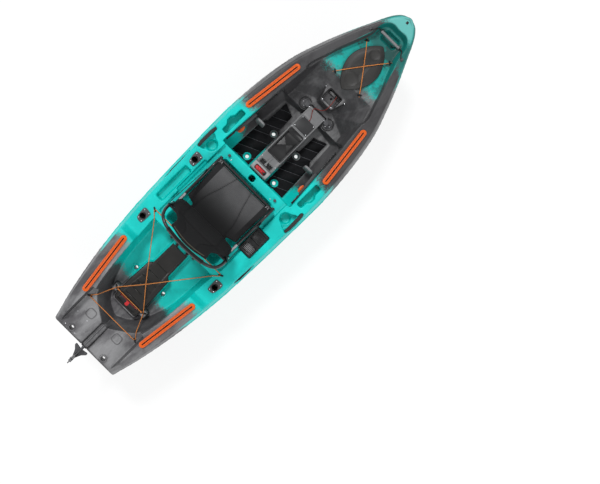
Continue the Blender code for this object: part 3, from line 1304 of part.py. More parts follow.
TRAY = (0.276, 0.512, -0.060, 0.060)
COVER_PLATE = (0.533, 0.628, -0.060, 0.060)
FINGER_SLOT = (0.186, 0.214, -0.050, 0.050)
BUTTON_SLOT = (0.128, 0.156, -0.046, 0.046)
LEVER_PIVOT = (0.262, CONSOLE_TOP + 0.0035)


def console_deck():
    """The console's moulded deck: a hollow cap with a raised rear block and a hinge barrel in front."""
    top, half = CONSOLE_TOP, CONSOLE_HALF
    profile = ((CONSOLE_AFT, FLOOR_Z + GAP), (CONSOLE_AFT, REAR_BLOCK_TOP - 0.008),
               (CONSOLE_AFT + 0.008, REAR_BLOCK_TOP), (CONSOLE_AFT + 0.062, REAR_BLOCK_TOP),
               (CONSOLE_AFT + 0.072, top), (PIVOT[0] - 0.004, top), (PIVOT[0] - 0.004, PIVOT[1] - 0.012),
               (PIVOT[0] - 0.035, FLOOR_Z + GAP))
    deck = soften(prism("console_deck", profile, -half, half, "grey", PROFILE), 0.003, 1, 60)
    skin = CONSOLE_SKIN
    inner = ((CONSOLE_AFT + skin, FLOOR_Z - 0.05), (CONSOLE_AFT + skin, REAR_BLOCK_TOP - skin),
             (CONSOLE_AFT + 0.056, REAR_BLOCK_TOP - skin), (CONSOLE_AFT + 0.068, top - skin),
             (PIVOT[0] - 0.022, top - skin), (PIVOT[0] - 0.022, PIVOT[1] - 0.02), (PIVOT[0] - 0.05, FLOOR_Z - 0.05))
    hollow = prism("cut_hollow", inner, -half + skin, half - skin, "grey", PROFILE)
    barrel = rod("add_barrel", (PIVOT[0], -half + 0.004, PIVOT[1]), (PIVOT[0], half - 0.004, PIVOT[1]), BARREL_RADIUS,
                 "grey", 20)
    bore = rod("cut_bore", (PIVOT[0], -half - 0.02, PIVOT[1]), (PIVOT[0], half + 0.02, PIVOT[1]), PIVOT_RADIUS + GAP,
               "grey", 16)
    fuse(deck, barrel)
    openings = [prism("cut_opening", rounded_box(*area, 0.008, 2), top - 0.02, top + 0.1, "grey")
                for area in (TRAY, FINGER_SLOT, BUTTON_SLOT)]
    pin_hole = rod("cut_pin_hole", (CONSOLE_AFT - 0.02, 0, LATCH_Z), (CONSOLE_AFT + 0.02, 0, LATCH_Z),
                   LATCH_RADIUS + GAP, "grey", 12)
    return hang_on(carve(deck, hollow, bore, pin_hole, *openings), (PIVOT[0], 0, PIVOT[1]))


def console_tray():
    """A drop-in gear tray: flange, pan and crossed stiffening ribs."""
    x0, x1, y0, y1 = TRAY
    edge = 0.004
    pan = rounded_box(x0 + GAP, x1 - GAP, y0 + GAP, y1 - GAP, 0.0077, 2)
    flange = rounded_box(x0 - edge, x1 + edge, y0 - edge, y1 + edge, 0.010, 2)
    base = CONSOLE_TOP - 0.018
    tray = prism("console_tray", flange, CONSOLE_TOP + GAP, CONSOLE_TOP + 0.003, "charcoal")
    fuse(tray, prism("add_pan", pan, base, CONSOLE_TOP + 0.002, "charcoal"))
    inner = rounded_box(x0 + 0.003, x1 - 0.003, y0 + 0.003, y1 - 0.003, 0.006, 2)
    carve(tray, prism("cut_pan", inner, base + 0.003, CONSOLE_TOP + 0.1, "charcoal"))
    xc = (x0 + x1) / 2
    for sign in (1, -1):
        rib = stadium((xc - 0.045, 0.050 * sign), (xc + 0.045, -0.050 * sign), 0.0025, 1)
        fuse(tray, prism("add_rib", rib, base + 0.001, base + 0.0065, "charcoal"))
    step = prism("add_step", rounded_box(x1 - 0.034, x1 - 0.001, y0 + 0.001, y1 - 0.001, 0.003, 1), base + 0.001,
                 base + 0.012, "charcoal")
    return hang_on(fuse(tray, step), (PIVOT[0], 0, PIVOT[1]))


def console_cover():
    plate = prism("console_cover", rounded_box(*COVER_PLATE, 0.010), CONSOLE_TOP + GAP, CONSOLE_TOP + 0.007, "charcoal")
    return hang_on(soften(plate, 0.0015, 1, 60), (PIVOT[0], 0, PIVOT[1]))


def power_button():
    """A red rocker bar in the rear block's slot, on a stem that runs down into the console."""
    x0, x1, _, _ = BUTTON_SLOT
    top = REAR_BLOCK_TOP
    cap = prism("power_button", rounded_box(x0 + 0.003, x1 - 0.003, -0.020, 0.020, 0.006), top - 0.010, top - 0.0015,
                "red")
    collar = prism("add_collar", rounded_box(x0 + GAP, x1 - GAP, -0.0457, 0.0457, 0.0077, 2), top - 0.0055, top - 0.004,
                   "red")
    return hang_on(fuse(soften(cap, 0.002), collar), ((x0 + x1) / 2, 0, top - 0.006))


def release_lever():
    """The pull bar over the finger slot, hinged on two small ears in front of it."""
    x, z = LEVER_PIVOT
    bar = prism("release_lever", ((0.187, -0.010), (0.197, -0.010), (0.202, -0.006), (x, -0.006), (x, 0.006),
                                  (0.202, 0.006), (0.197, 0.010), (0.187, 0.010)), CONSOLE_TOP + GAP, CONSOLE_TOP + 0.006,
                "grey")
    eye_piece = rod("add_eye", (x, -0.006, z + 0.0005), (x, 0.006, z + 0.0005), 0.0037, "grey", 12)
    return hang_on(fuse(bar, eye_piece), (x, 0, z))


def pivot_shaft():
    reach = 0.112
    return rod("pivot_shaft", (PIVOT[0], -reach, PIVOT[1]), (PIVOT[0], reach, PIVOT[1]), PIVOT_RADIUS, "steel")


def pivot_cap(side):
    """A bearing cap on the hull's step that holds one end of the console's shaft."""
    inner, outer = CONSOLE_HALF + 0.0055, 0.112
    y0, y1 = sorted((inner * side, outer * side))
    cap = turned(sided("pivot_cap", side), ((0.030, 0.0), (0.030, 0.004), (0.027, 0.006)),
                 (PIVOT[0], 0.110 * side, STEP_Z + GAP), Z_AXIS, "charcoal", 16)
    block = prism("add_block", rounded_box(PIVOT[0] - 0.018, PIVOT[0] + 0.018, y0, y1, 0.005, 2), STEP_Z + 0.003,
                  PIVOT[1] + 0.016, "charcoal")
    fuse(cap, block)
    trim = prism("cut_inner", ((0.6, 0), (0.8, 0), (0.8, inner * side), (0.6, inner * side)), 0.1, 0.4, "charcoal")
    bore = rod("cut_shaft", (PIVOT[0], -0.2, PIVOT[1]), (PIVOT[0], 0.2, PIVOT[1]), PIVOT_RADIUS + GAP, "charcoal", 12)
    return carve(cap, trim, bore)


def motor_column():
    """The faired leg between console and motor, with its head flange and the saddle on the housing."""
    stations = ((CONSOLE_TOP - CONSOLE_SKIN - GAP, 0.560, 0.672, 0.052), (0.222, 0.560, 0.672, 0.052),
                (0.216, 0.566, 0.664, 0.020), (0.10, 0.560, 0.664, 0.017), (0.02, 0.545, 0.676, 0.017),
                (0.0, 0.520, 0.694, 0.024), (-0.024, 0.510, 0.700, 0.028))
    rings = []
    for z, x0, x1, half in stations:
        xc, length = (x0 + x1) / 2, (x1 - x0) / 2
        rings.append([Vector((xc + length * math.cos(a), half * math.sin(a), z))
                      for a in (2 * math.pi * k / 20 for k in range(20))])
    leg = loft("motor_column", rings, "black", 50)
    seat = rod("cut_saddle", (0.4, 0, POD_Z), (0.9, 0, POD_Z), POD_RADIUS + GAP, "black", 40)
    return hang_on(carve(leg, seat), (PIVOT[0], 0, PIVOT[1]))


BAND = (POD_AFT + 0.087, POD_AFT + 0.107)


def motor_housing():
    """The sealed motor tube: a thin shell with an ogive nose, a band groove, a shaft bore and a swept skeg."""
    length = POD_NOSE - POD_AFT
    nose = 0.105
    straight = length - nose
    outer = [(SHAFT_RADIUS + GAP, 0.0), (POD_RADIUS - 0.002, 0.0), (POD_RADIUS, 0.002)]
    groove = [(POD_RADIUS, BAND[0] - POD_AFT - GAP), (POD_RADIUS - 0.002, BAND[0] - POD_AFT - GAP),
              (POD_RADIUS - 0.002, BAND[1] - POD_AFT + GAP), (POD_RADIUS, BAND[1] - POD_AFT + GAP)]
    ogive = [(POD_RADIUS * (1 - (k / 7) ** 1.8), straight + nose * (k / 7) ** 0.85) for k in range(7)]
    ogive.append((0.0, length))
    bore = POD_RADIUS - POD_WALL
    inner = [(0.0, straight - 0.004), (bore, straight - 0.004), (bore, 0.008), (SHAFT_RADIUS + GAP, 0.008)]
    shell = turned("motor_housing", outer + groove + ogive, (POD_AFT, 0, POD_Z), X_AXIS, "pale", 20)
    cavity = turned("cut_cavity", inner, (POD_AFT, 0, POD_Z), X_AXIS, "pale", 16)
    hole = rod("cut_shaft_hole", (POD_AFT - 0.02, 0, POD_Z), (POD_AFT + 0.03, 0, POD_Z), SHAFT_RADIUS + GAP, "pale", 16)
    root = POD_Z - POD_RADIUS + 0.006
    tip = POD_Z - 0.145
    outline = ((-0.155, root), (-0.045, root + 0.006), (-0.071, tip + 0.075), (-0.147, tip + 0.004),
               (-0.175, tip), (-0.180, tip + 0.010), (-0.157, tip + 0.075))
    skeg = prism("add_skeg", [(POD_NOSE + x, z) for x, z in outline], -0.0035, 0.0035, "pale", PROFILE)
    fuse(shell, skeg)
    return hang_on(carve(shell, cavity, hole), (PIVOT[0], 0, PIVOT[1]))


def motor_band():
    inner = POD_RADIUS - 0.002 + GAP
    band = turned("motor_band", ((inner, BAND[0]), (POD_RADIUS, BAND[0]), (POD_RADIUS, BAND[1]), (inner, BAND[1])),
                  (0, 0, POD_Z), X_AXIS, "black", 20, bored=True)
    return hang_on(band, (PIVOT[0], 0, PIVOT[1]))


def motor_magnets():
    outer = POD_RADIUS - POD_WALL - GAP * 2
    aft, fore = POD_AFT + 0.036, POD_AFT + 0.186
    ring = turned("motor_magnets", ((outer - 0.006, aft), (outer, aft), (outer, fore), (outer - 0.006, fore)),
                  (0, 0, POD_Z), X_AXIS, "steel", 16, bored=True)
    return hang_on(ring, (PIVOT[0], 0, PIVOT[1]))


def motor_rotor():
    """The wound armature on its shaft, which carries the propeller."""
    shaft = rod("motor_rotor", (PROP_X - 0.018, 0, POD_Z), (POD_AFT + 0.208, 0, POD_Z), SHAFT_RADIUS, "steel", 12)
    armature = turned("add_armature", ((0.0, 0.041), (0.012, 0.041), (0.013, 0.051), (0.029, 0.056), (0.029, 0.176),
                                       (0.0, 0.181)), (POD_AFT, 0, POD_Z), X_AXIS, "steel", 16)
    return hang_on(fuse(shaft, armature), (PROP_X, 0, POD_Z))


def propeller():
    """A two-blade propeller: a hub with a rounded aft face and twisted blades of foil section."""
    fore = POD_AFT - 0.0015
    aft = PROP_X - 0.021
    hub = turned("propeller", ((0.0, aft - 0.006), (0.016, aft - 0.005), (0.030, aft), (HUB_RADIUS, aft + 0.008),
                               (HUB_RADIUS, fore - 0.002), (HUB_RADIUS - 0.002, fore), (0.0, fore)), (0, 0, POD_Z), X_AXIS,
                 "black", 24)
    for turn in (0, math.pi):
        rings = []
        for k in range(6):
            t = k / 5
            radius = 0.030 + (PROP_RADIUS - 0.030) * t
            chord = 0.019 + 0.010 * math.sin(math.pi * min(t * 1.15, 1.0)) - 0.010 * t**4
            pitch = math.radians(58 - 34 * t)
            sweep = -0.012 * t * t
            ring = []
            for a in (2 * math.pi * i / 8 for i in range(8)):
                c, n = chord * math.cos(a), (0.0034 - 0.0016 * t) * math.sin(a)
                dx = c * math.cos(pitch) - n * math.sin(pitch)
                dy = c * math.sin(pitch) + n * math.cos(pitch) + sweep
                point = Vector((dx, dy, radius))
                ring.append(Matrix.Rotation(turn, 3, "X") @ point + Vector((PROP_X, 0, POD_Z)))
            rings.append(ring)
        fuse(hub, loft("add_blade", rings, "black", 50))
    bore = rod("cut_bore", (PROP_X - 0.0185, 0, POD_Z), (POD_AFT + 0.02, 0, POD_Z), SHAFT_RADIUS + GAP, "black", 12)
    return hang_on(carve(hub, bore), (PROP_X, 0, POD_Z))


def console_latch_pin():
    """The plunger that locks the console, drawn back: its tip waits inside the cross beam."""
    tip = FOOTWELL_AFT - 0.0015
    pin = rod("console_latch_pin", (0.050, 0, LATCH_Z), (tip, 0, LATCH_Z), LATCH_RADIUS, "steel", 12)
    knob = turned("add_knob", ((0.009, 0.039), (LATCH_KNOB, 0.042), (LATCH_KNOB, 0.051), (0.010, 0.055)),
                  (0, 0, LATCH_Z), X_AXIS, "black", 14)
    return hang_on(fuse(pin, knob), (tip, 0, LATCH_Z))


def wire_gland():
    x0, x1, y0, y1 = GLAND_RECESS
    plate = prism("wire_gland", rounded_box(0.862, x1 - 0.004, y0 + 0.010, y1 - 0.010, 0.006, 2), GLAND_RECESS_Z + GAP,
                  GLAND_RECESS_Z + 0.006, "black")
    nut = turned("add_nut", ((0.011, 0.0), (0.011, 0.014), (0.007, 0.020)), (0.878, -0.018, GLAND_RECESS_Z + 0.004), Z_AXIS,
                 "black", 8)
    return fuse(plate, nut)


def motor_lead():
    """The motor's lead: up from the gland, back over the block and into the console's cover."""
    points = [(0.878, -0.018, GLAND_RECESS_Z + 0.0245), (0.874, -0.018, GLAND_RECESS_Z + 0.040), (0.850, -0.022, 0.312),
              (0.800, -0.028, 0.310), (0.762, -0.026, 0.296), (0.738, -0.006, 0.262), (0.722, 0.030, 0.2455),
              (0.700, 0.036, 0.2445), (0.672, 0.018, 0.2435), (0.648, 0.004, 0.2420), (0.6285, 0.001, 0.2415)]
    return cord("motor_lead", smooth_path([Vector(p) for p in points], 2), 0.0025, "red")


# Rudder

GUDGEON_Z = (0.276, 0.297)
HORN_Z = 0.338
HORN_THICKNESS = 0.005
CHEEK_GAP = BLADE_THICKNESS / 2 + 0.001


def rudder_gudgeon():
    """Two lugs on a transom plate, and the pin that the rudder head turns on."""
    face = -HALF_LENGTH - GAP
    plate = prism("rudder_gudgeon", rounded_box(-0.025, 0.025, 0.2725, 0.3035, 0.006, 2), face - 0.004, face, "charcoal",
                  SECTION)
    for z in GUDGEON_Z:
        lug = prism("add_lug", ((face - 0.002, -0.012), (YAW_X, -0.010), (YAW_X - 0.008, -0.006), (YAW_X - 0.010, 0.0),
                                (YAW_X - 0.008, 0.006), (YAW_X, 0.010), (face - 0.002, 0.012)), z, z + 0.005, "charcoal")
        fuse(plate, lug)
    return fuse(plate, rod("add_pintle", (YAW_X, 0, GUDGEON_Z[0] - 0.004), (YAW_X, 0, HORN_Z - 0.002), 0.004, "steel", 12))


def rudder_head():
    """The steering horn on its barrel, and the fork whose cheeks carry the blade."""
    bx, bz = BLADE_PIVOT
    top = HORN_Z + HORN_THICKNESS
    horn = prism("rudder_head", mirrored(((-1.690, 0.0), (-1.690, 0.012), (-1.650, 0.030), (-1.624, 0.055),
                                          (-1.612, 0.055), (-1.608, 0.048), (-1.616, 0.0))), HORN_Z, top, "charcoal")
    low = GUDGEON_Z[1] + 0.005 + GAP
    fuse(horn, rod("add_barrel", (YAW_X, 0, low), (YAW_X, 0, top - 0.001), 0.009, "charcoal", 16))
    for side in (1, -1):
        y0, y1 = sorted((CHEEK_GAP * side, (CHEEK_GAP + 0.006) * side))
        cheek = [(bx + 0.024 * math.cos(a), bz + 0.024 * math.sin(a))
                 for a in (math.radians(20 + 200 * k / 8) for k in range(9))]
        cheek += [(bx, HORN_Z - 0.004), (-1.650, HORN_Z - 0.004), (-1.650, top)]
        fuse(horn, prism("add_cheek", cheek, y0, y1, "charcoal", PROFILE))
    pin_hole = rod("cut_pin_hole", (bx, -0.05, bz), (bx, 0.05, bz), 0.004 + GAP, "charcoal", 12)
    pintle = rod("cut_pintle", (YAW_X, 0, 0.2), (YAW_X, 0, HORN_Z - 0.002 + GAP), 0.004 + GAP, "charcoal", 12)
    disc_room = rod("cut_disc_room", (bx, -CHEEK_GAP, bz), (bx, CHEEK_GAP, bz), BLADE_DISC_RADIUS + 0.002, "charcoal", 24)
    return hang_on(carve(horn, pin_hole, pintle, disc_room), (YAW_X, 0, low))


def blade_pin():
    bx, bz = BLADE_PIVOT
    pin = turned("blade_pin", ((0.004, -0.013), (0.004, 0.011), (0.0065, 0.0112), (0.0065, 0.0145)), (bx, 0, bz), Y_AXIS,
                 "steel", 12)
    return pin


def rudder_blade():
    """A cambered foil blade on a round pivot disc; stowed, it lies forward over the stern deck."""
    bx, bz = BLADE_PIVOT
    half = BLADE_THICKNESS / 2
    disc = turned("rudder_blade", ((0.004 + GAP, -half), (BLADE_DISC_RADIUS - 0.002, -half), (BLADE_DISC_RADIUS, 0.0),
                                   (BLADE_DISC_RADIUS - 0.002, half), (0.004 + GAP, half)), (bx, 0, bz), Y_AXIS, "charcoal",
                  24, bored=True)
    rings = []
    for k in range(8):
        t = k / 7
        x = bx + 0.030 + (BLADE_LENGTH - 0.030) * t
        low = bz - 0.0265 + 0.010 * t * t
        high = bz + 0.020 + 0.016 * math.sin(math.pi * min(t * 1.1, 1.0)) - 0.030 * t**3
        middle, reach = (low + high) / 2, (high - low) / 2
        thick = half * (0.9 - 0.35 * t)
        rings.append([Vector((x, thick * math.sin(a), middle + reach * math.cos(a)))
                      for a in (2 * math.pi * i / 10 for i in range(10))])
    return hang_on(fuse(disc, loft("add_foil", rings, "charcoal", 50)), (bx, 0, bz))


def clear_scene():
    for piece in list(bpy.data.objects):
        bpy.data.objects.remove(piece, do_unlink=True)


def main():
    clear_scene()
    hull()
    skid_plate()
    tracks()
    for name, x, y in ROD_HOLDERS:
        rod_holder(name, x, y)
    for side in (1, -1):
        gunwale_pad(side)
        footwell_pad(side)
        foot_rail(side)
        foot_brace(side)
        toe_pedal(side)
        brace_trigger(side)
        side_handle(side)
        pivot_cap(side)
    battery()
    battery_cover()
    battery_strap()
    rear_bungee()
    rear_bungee_cross()
    bow_bungee()
    bow_hatch_lid()
    bow_handle()
    control_box()
    throttle_dial()
    seat_frame()
    seat_sling()
    seat_back_frame()
    seat_back_pad()
    back_straps()
    console_deck()
    console_tray()
    console_cover()
    power_button()
    release_lever()
    pivot_shaft()
    motor_column()
    motor_housing()
    motor_band()
    motor_magnets()
    motor_rotor()
    propeller()
    console_latch_pin()
    wire_gland()
    motor_lead()
    rudder_gudgeon()
    rudder_head()
    blade_pin()
    rudder_blade()


main()
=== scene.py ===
"""Looks of the motorized sit-on-top kayak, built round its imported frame, in metres: +X bow, +Y port, +Z up."""

import logging
import math
from collections.abc import Callable, Sequence
from dataclasses import dataclass
from enum import Enum

import bmesh
import bpy
from mathutils import Matrix, Vector
from mathutils.bvhtree import BVHTree


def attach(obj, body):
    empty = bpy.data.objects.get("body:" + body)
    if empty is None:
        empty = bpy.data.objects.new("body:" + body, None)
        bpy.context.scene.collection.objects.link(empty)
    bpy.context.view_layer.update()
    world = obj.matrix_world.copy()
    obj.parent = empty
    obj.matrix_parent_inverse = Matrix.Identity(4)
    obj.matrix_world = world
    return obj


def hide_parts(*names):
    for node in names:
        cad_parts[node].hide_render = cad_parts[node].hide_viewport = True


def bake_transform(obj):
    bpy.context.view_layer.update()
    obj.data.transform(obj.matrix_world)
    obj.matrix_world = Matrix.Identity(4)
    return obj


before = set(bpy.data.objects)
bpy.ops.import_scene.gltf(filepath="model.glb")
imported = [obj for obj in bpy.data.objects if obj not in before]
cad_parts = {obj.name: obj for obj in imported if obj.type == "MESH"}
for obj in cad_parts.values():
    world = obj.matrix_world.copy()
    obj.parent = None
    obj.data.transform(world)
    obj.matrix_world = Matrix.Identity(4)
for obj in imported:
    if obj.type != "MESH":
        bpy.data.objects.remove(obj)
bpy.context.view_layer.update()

LOG = logging.getLogger("kayak")

Colour = tuple[float, float, float]
Outline = Sequence[tuple[float, float]]
Obj = bpy.types.Object

X_AXIS, Y_AXIS, Z_AXIS = Vector((1, 0, 0)), Vector((0, 1, 0)), Vector((0, 0, 1))
PLAN = (X_AXIS, Y_AXIS, Z_AXIS)
PROFILE = (X_AXIS, Z_AXIS, Y_AXIS)
SECTION = (Y_AXIS, Z_AXIS, X_AXIS)
GAP = 0.0003


class Side(Enum):
    """One side of the boat; the value is the sign of Y there."""

    PORT = 1
    STARBOARD = -1

    @property
    def tag(self) -> str:
        """The ending of a piece's name on this side."""
        return "port" if self is Side.PORT else "stbd"


class Joining(Enum):
    """How a Boolean modifier joins two meshes."""

    CARVE = "DIFFERENCE"
    FUSE = "UNION"


# Shader tools

class Signal:
    """One value in a shader; arithmetic on it adds Math nodes."""

    def __init__(self, paint: "Paint", socket: bpy.types.NodeSocket) -> None:
        """Wraps a socket of a paint's tree."""
        self.paint = paint
        self.socket = socket

    def _math(self, operation: str, first: "Signal | float", second: "Signal | float" = 0.0) -> "Signal":
        """Adds a Math node."""
        return self.paint.node("ShaderNodeMath", {"operation": operation}, {0: first, 1: second})

    def __add__(self, other: "Signal | float") -> "Signal":
        """Returns self + other."""
        return self._math("ADD", self, other)

    __radd__ = __add__

    def __sub__(self, other: "Signal | float") -> "Signal":
        """Returns self - other."""
        return self._math("SUBTRACT", self, other)

    def __rsub__(self, other: "Signal | float") -> "Signal":
        """Returns other - self."""
        return self._math("SUBTRACT", other, self)

    def __mul__(self, other: "Signal | float") -> "Signal":
        """Returns self * other."""
        return self._math("MULTIPLY", self, other)

    __rmul__ = __mul__

    def __truediv__(self, other: "Signal | float") -> "Signal":
        """Returns self / other."""
        return self._math("DIVIDE", self, other)

    def __rtruediv__(self, other: "Signal | float") -> "Signal":
        """Returns other / self."""
        return self._math("DIVIDE", other, self)

    def __pow__(self, other: "Signal | float") -> "Signal":
        """Returns self to the power of other."""
        return self._math("POWER", self, other)

    def sine(self) -> "Signal":
        """Returns the sine of the value."""
        return self._math("SINE", self)

    def absolute(self) -> "Signal":
        """Returns the value without its sign."""
        return self._math("ABSOLUTE", self)

    def most(self, other: "Signal | float") -> "Signal":
        """Returns the larger of two values."""
        return self._math("MAXIMUM", self, other)

    def least(self, other: "Signal | float") -> "Signal":
        """Returns the smaller of two values."""
        return self._math("MINIMUM", self, other)

    def between(self, low: float, high: float, kind: str = "SMOOTHSTEP") -> "Signal":
        """Rises from 0 at low to 1 at high, smoothly unless told otherwise."""
        return self.paint.node("ShaderNodeMapRange", {"interpolation_type": kind},
                               {"Value": self, "From Min": low, "From Max": high})


class Paint:
    """One material under construction: a Principled shader and the nodes that feed it."""

    def __init__(self, name: str) -> None:
        """Starts an empty material of that name."""
        self.material = bpy.data.materials.new(name)
        self.material.use_nodes = True
        self.tree = self.material.node_tree
        self.tree.nodes.clear()
        self.shader = self.tree.nodes.new("ShaderNodeBsdfPrincipled")
        output = self.tree.nodes.new("ShaderNodeOutputMaterial")
        self.tree.links.new(self.shader.outputs[0], output.inputs[0])

    @classmethod
    def of_tree(cls, tree: bpy.types.NodeTree) -> "Paint":
        """Wraps a tree that already has its own shader, as the world's has."""
        paint = cls.__new__(cls)
        paint.tree = tree
        return paint

    def node(self, kind: str, settings: dict | None = None, inputs: dict | None = None,
             output: int | str = 0) -> Signal:
        """Adds a node.

        Args:
            kind: the node's type name.
            settings: properties, set first.
            inputs: values or signals by socket name or number.
            output: the socket that is returned.

        Returns:
            The chosen output.
        """
        node = self.tree.nodes.new(kind)
        for key, value in (settings or {}).items():
            setattr(node, key, value)
        for key, value in (inputs or {}).items():
            self.feed(node.inputs[key], value)
        return Signal(self, node.outputs[output])

    def feed(self, socket: bpy.types.NodeSocket, value: object) -> None:
        """Links a signal to a socket, or sets its value."""
        if isinstance(value, Signal):
            self.tree.links.new(value.socket, socket)
        else:
            socket.default_value = value

    def place(self) -> Signal:
        """The point on the piece, in the boat's own frame."""
        return self.node("ShaderNodeTexCoord", output="Object")

    def facing(self) -> Signal:
        """The way the surface faces, in the boat's own frame."""
        return self.node("ShaderNodeTexCoord", output="Normal")

    def woven(self) -> Signal:
        """The point in the piece's own map, in metres along its surface."""
        return self.node("ShaderNodeUVMap", {"uv_map": "cloth"})

    def split(self, vector: Signal) -> tuple[Signal, Signal, Signal]:
        """Returns a vector's three parts."""
        node = self.tree.nodes.new("ShaderNodeSeparateXYZ")
        self.feed(node.inputs[0], vector)
        return tuple(Signal(self, output) for output in node.outputs)

    def stretched(self, vector: Signal, scale: Colour) -> Signal:
        """Scales a vector by axis."""
        return self.node("ShaderNodeMapping", {"vector_type": "POINT"}, {"Vector": vector, "Scale": scale})

    def noise(self, vector: Signal, scale: float, detail: float = 3.0, roughness: float = 0.5) -> Signal:
        """Cloudy noise from 0 to 1."""
        return self.node("ShaderNodeTexNoise", None,
                         {"Vector": vector, "Scale": scale, "Detail": detail, "Roughness": roughness})

    def cells(self, vector: Signal, scale: float) -> Signal:
        """Distance to the nearest of many scattered points."""
        return self.node("ShaderNodeTexVoronoi", None, {"Vector": vector, "Scale": scale})

    def blend(self, factor: Signal | float, first: "Colour | Signal", second: "Colour | Signal") -> Signal:
        """Mixes two colours."""
        first, second = ((*c, 1.0) if isinstance(c, tuple) else c for c in (first, second))
        return self.node("ShaderNodeMix", {"data_type": "RGBA"}, {0: factor, 6: first, 7: second}, 2)

    def set(self, **sockets: object) -> None:
        """Feeds the shader's sockets, named with underscores for spaces."""
        for key, value in sockets.items():
            self.feed(self.shader.inputs[key.replace("_", " ")], value)

    def bump(self, height: Signal, depth: float) -> None:
        """Gives the surface a relief of that depth in metres."""
        self.set(Normal=self.node("ShaderNodeBump", None, {"Strength": 1.0, "Distance": depth, "Height": height},
                                  "Normal"))


@dataclass(frozen=True)
class Finish:
    """A moulded, painted or metal surface with its own grain, blotches and gloss."""

    name: str
    slot: str
    colour: Colour
    roughness: float = 0.5
    metallic: float = 0.0
    coat: float = 0.0
    blotch: float = 0.14
    blotch_scale: float = 16.0
    grain_scale: float = 700.0
    grain_depth: float = 0.00012
    shine: float = 0.3

    def material(self) -> bpy.types.Material:
        """Returns the material, made once."""
        found = bpy.data.materials.get(self.name)
        if found:
            return found
        paint = Paint(self.name)
        paint.set(Metallic=self.metallic, Coat_Weight=self.coat, Specular_IOR_Level=self.shine)
        self.dress(paint)
        return paint.material

    def shade(self, share: float) -> Colour:
        """The colour, lighter or darker by a share."""
        return tuple(min(1.0, c * (1 + share)) for c in self.colour)

    def dress(self, paint: Paint) -> None:
        """Feeds the shader."""
        place = paint.place()
        cloud = paint.noise(place, self.blotch_scale, 5.0, 0.6)
        grain = paint.noise(place, self.grain_scale, 2.0)
        scuffs = paint.noise(paint.stretched(place, (1.0, 6.0, 6.0)), 60.0, 4.0, 0.7).between(0.62, 0.78)
        colour = paint.blend(cloud, self.shade(-self.blotch), self.shade(self.blotch))
        paint.set(Base_Color=paint.blend(scuffs * 0.25, colour, self.shade(0.6)),
                  Roughness=cloud * 0.16 + (self.roughness - 0.08) + scuffs * 0.08)
        paint.bump(grain + cloud * 0.3, self.grain_depth)


HALF_LENGTH = 1.60
HALF_BEAM = 0.47
BEAM_POINTS = ((-1.0, 0.60), (-0.85, 0.735), (-0.63, 0.87), (-0.375, 0.957), (0.0, 0.997), (0.15, 1.0),
               (0.275, 0.977), (0.41, 0.925), (0.54, 0.84), (0.66, 0.70), (0.79, 0.52), (0.88, 0.372),
               (0.95, 0.245), (0.98, 0.165), (0.993, 0.105), (1.0, 0.04))


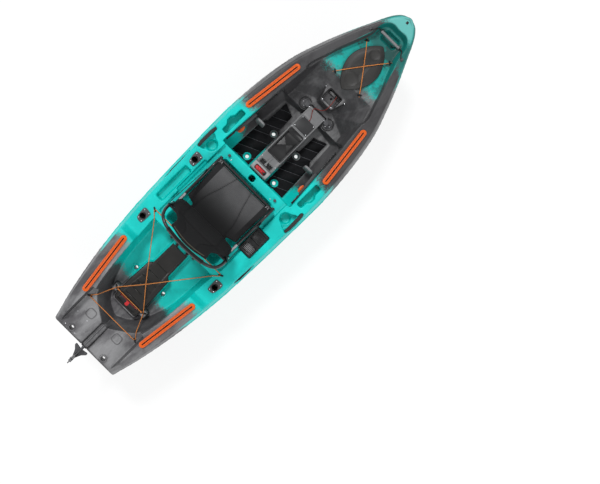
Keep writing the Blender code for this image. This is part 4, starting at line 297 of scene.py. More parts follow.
@dataclass(frozen=True)
class HullFinish(Finish):
    """Marbled polyethylene: grey stern, bright waist, grey foredeck and a dark bright bow, airbrushed together."""

    light: Colour = (0.20, 0.20, 0.203)
    stern: Colour = (0.255, 0.255, 0.26)
    # Pale grey used only as painted reflection and painted highlight on the hull.
    mist: Colour = (0.42, 0.42, 0.43)
    dark: Colour = (0.032, 0.031, 0.033)
    bow: Colour = (0.0, 0.27, 0.24)
    # Deep teal for the bow's dark patches, also used there as painted shade.
    deep: Colour = (0.010, 0.060, 0.055)
    # Pale teal used as a painted highlight on the bow tip's flat top.
    tip: Colour = (0.105, 0.40, 0.375)

    def inset(self, along: Signal, across: Signal) -> Signal:
        """How far inside the boat's outline a point lies, seen from above."""
        half = BEAM_POINTS[0][1] * HALF_BEAM - across.absolute()
        for (start, low), (end, high) in zip(BEAM_POINTS, BEAM_POINTS[1:]):
            share = along.between(start * HALF_LENGTH, end * HALF_LENGTH, "LINEAR")
            half = half + share * ((high - low) * HALF_BEAM)
        return half

    def dress(self, paint: Paint) -> None:
        """Feeds the shader."""
        place = paint.place()
        along, across, up = paint.split(place)
        rise = paint.split(paint.facing())[2]
        flat = rise.between(0.35, 0.75)
        inset = self.inset(along, across)
        well = (inset + along * 0.10).between(0.203, 0.218)
        # Mask of painted shade: the steep walls just inside the deck's edge, picked by the way they face.
        slope = rise.between(0.02, 0.10) * (1 - rise.between(0.80, 0.97)) * inset.between(0.04, 0.055)
        speck = paint.noise(place, 150.0, 3.0, 0.7)
        mottle = paint.noise(place, 6.0, 6.0, 0.65)
        drift = (paint.noise(place, 2.4, 4.0, 0.55) - 0.5) * 0.22 + (paint.noise(place, 13.0, 6.0, 0.7) - 0.5) * 0.12
        at = along + drift + (speck - 0.5) * 0.16
        side = 1 - flat
        stern = 1 - (at - (up - 0.19) * flat * 0.70).between(-1.10, -0.93)
        fore = (at + (1 - up.between(0.14, 0.30)) * flat * 0.14 - side * 0.045).between(0.29, 0.46)
        rim = (1 - well) * flat
        port = across.between(-0.02, 0.02) * up.between(0.36, 0.40)
        shift = well * flat * 0.20 - rim * (across * 0.6 + 0.18) + side * ((up - 0.30) * 0.6 - port * 0.24)
        bow = (at + shift).between(1.17, 1.29)
        grey = stern.most(fore * (1 - bow))
        smoke = paint.noise(paint.stretched(place, (1.0, 2.2, 2.6)), 3.1, 5.0, 0.6)
        streak = paint.noise(paint.stretched(place, (2.5, 6.0, 6.0)), 8.0, 6.0, 0.7).between(0.45, 0.75)
        # Painted reflection: the lower sides are lightened in clouds towards the pale sheen grey, standing in for light
        # thrown up from below.
        painted_side_sheen = smoke.between(0.46, 0.86) * side * (1 - up.between(0.22, 0.36)) * (stern * 0.5 + 0.35)
        soot = smoke.between(0.37, 0.60) * flat + smoke.between(0.26, 0.90) * side
        pale = paint.blend(stern, self.light, self.stern)
        dark = paint.blend(stern, self.dark, tuple(c * 2.6 for c in self.dark))
        grey_colour = paint.blend(soot * 0.8 + streak * 0.2, dark, pale)
        grey_colour = paint.blend(painted_side_sheen, grey_colour, self.mist)
        aft_rim = stern * flat * (1 - inset.between(0.060, 0.075)) * 0.35
        shade = (fore * rim * 0.86).most(aft_rim) * inset.between(0.014, 0.030)
        # Painted shade: the shade bands and the steep walls are darkened towards the dark grey.
        grey_colour = paint.blend(shade.most(slope * 0.68), grey_colour, self.dark)
        # Painted highlight: a pale strip along the foredeck's outer edge, in the pale sheen grey.
        grey_colour = paint.blend(fore * flat * (1 - inset.between(0.014, 0.024)) * 0.5, grey_colour, self.mist)
        bright = paint.blend(mottle.between(0.25, 0.8), self.shade(-0.14), self.shade(0.10))
        cloud = paint.noise(place, 8.5, 4.0, 0.6)
        patch = (cloud.between(0.46, 0.56) * well * flat).most(mottle.between(0.58, 0.68) * 0.6)
        patch = patch * (1 - along.between(1.42, 1.47))
        shadow = at.between(1.27, 1.34) * (1 - at.between(1.42, 1.50)) * flat
        # Painted highlight: the bow tip's flat top is lightened towards the pale tip teal.
        bow_colour = paint.blend(along.between(1.43, 1.49) * inset.between(0.016, 0.032) * flat, self.bow, self.tip)
        # Darker along the bow's top outer edge: partly its own darker speckled tone, partly painted shade on the flared
        # sides.
        brink_tone_and_shade = (1 - inset.between(0.010, 0.024)) * up.between(0.38, 0.42) * 0.7
        # The bow darkens towards the deep teal: in cloudy patches on the well floors, as painted shade in the shadow
        # band and on the steep walls, and along the brink.
        bow_colour = paint.blend(patch.most(shadow * 0.75).most(brink_tone_and_shade).most(slope * 0.5), bow_colour, self.deep)
        teal = paint.blend(at.between(0.85, 1.20), bright, bow_colour)
        colour = paint.blend(grey.between(0.22, 0.78), teal, grey_colour)
        colour = paint.blend(speck.between(0.58, 0.85) * 0.16, colour, (0.26, 0.29, 0.29))
        pebble = paint.cells(place, 420.0)
        paint.set(Base_Color=colour, Roughness=0.36 + mottle * 0.14 + speck * 0.05)
        paint.bump(pebble * 0.6 + speck * 0.4, 0.00022)


@dataclass(frozen=True)
class FoamFinish(Finish):
    """Closed-cell foam or rubber: fine pits and a dusty sheen."""

    def dress(self, paint: Paint) -> None:
        """Feeds the shader."""
        place = paint.place()
        pits = paint.cells(place, 900.0)
        cloud = paint.noise(place, 30.0, 5.0, 0.7)
        dust = cloud.between(0.5, 0.9) * 0.5
        paint.set(Base_Color=paint.blend(dust, self.colour, self.shade(1.1)), Roughness=self.roughness - cloud * 0.08)
        paint.bump(pits + cloud * 0.4, 0.00035)


@dataclass(frozen=True)
class WeaveFinish(Finish):
    """Cloth woven at a pitch, with fuzz, faded patches and a raised grid; thread sets the pitch in metres.

    A strap's weave follows its own map, and a panel's the boat's axes.
    """

    thread: float = 0.0016
    depth: float = 0.0004
    fade: Colour = (0.09, 0.09, 0.092)
    fade_start: float = -0.33
    fade_end: float = -0.08
    mapped: bool = False

    def dress(self, paint: Paint) -> None:
        """Feeds the shader."""
        place = paint.place()
        along, across, up = paint.split(place)
        run = up - along
        if self.mapped:
            across, run, _ = paint.split(paint.woven())
        turn = 2 * math.pi / self.thread
        warp, weft = (across * turn).sine(), (run * turn).sine()
        weave = (warp * weft).absolute() * 0.6 + (warp + weft).absolute() * 0.2
        cloud = paint.noise(place, 9.0, 5.0, 0.6)
        fuzz = paint.noise(place, 600.0, 2.0)
        faded = along.between(self.fade_start, self.fade_end) * (0.55 + cloud * 0.7)
        colour = paint.blend(faded, self.colour, self.fade)
        colour = paint.blend(weave * 0.55, colour, tuple(c * 0.35 for c in self.colour))
        paint.set(Base_Color=colour, Roughness=self.roughness - weave * 0.1 + fuzz * 0.06)
        paint.bump(weave + fuzz * 0.3, self.depth)


@dataclass(frozen=True)
class BraidFinish(Finish):
    """A braided cord: crossed strands with a darker tracer; the map runs round the cord and along it."""

    strands: float = 8.0
    lay: float = 0.009
    tracer: Colour = (0.10, 0.03, 0.01)

    def dress(self, paint: Paint) -> None:
        """Feeds the shader."""
        around, run, _ = paint.split(paint.woven())
        left = ((around * self.strands + run / self.lay) * (2 * math.pi)).sine()
        right = ((around * self.strands - run / self.lay) * (2 * math.pi)).sine()
        strand = left.most(right)
        spots = (left * right).between(0.35, 0.8)
        cloud = paint.noise(paint.place(), 22.0, 4.0)
        colour = paint.blend(cloud, self.shade(-0.2), self.shade(0.2))
        colour = paint.blend(spots * 0.6, colour, self.tracer)
        paint.set(Base_Color=colour, Roughness=self.roughness - strand * 0.08)
        paint.bump(strand, 0.0005)


HULL_TEAL = HullFinish("rotomoulded_hull", "hull_plastic", (0.0, 0.53, 0.485), shine=0.25)
CHARCOAL = Finish("charcoal_plastic", "charcoal_plastic", (0.018, 0.018, 0.019), 0.45, blotch=0.35)
COVER_GREY = Finish("cover_charcoal", "charcoal_plastic", (0.020, 0.020, 0.021), 0.42, blotch=0.3)
LID_GREY = Finish("hatch_rubber", "charcoal_plastic", (0.019, 0.018, 0.017), 0.5, blotch=0.4, grain_depth=0.0003)
BLACK = Finish("black_nylon", "black_plastic", (0.0065, 0.0065, 0.007), 0.40, blotch=0.3)
LID_BLACK = Finish("battery_lid_black", "black_plastic", (0.009, 0.008, 0.007), 0.30, blotch=0.75,
                   blotch_scale=11.0)
CONSOLE_GREY = Finish("console_grey", "grey_plastic", (0.145, 0.145, 0.148), 0.40, blotch=0.25)
BLOCK_GREY = Finish("block_grey", "grey_plastic", (0.27, 0.27, 0.275), 0.40, blotch=0.15)
PEDAL_GREY = Finish("pedal_grey", "grey_plastic", (0.20, 0.20, 0.205), 0.5)
TRACK_ORANGE = Finish("track_orange", "orange_rail", (0.62, 0.092, 0.004), 0.45, blotch=0.1, shine=0.25)
TRIGGER_ORANGE = Finish("trigger_orange", "orange_plastic", (0.62, 0.10, 0.02), 0.45)
RED = Finish("red_rocker", "red_plastic", (0.45, 0.008, 0.012), 0.38, coat=0.3)
RUBBER = FoamFinish("gunwale_rubber", "rubber", (0.022, 0.021, 0.021), 0.75)
FOAM = FoamFinish("deck_foam", "foam", (0.0055, 0.0055, 0.0065), 0.92, shine=0.2)
GROOVE_GREY = FoamFinish("foam_core", "foam", (0.10, 0.10, 0.11), 0.9, shine=0.2)
TUBE_BLACK = Finish("powder_coated_tube", "black_tube", (0.009, 0.009, 0.010), 0.34, coat=0.1, grain_depth=0.00006)
WHITE_PAINT = Finish("motor_paint", "pale_paint", (0.74, 0.75, 0.77), 0.32, coat=0.5, blotch=0.04,
                     grain_depth=0.00004)
STEEL = Finish("stainless_steel", "steel", (0.55, 0.55, 0.57), 0.28, metallic=1.0, blotch=0.1, grain_depth=0.00003,
               shine=0.5)
BUCKLE_GREY = Finish("buckle_grey", "steel", (0.16, 0.16, 0.165), 0.35, metallic=0.6)
PIPING = Finish("olive_piping", "fabric", (0.075, 0.068, 0.045), 0.75, grain_scale=2500.0)
MESH_CLOTH = WeaveFinish("seat_mesh", "fabric", (0.0085, 0.0085, 0.009), 0.8, fade=(0.105, 0.105, 0.108),
                         shine=0.2)
SLEEVE_CLOTH = WeaveFinish("sleeve_cloth", "fabric", (0.075, 0.075, 0.077), 0.85, thread=0.0014,
                           fade=(0.075, 0.075, 0.077))
SIDE_CLOTH = WeaveFinish("bolster_cloth", "fabric", (0.0055, 0.0055, 0.006), 0.8, thread=0.0011,
                         fade=(0.012, 0.012, 0.013), shine=0.22)
WEBBING = WeaveFinish("strap_webbing", "webbing", (0.010, 0.010, 0.011), 0.8, thread=0.0026, depth=0.0007,
                      fade=(0.02, 0.02, 0.02), mapped=True)
BUNGEE = BraidFinish("bungee_braid", "bungee", (0.62, 0.22, 0.055), 0.8)
HANDLE_CORD = BraidFinish("black_braid", "black_plastic", (0.014, 0.014, 0.015), 0.75, tracer=(0.05, 0.05, 0.05))
LEAD = Finish("lead_rubber", "red_rubber", (0.16, 0.018, 0.012), 0.55)


# Mesh tools

def path_value(points: Sequence[tuple[float, float]]) -> Callable[[float], float]:
    """Returns a smooth function through (x, value) points that never overshoots them.

    Args:
        points: places along x, rising, with their values.

    Returns:
        The function of x.
    """
    xs, vs = [p[0] for p in points], [p[1] for p in points]
    slopes = [(vs[i + 1] - vs[i]) / (xs[i + 1] - xs[i]) for i in range(len(xs) - 1)]
    tangents = [slopes[0]]
    for left, right in zip(slopes, slopes[1:]):
        tangents.append(0.0 if left * right <= 0 else 2 * left * right / (left + right))
    tangents.append(slopes[-1])

    def value(x: float) -> float:
        """The value at x."""
        if x <= xs[0]:
            return vs[0]
        if x >= xs[-1]:
            return vs[-1]
        i = max(k for k in range(len(xs) - 1) if xs[k] <= x)
        width = xs[i + 1] - xs[i]
        t = (x - xs[i]) / width
        return ((2 * t**3 - 3 * t**2 + 1) * vs[i] + (t**3 - 2 * t**2 + t) * width * tangents[i]
                + (3 * t**2 - 2 * t**3) * vs[i + 1] + (t**3 - t**2) * width * tangents[i + 1])
    return value


def smoothstep(t: float) -> float:
    """Rises smoothly from 0 to 1 as t does."""
    t = min(max(t, 0.0), 1.0)
    return t * t * (3 - 2 * t)


def between(a: Outline, b: Outline, t: float) -> tuple[float, ...]:
    """The point a share t of the way from a to b."""
    return tuple(p + (q - p) * t for p, q in zip(a, b))


def smooth_path(points: Sequence, steps: int, cyclic: bool = False) -> list[Vector]:
    """Samples a curve through points.

    Args:
        points: the points, of two or three numbers.
        steps: samples in each span.
        cyclic: whether the last point joins the first.

    Returns:
        The samples.
    """
    points = [Vector(p) for p in points]
    count = len(points)
    result = []
    for i in range(count if cyclic else count - 1):
        if cyclic:
            p0, p1, p2, p3 = (points[(i + k) % count] for k in (-1, 0, 1, 2))
        else:
            p1, p2 = points[i], points[i + 1]
            p0 = points[i - 1] if i > 0 else p1 * 2 - p2
            p3 = points[i + 2] if i + 2 < count else p2 * 2 - p1
        for k in range(steps):
            t = k / steps
            result.append(0.5 * (2 * p1 + (p2 - p0) * t + (2 * p0 - 5 * p1 + 4 * p2 - p3) * t * t
                                 + (3 * p1 - p0 - 3 * p2 + p3) * t**3))
    return result if cyclic else result + [points[-1]]


def mirrored(half: Outline) -> list[tuple[float, float]]:
    """Closes an outline given on the port side, from its aft point on the centre line to its fore one."""
    return list(half) + [(x, -y) for x, y in reversed(half) if abs(y) > 1e-9]


def rounded_box(x0: float, x1: float, y0: float, y1: float, radius: float, steps: int = 6) -> list:
    """A rectangle with round corners, anticlockwise."""
    corners = ((x1 - radius, y1 - radius, 0), (x0 + radius, y1 - radius, 90),
               (x0 + radius, y0 + radius, 180), (x1 - radius, y0 + radius, 270))
    return [(cx + radius * math.cos(math.radians(start + 90 * k / steps)),
             cy + radius * math.sin(math.radians(start + 90 * k / steps)))
            for cx, cy, start in corners for k in range(steps + 1)]


def circle(cx: float, cy: float, radius: float, steps: int = 40) -> list[tuple[float, float]]:
    """A circle's outline."""
    return [(cx + radius * math.cos(2 * math.pi * k / steps), cy + radius * math.sin(2 * math.pi * k / steps))
            for k in range(steps)]


def stadium(start: Outline, end: Outline, half: float, steps: int = 16) -> list[tuple[float, float]]:
    """A slot outline with round ends between two points."""
    direction = math.atan2(end[1] - start[1], end[0] - start[0])
    return [(centre[0] + half * math.cos(direction + math.radians(turn + 180 * k / steps)),
             centre[1] + half * math.sin(direction + math.radians(turn + 180 * k / steps)))
            for centre, turn in ((end, -90), (start, 90)) for k in range(steps + 1)]


def lens(x0: float, x1: float, half: float, steps: int = 40) -> list[tuple[float, float]]:
    """A pointed oval made of two equal arcs, with blunted tips."""
    port = [(x0 + (x1 - x0) * k / steps, half * math.sin(math.pi * k / steps) ** 0.72) for k in range(1, steps)]
    return mirrored([(x0, 0.0)] + port + [(x1, 0.0)])


def blended(half: Outline, steps: int = 8) -> list[tuple[float, float]]:
    """A smooth mirrored outline through the points of its port half."""
    return mirrored([tuple(p) for p in smooth_path(half, steps)])


def made(name: str, mesh: bpy.types.Mesh, finish: Finish | None = None) -> Obj:
    """Links a mesh to the scene as an object at the origin."""
    piece = bpy.data.objects.new(name, mesh)
    bpy.context.scene.collection.objects.link(piece)
    if finish:
        mesh.materials.clear()
        mesh.materials.append(finish.material())
    return piece


def solid(name: str, vertices: Sequence, faces: Sequence, finish: Finish, crease: float = 35.0) -> Obj:
    """A closed mesh with outward faces.

    Args:
        name: the piece's name.
        vertices: its points.
        faces: its faces, as point numbers.
        finish: its surface.
        crease: edges sharper than this, in degrees, stay sharp.

    Returns:
        The piece.
    """
    mesh = bpy.data.meshes.new(name)
    mesh.from_pydata([tuple(v) for v in vertices], [], faces)
    work = bmesh.new()
    work.from_mesh(mesh)
    bmesh.ops.recalc_face_normals(work, faces=work.faces)
    work.to_mesh(mesh)
    work.free()
    shade(mesh, crease)
    return made(name, mesh, finish)


def shade(mesh: bpy.types.Mesh, crease: float) -> None:
    """Shades a mesh smooth with sharp edges above an angle in degrees."""
    mesh.shade_smooth()
    mesh.set_sharp_from_angle(angle=math.radians(crease))


def loft(name: str, rings: Sequence[Sequence[Vector]], finish: Finish, crease: float = 35.0,
         closed: bool = False) -> Obj:
    """Skins rings of equal length into one body, with a map that runs round and along it.

    Args:
        name: the piece's name.
        rings: the rings of points.
        finish: its surface.
        crease: the sharp angle in degrees.
        closed: whether the last ring joins the first.

    Returns:
        The piece.
    """
    count, total = len(rings[0]), len(rings)
    faces = [] if closed else [tuple(range(count)), tuple(range((total - 1) * count, total * count))]
    for r in range(total if closed else total - 1):
        for k in range(count):
            a, b = r * count + k, r * count + (k + 1) % count
            c, d = ((r + 1) % total) * count + (k + 1) % count, ((r + 1) % total) * count + k
            faces.append((a, b, c, d))
    piece = solid(name, [v for ring in rings for v in ring], faces, finish, crease)
    runs = [0.0]
    for before, after in zip(rings, rings[1:]):
        runs.append(runs[-1] + (Vector(after[0]) - Vector(before[0])).length)
    layer = piece.data.uv_layers.new(name="cloth")
    for polygon in piece.data.polygons:
        owned = [piece.data.loops[i].vertex_index for i in polygon.loop_indices]
        wraps = max(v % count for v in owned) - min(v % count for v in owned) > count / 2
        last = max(v // count for v in owned) - min(v // count for v in owned) > 1
        for i, v in zip(polygon.loop_indices, owned):
            around = v % count + (count if wraps and v % count < count / 2 else 0)
            run = runs[v // count] if not (last and v // count == 0) else runs[-1] + runs[1]
            layer.data[i].uv = (around / count, run)
    return piece


def prism(name: str, outline: Outline, low: float, high: float, finish: Finish, plane: tuple = PLAN,
          top: Outline | None = None) -> Obj:
    """Extrudes an outline along a plane's third axis.

    Args:
        name: the piece's name.
        outline: points in the plane.
        low: where it starts along the third axis.
        high: where it ends.
        finish: its surface.
        plane: three axes.
        top: another outline for the high end.

    Returns:
        The piece.
    """
    u, v, w = plane
    return loft(name, [[u * a + v * b + w * low for a, b in outline],
                       [u * a + v * b + w * high for a, b in (top or outline)]], finish)


def turned(name: str, profile: Outline, origin: Vector, axis: Vector, finish: Finish, steps: int = 40,
           bored: bool = False, crease: float = 35.0) -> Obj:
    """Revolves a profile about an axis.

    Args:
        name: the piece's name.
        profile: (radius, height) points.
        origin: where height is zero.
        axis: the direction of the axis.
        finish: its surface.
        steps: sides round the axis.
        bored: whether the last point joins the first.
        crease: the sharp angle in degrees.

    Returns:
        The piece.
    """
    axis = Vector(axis).normalized()
    side = axis.orthogonal().normalized()
    other = axis.cross(side)
    vertices, rows = [], []
    for radius, height in profile:
        centre = Vector(origin) + axis * height
        if radius < 1e-7:
            rows.append([len(vertices)] * steps)
            vertices.append(centre)
            continue
        rows.append(list(range(len(vertices), len(vertices) + steps)))
        vertices += [centre + (side * math.cos(a) + other * math.sin(a)) * radius
                     for a in (2 * math.pi * k / steps for k in range(steps))]
    faces = []
    for lower, upper in list(zip(rows, rows[1:])) + ([(rows[-1], rows[0])] if bored else []):
        for k in range(steps):
            n = (k + 1) % steps
            faces.append(tuple(dict.fromkeys((lower[k], lower[n], upper[n], upper[k]))))
    if not bored:
        faces += [tuple(row) for row in (rows[0], rows[-1]) if row[0] != row[1]]
    return solid(name, vertices, [f for f in faces if len(f) > 2], finish, crease)


def rod(name: str, start: Sequence, end: Sequence, radius: float, finish: Finish, steps: int = 32,
        edge: float = 0.0) -> Obj:
    """A straight round bar, with rounded ends of that edge radius."""
    start, end = Vector(start), Vector(end)
    length = (end - start).length
    if edge:
        quarter = [math.pi / 2 * k / 4 for k in range(5)]
        profile = [(radius - edge + edge * math.sin(a), edge - edge * math.cos(a)) for a in quarter]
        profile += [(r, length - h) for r, h in reversed(profile)]
    else:
        profile = ((radius, 0.0), (radius, length))
    return turned(name, profile, start, end - start, finish, steps)


def frames_along(points: Sequence[Vector], cyclic: bool = False) -> list[tuple[Vector, Vector, Vector]]:
    """Returns a point, a side and a second side for each point of a path, without twisting."""
    count = len(points)
    side = (points[1] - points[0]).orthogonal()
    result = []
    for i, point in enumerate(points):
        if cyclic:
            tangent = (points[(i + 1) % count] - points[i - 1]).normalized()
        else:
            tangent = (points[min(i + 1, count - 1)] - points[max(i - 1, 0)]).normalized()
        side = (side - tangent * side.dot(tangent)).normalized()
        result.append((point, side.copy(), tangent.cross(side)))
    if cyclic:
        first, last = result[0][1], result[-1][1]
        tangent = (points[0] - points[-2]).normalized()
        last = (last - tangent * last.dot(tangent)).normalized()
        slip = math.atan2(last.cross(first).dot(tangent), last.dot(first))
        result = [(p, a * math.cos(slip * i / count) + b * math.sin(slip * i / count),
                   b * math.cos(slip * i / count) - a * math.sin(slip * i / count))
                  for i, (p, a, b) in enumerate(result)]
    return result


def tube(name: str, points: Sequence, radius: float, finish: Finish, sides: int = 20, cyclic: bool = False) -> Obj:
    """A bent round bar or cord along its points."""
    rings = [[p + (a * math.cos(t) + b * math.sin(t)) * radius for t in (2 * math.pi * k / sides for k in range(sides))]
             for p, a, b in frames_along([Vector(p) for p in points], cyclic)]
    return loft(name, rings, finish, 50.0, cyclic)


def flattened(piece: Obj) -> Obj:
    """Makes a piece's modifiers part of its mesh and removes them."""
    bpy.context.view_layer.update()
    mesh = bpy.data.meshes.new_from_object(piece.evaluated_get(bpy.context.evaluated_depsgraph_get()))
    piece.modifiers.clear()
    piece.data = mesh
    return piece


def joined(piece: Obj, tools: Sequence[Obj], how: Joining, crease: float = 35.0) -> Obj:
    """Carves tools out of a piece or fuses them to it, and deletes them."""
    for tool in tools:
        modifier = piece.modifiers.new(how.name, "BOOLEAN")
        modifier.operation = how.value
        modifier.solver = "MANIFOLD"
        modifier.object = tool
        tool.hide_render = True
    flattened(piece)
    for tool in tools:
        bpy.data.objects.remove(tool, do_unlink=True)
    shade(piece.data, crease)
    return piece


def softened(piece: Obj, width: float, segments: int = 3, angle: float = 32.0) -> Obj:
    """Rounds a piece's sharp edges."""
    modifier = piece.modifiers.new("Edges", "BEVEL")
    modifier.width = width
    modifier.segments = segments
    modifier.limit_method = "ANGLE"
    modifier.angle_limit = math.radians(angle)
    modifier.harden_normals = True
    flattened(piece)
    shade(piece.data, 50.0)
    return piece


def gathered(name: str, pieces: Sequence[Obj]) -> Obj:
    """Puts several pieces into one object, each with its own finish."""
    work = bmesh.new()
    layer = work.loops.layers.uv.new("cloth")
    materials = []
    for piece in pieces:
        mesh = piece.data
        slots = []
        for material in mesh.materials:
            if material not in materials:
                materials.append(material)
            slots.append(materials.index(material))
        before = len(work.faces)
        work.from_mesh(mesh)
        work.faces.ensure_lookup_table()
        for face in work.faces[before:]:
            face.material_index = slots[min(face.material_index, len(slots) - 1)]
    mesh = bpy.data.meshes.new(name)
    work.to_mesh(mesh)
    work.free()
    for piece in pieces:
        bpy.data.objects.remove(piece, do_unlink=True)
    for material in materials:
        mesh.materials.append(material)
    result = bpy.data.objects.new(name, mesh)
    bpy.context.scene.collection.objects.link(result)
    return result


def copied(node: str, name: str, finish: Finish, width: float = 0.0012, segments: int = 2,
           crease: float = 35.0) -> Obj:
    """Copies a frame node with its triangles merged into flats and its edges rounded.

    Args:
        node: the frame's node.
        name: the new piece's name.
        finish: its surface.
        width: how wide the rounding is.
        segments: its steps.
        crease: the angle from which an edge is rounded.

    Returns:
        The piece.
    """
    work = bmesh.new()
    work.from_mesh(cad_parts[node].data)
    bmesh.ops.remove_doubles(work, verts=work.verts, dist=2e-6)
    bmesh.ops.dissolve_limit(work, angle_limit=math.radians(0.6), verts=work.verts, edges=work.edges)
    mesh = bpy.data.meshes.new(name)
    work.to_mesh(mesh)
    work.free()
    shade(mesh, crease)
    return softened(made(name, mesh, finish), width, segments, crease)


def mount(piece: Obj, body: str, finish: Finish, *nodes: str) -> Obj:
    """Rides a finished piece on a body and the frame nodes it stands for, and reports it."""
    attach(piece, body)
    if nodes:
        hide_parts(*nodes)
    LOG.info("%s: %d faces on %s", piece.name, len(piece.data.polygons), body)
    return piece


# Repeats

class Repeater:
    """Sets copies of one small template at many places, through a Geometry Nodes tree."""

    def __init__(self, template: Obj, finish: Finish) -> None:
        """Builds the tree for a template and its finish."""
        self.template = template
        self.finish = finish
        tree = bpy.data.node_groups.new(f"repeat_{template.name}", "GeometryNodeTree")
        tree.is_modifier = True
        self.tree = tree
        face = tree.interface
        face.new_socket("Places", in_out="INPUT", socket_type="NodeSocketGeometry")
        self.template_socket = face.new_socket("Template", in_out="INPUT", socket_type="NodeSocketObject").identifier
        self.size_socket = face.new_socket("Size", in_out="INPUT", socket_type="NodeSocketFloat").identifier
        face.new_socket("Copies", in_out="OUTPUT", socket_type="NodeSocketGeometry")
        entry, leave = tree.nodes.new("NodeGroupInput"), tree.nodes.new("NodeGroupOutput")
        points = tree.nodes.new("GeometryNodeMeshToPoints")
        read = tree.nodes.new("GeometryNodeInputNamedAttribute")
        read.data_type = "FLOAT_VECTOR"
        read.inputs["Name"].default_value = "turn"
        turn = tree.nodes.new("FunctionNodeEulerToRotation")
        info = tree.nodes.new("GeometryNodeObjectInfo")
        place = tree.nodes.new("GeometryNodeInstanceOnPoints")
        real = tree.nodes.new("GeometryNodeRealizeInstances")
        paint = tree.nodes.new("GeometryNodeSetMaterial")
        paint.inputs["Material"].default_value = finish.material()
        link = tree.links.new
        link(entry.outputs["Places"], points.inputs["Mesh"])
        link(points.outputs[0], place.inputs["Points"])
        link(entry.outputs["Template"], info.inputs["Object"])
        link(info.outputs["Geometry"], place.inputs["Instance"])
        link(read.outputs[0], turn.inputs[0])
        link(turn.outputs[0], place.inputs["Rotation"])
        link(entry.outputs["Size"], place.inputs["Scale"])
        link(place.outputs[0], real.inputs[0])
        link(real.outputs[0], paint.inputs["Geometry"])
        link(paint.outputs[0], leave.inputs[0])

    def spread(self, name: str, places: Sequence[tuple[Vector, Vector]], size: float = 1.0) -> Obj:
        """Sets the copies.

        Args:
            name: the new piece's name.
            places: each copy's point and the direction that its own Z takes, or its three turns.
            size: the scale of every copy.

        Returns:
            One plain mesh of all the copies.
        """
        mesh = bpy.data.meshes.new(name)
        mesh.from_pydata([tuple(p) for p, _ in places], [], [])
        turns = mesh.attributes.new("turn", "FLOAT_VECTOR", "POINT")
        for item, (_, turn) in zip(turns.data, places):
            item.vector = tuple(turn)
        piece = made(name, mesh)
        modifier = piece.modifiers.new("Copies", "NODES")
        modifier.node_group = self.tree
        modifier[self.template_socket] = self.template
        modifier[self.size_socket] = size
        flattened(piece)
        shade(piece.data, 40.0)
        return piece


def upright(direction: Vector) -> Vector:
    """The turns that carry Z to a direction."""
    return Vector(Z_AXIS.rotation_difference(Vector(direction)).to_euler())


def template(piece: Obj) -> Obj:
    """Hides a piece that only serves as a pattern for copies."""
    piece.hide_render = True
    return piece


class Fasteners:
    """Patterns of the small hardware that repeats over the boat."""

    def __init__(self) -> None:
        """Builds the patterns at the origin, with Z out of the surface."""
        head = turned("screw_pattern", ((0.0, -0.001), (0.0042, -0.001), (0.0044, 0.0002), (0.0036, 0.0014),
                                        (0.002, 0.002), (0.0, 0.0021)), Vector(), Z_AXIS, STEEL, 14)
        cross = [prism("slot", rounded_box(-0.0022, 0.0022, -0.0004, 0.0004, 0.0002, 1), 0.0012, 0.004, STEEL),
                 prism("slot", rounded_box(-0.0004, 0.0004, -0.0022, 0.0022, 0.0002, 1), 0.0012, 0.004, STEEL)]
        self.screw = Repeater(template(joined(head, cross, Joining.CARVE)), STEEL)
        dark = turned("bolt_pattern", ((0.0, -0.001), (0.0046, -0.001), (0.0048, 0.0006), (0.0038, 0.0012),
                                       (0.0022, 0.0012), (0.0018, 0.0002), (0.0, 0.0002)), Vector(), Z_AXIS, BLACK, 14)
        self.bolt = Repeater(template(dark), BLACK)


def forget(pattern: Repeater) -> None:
    """Deletes a repeater's template."""
    bpy.data.objects.remove(pattern.template, do_unlink=True)


# Hull lines, as shares of the half length and half beam

BEAM_LINE = path_value(BEAM_POINTS)
CREASE_LINE = path_value(((-1.0, 0.312), (-0.7, 0.266), (-0.4, 0.227), (-0.05, 0.213), (0.33, 0.263),
                          (0.57, 0.303), (0.76, 0.347), (0.87, 0.378), (1.0, 0.415)))
KEEL_LINE = path_value(((-1.0, 0.15), (-0.93, 0.135), (-0.85, 0.10), (-0.67, 0.066), (-0.51, 0.03), (-0.4, 0.01),
                        (-0.2625, 0.0), (0.25, 0.0), (0.37, 0.008), (0.49, 0.029), (0.61, 0.054), (0.67, 0.083),
                        (0.76, 0.125), (0.82, 0.145), (1.0, 0.2)))
KEEL_HALF_LINE = path_value(((-1.0, 0.12), (-0.8, 0.19), (-0.4, 0.28), (0.0, 0.30), (0.3, 0.26), (0.5, 0.18),
                             (0.66, 0.10), (0.8, 0.045), (1.0, 0.008)))
CHINE_HALF_LINE = path_value(((-1.0, 0.21), (-0.8, 0.285), (-0.4, 0.372), (0.0, 0.40), (0.3, 0.37), (0.5, 0.285),
                              (0.66, 0.19), (0.8, 0.105), (0.9, 0.055), (1.0, 0.014)))
CHINE_RISE_LINE = path_value(((-1.0, 0.03), (0.0, 0.055), (0.66, 0.045), (1.0, 0.05)))
TUMBLE_LINE = path_value(((-1.0, 0.018), (-0.5, 0.03), (0.5, 0.03), (0.85, 0.018), (1.0, 0.003)))
STEM_LINE = path_value(((0.03, -0.22), (0.047, -0.175), (0.081, -0.132), (0.141, -0.098), (0.21, -0.068),
                        (0.281, -0.046), (0.375, -0.015), (0.415, 0.0), (0.458, -0.034)))


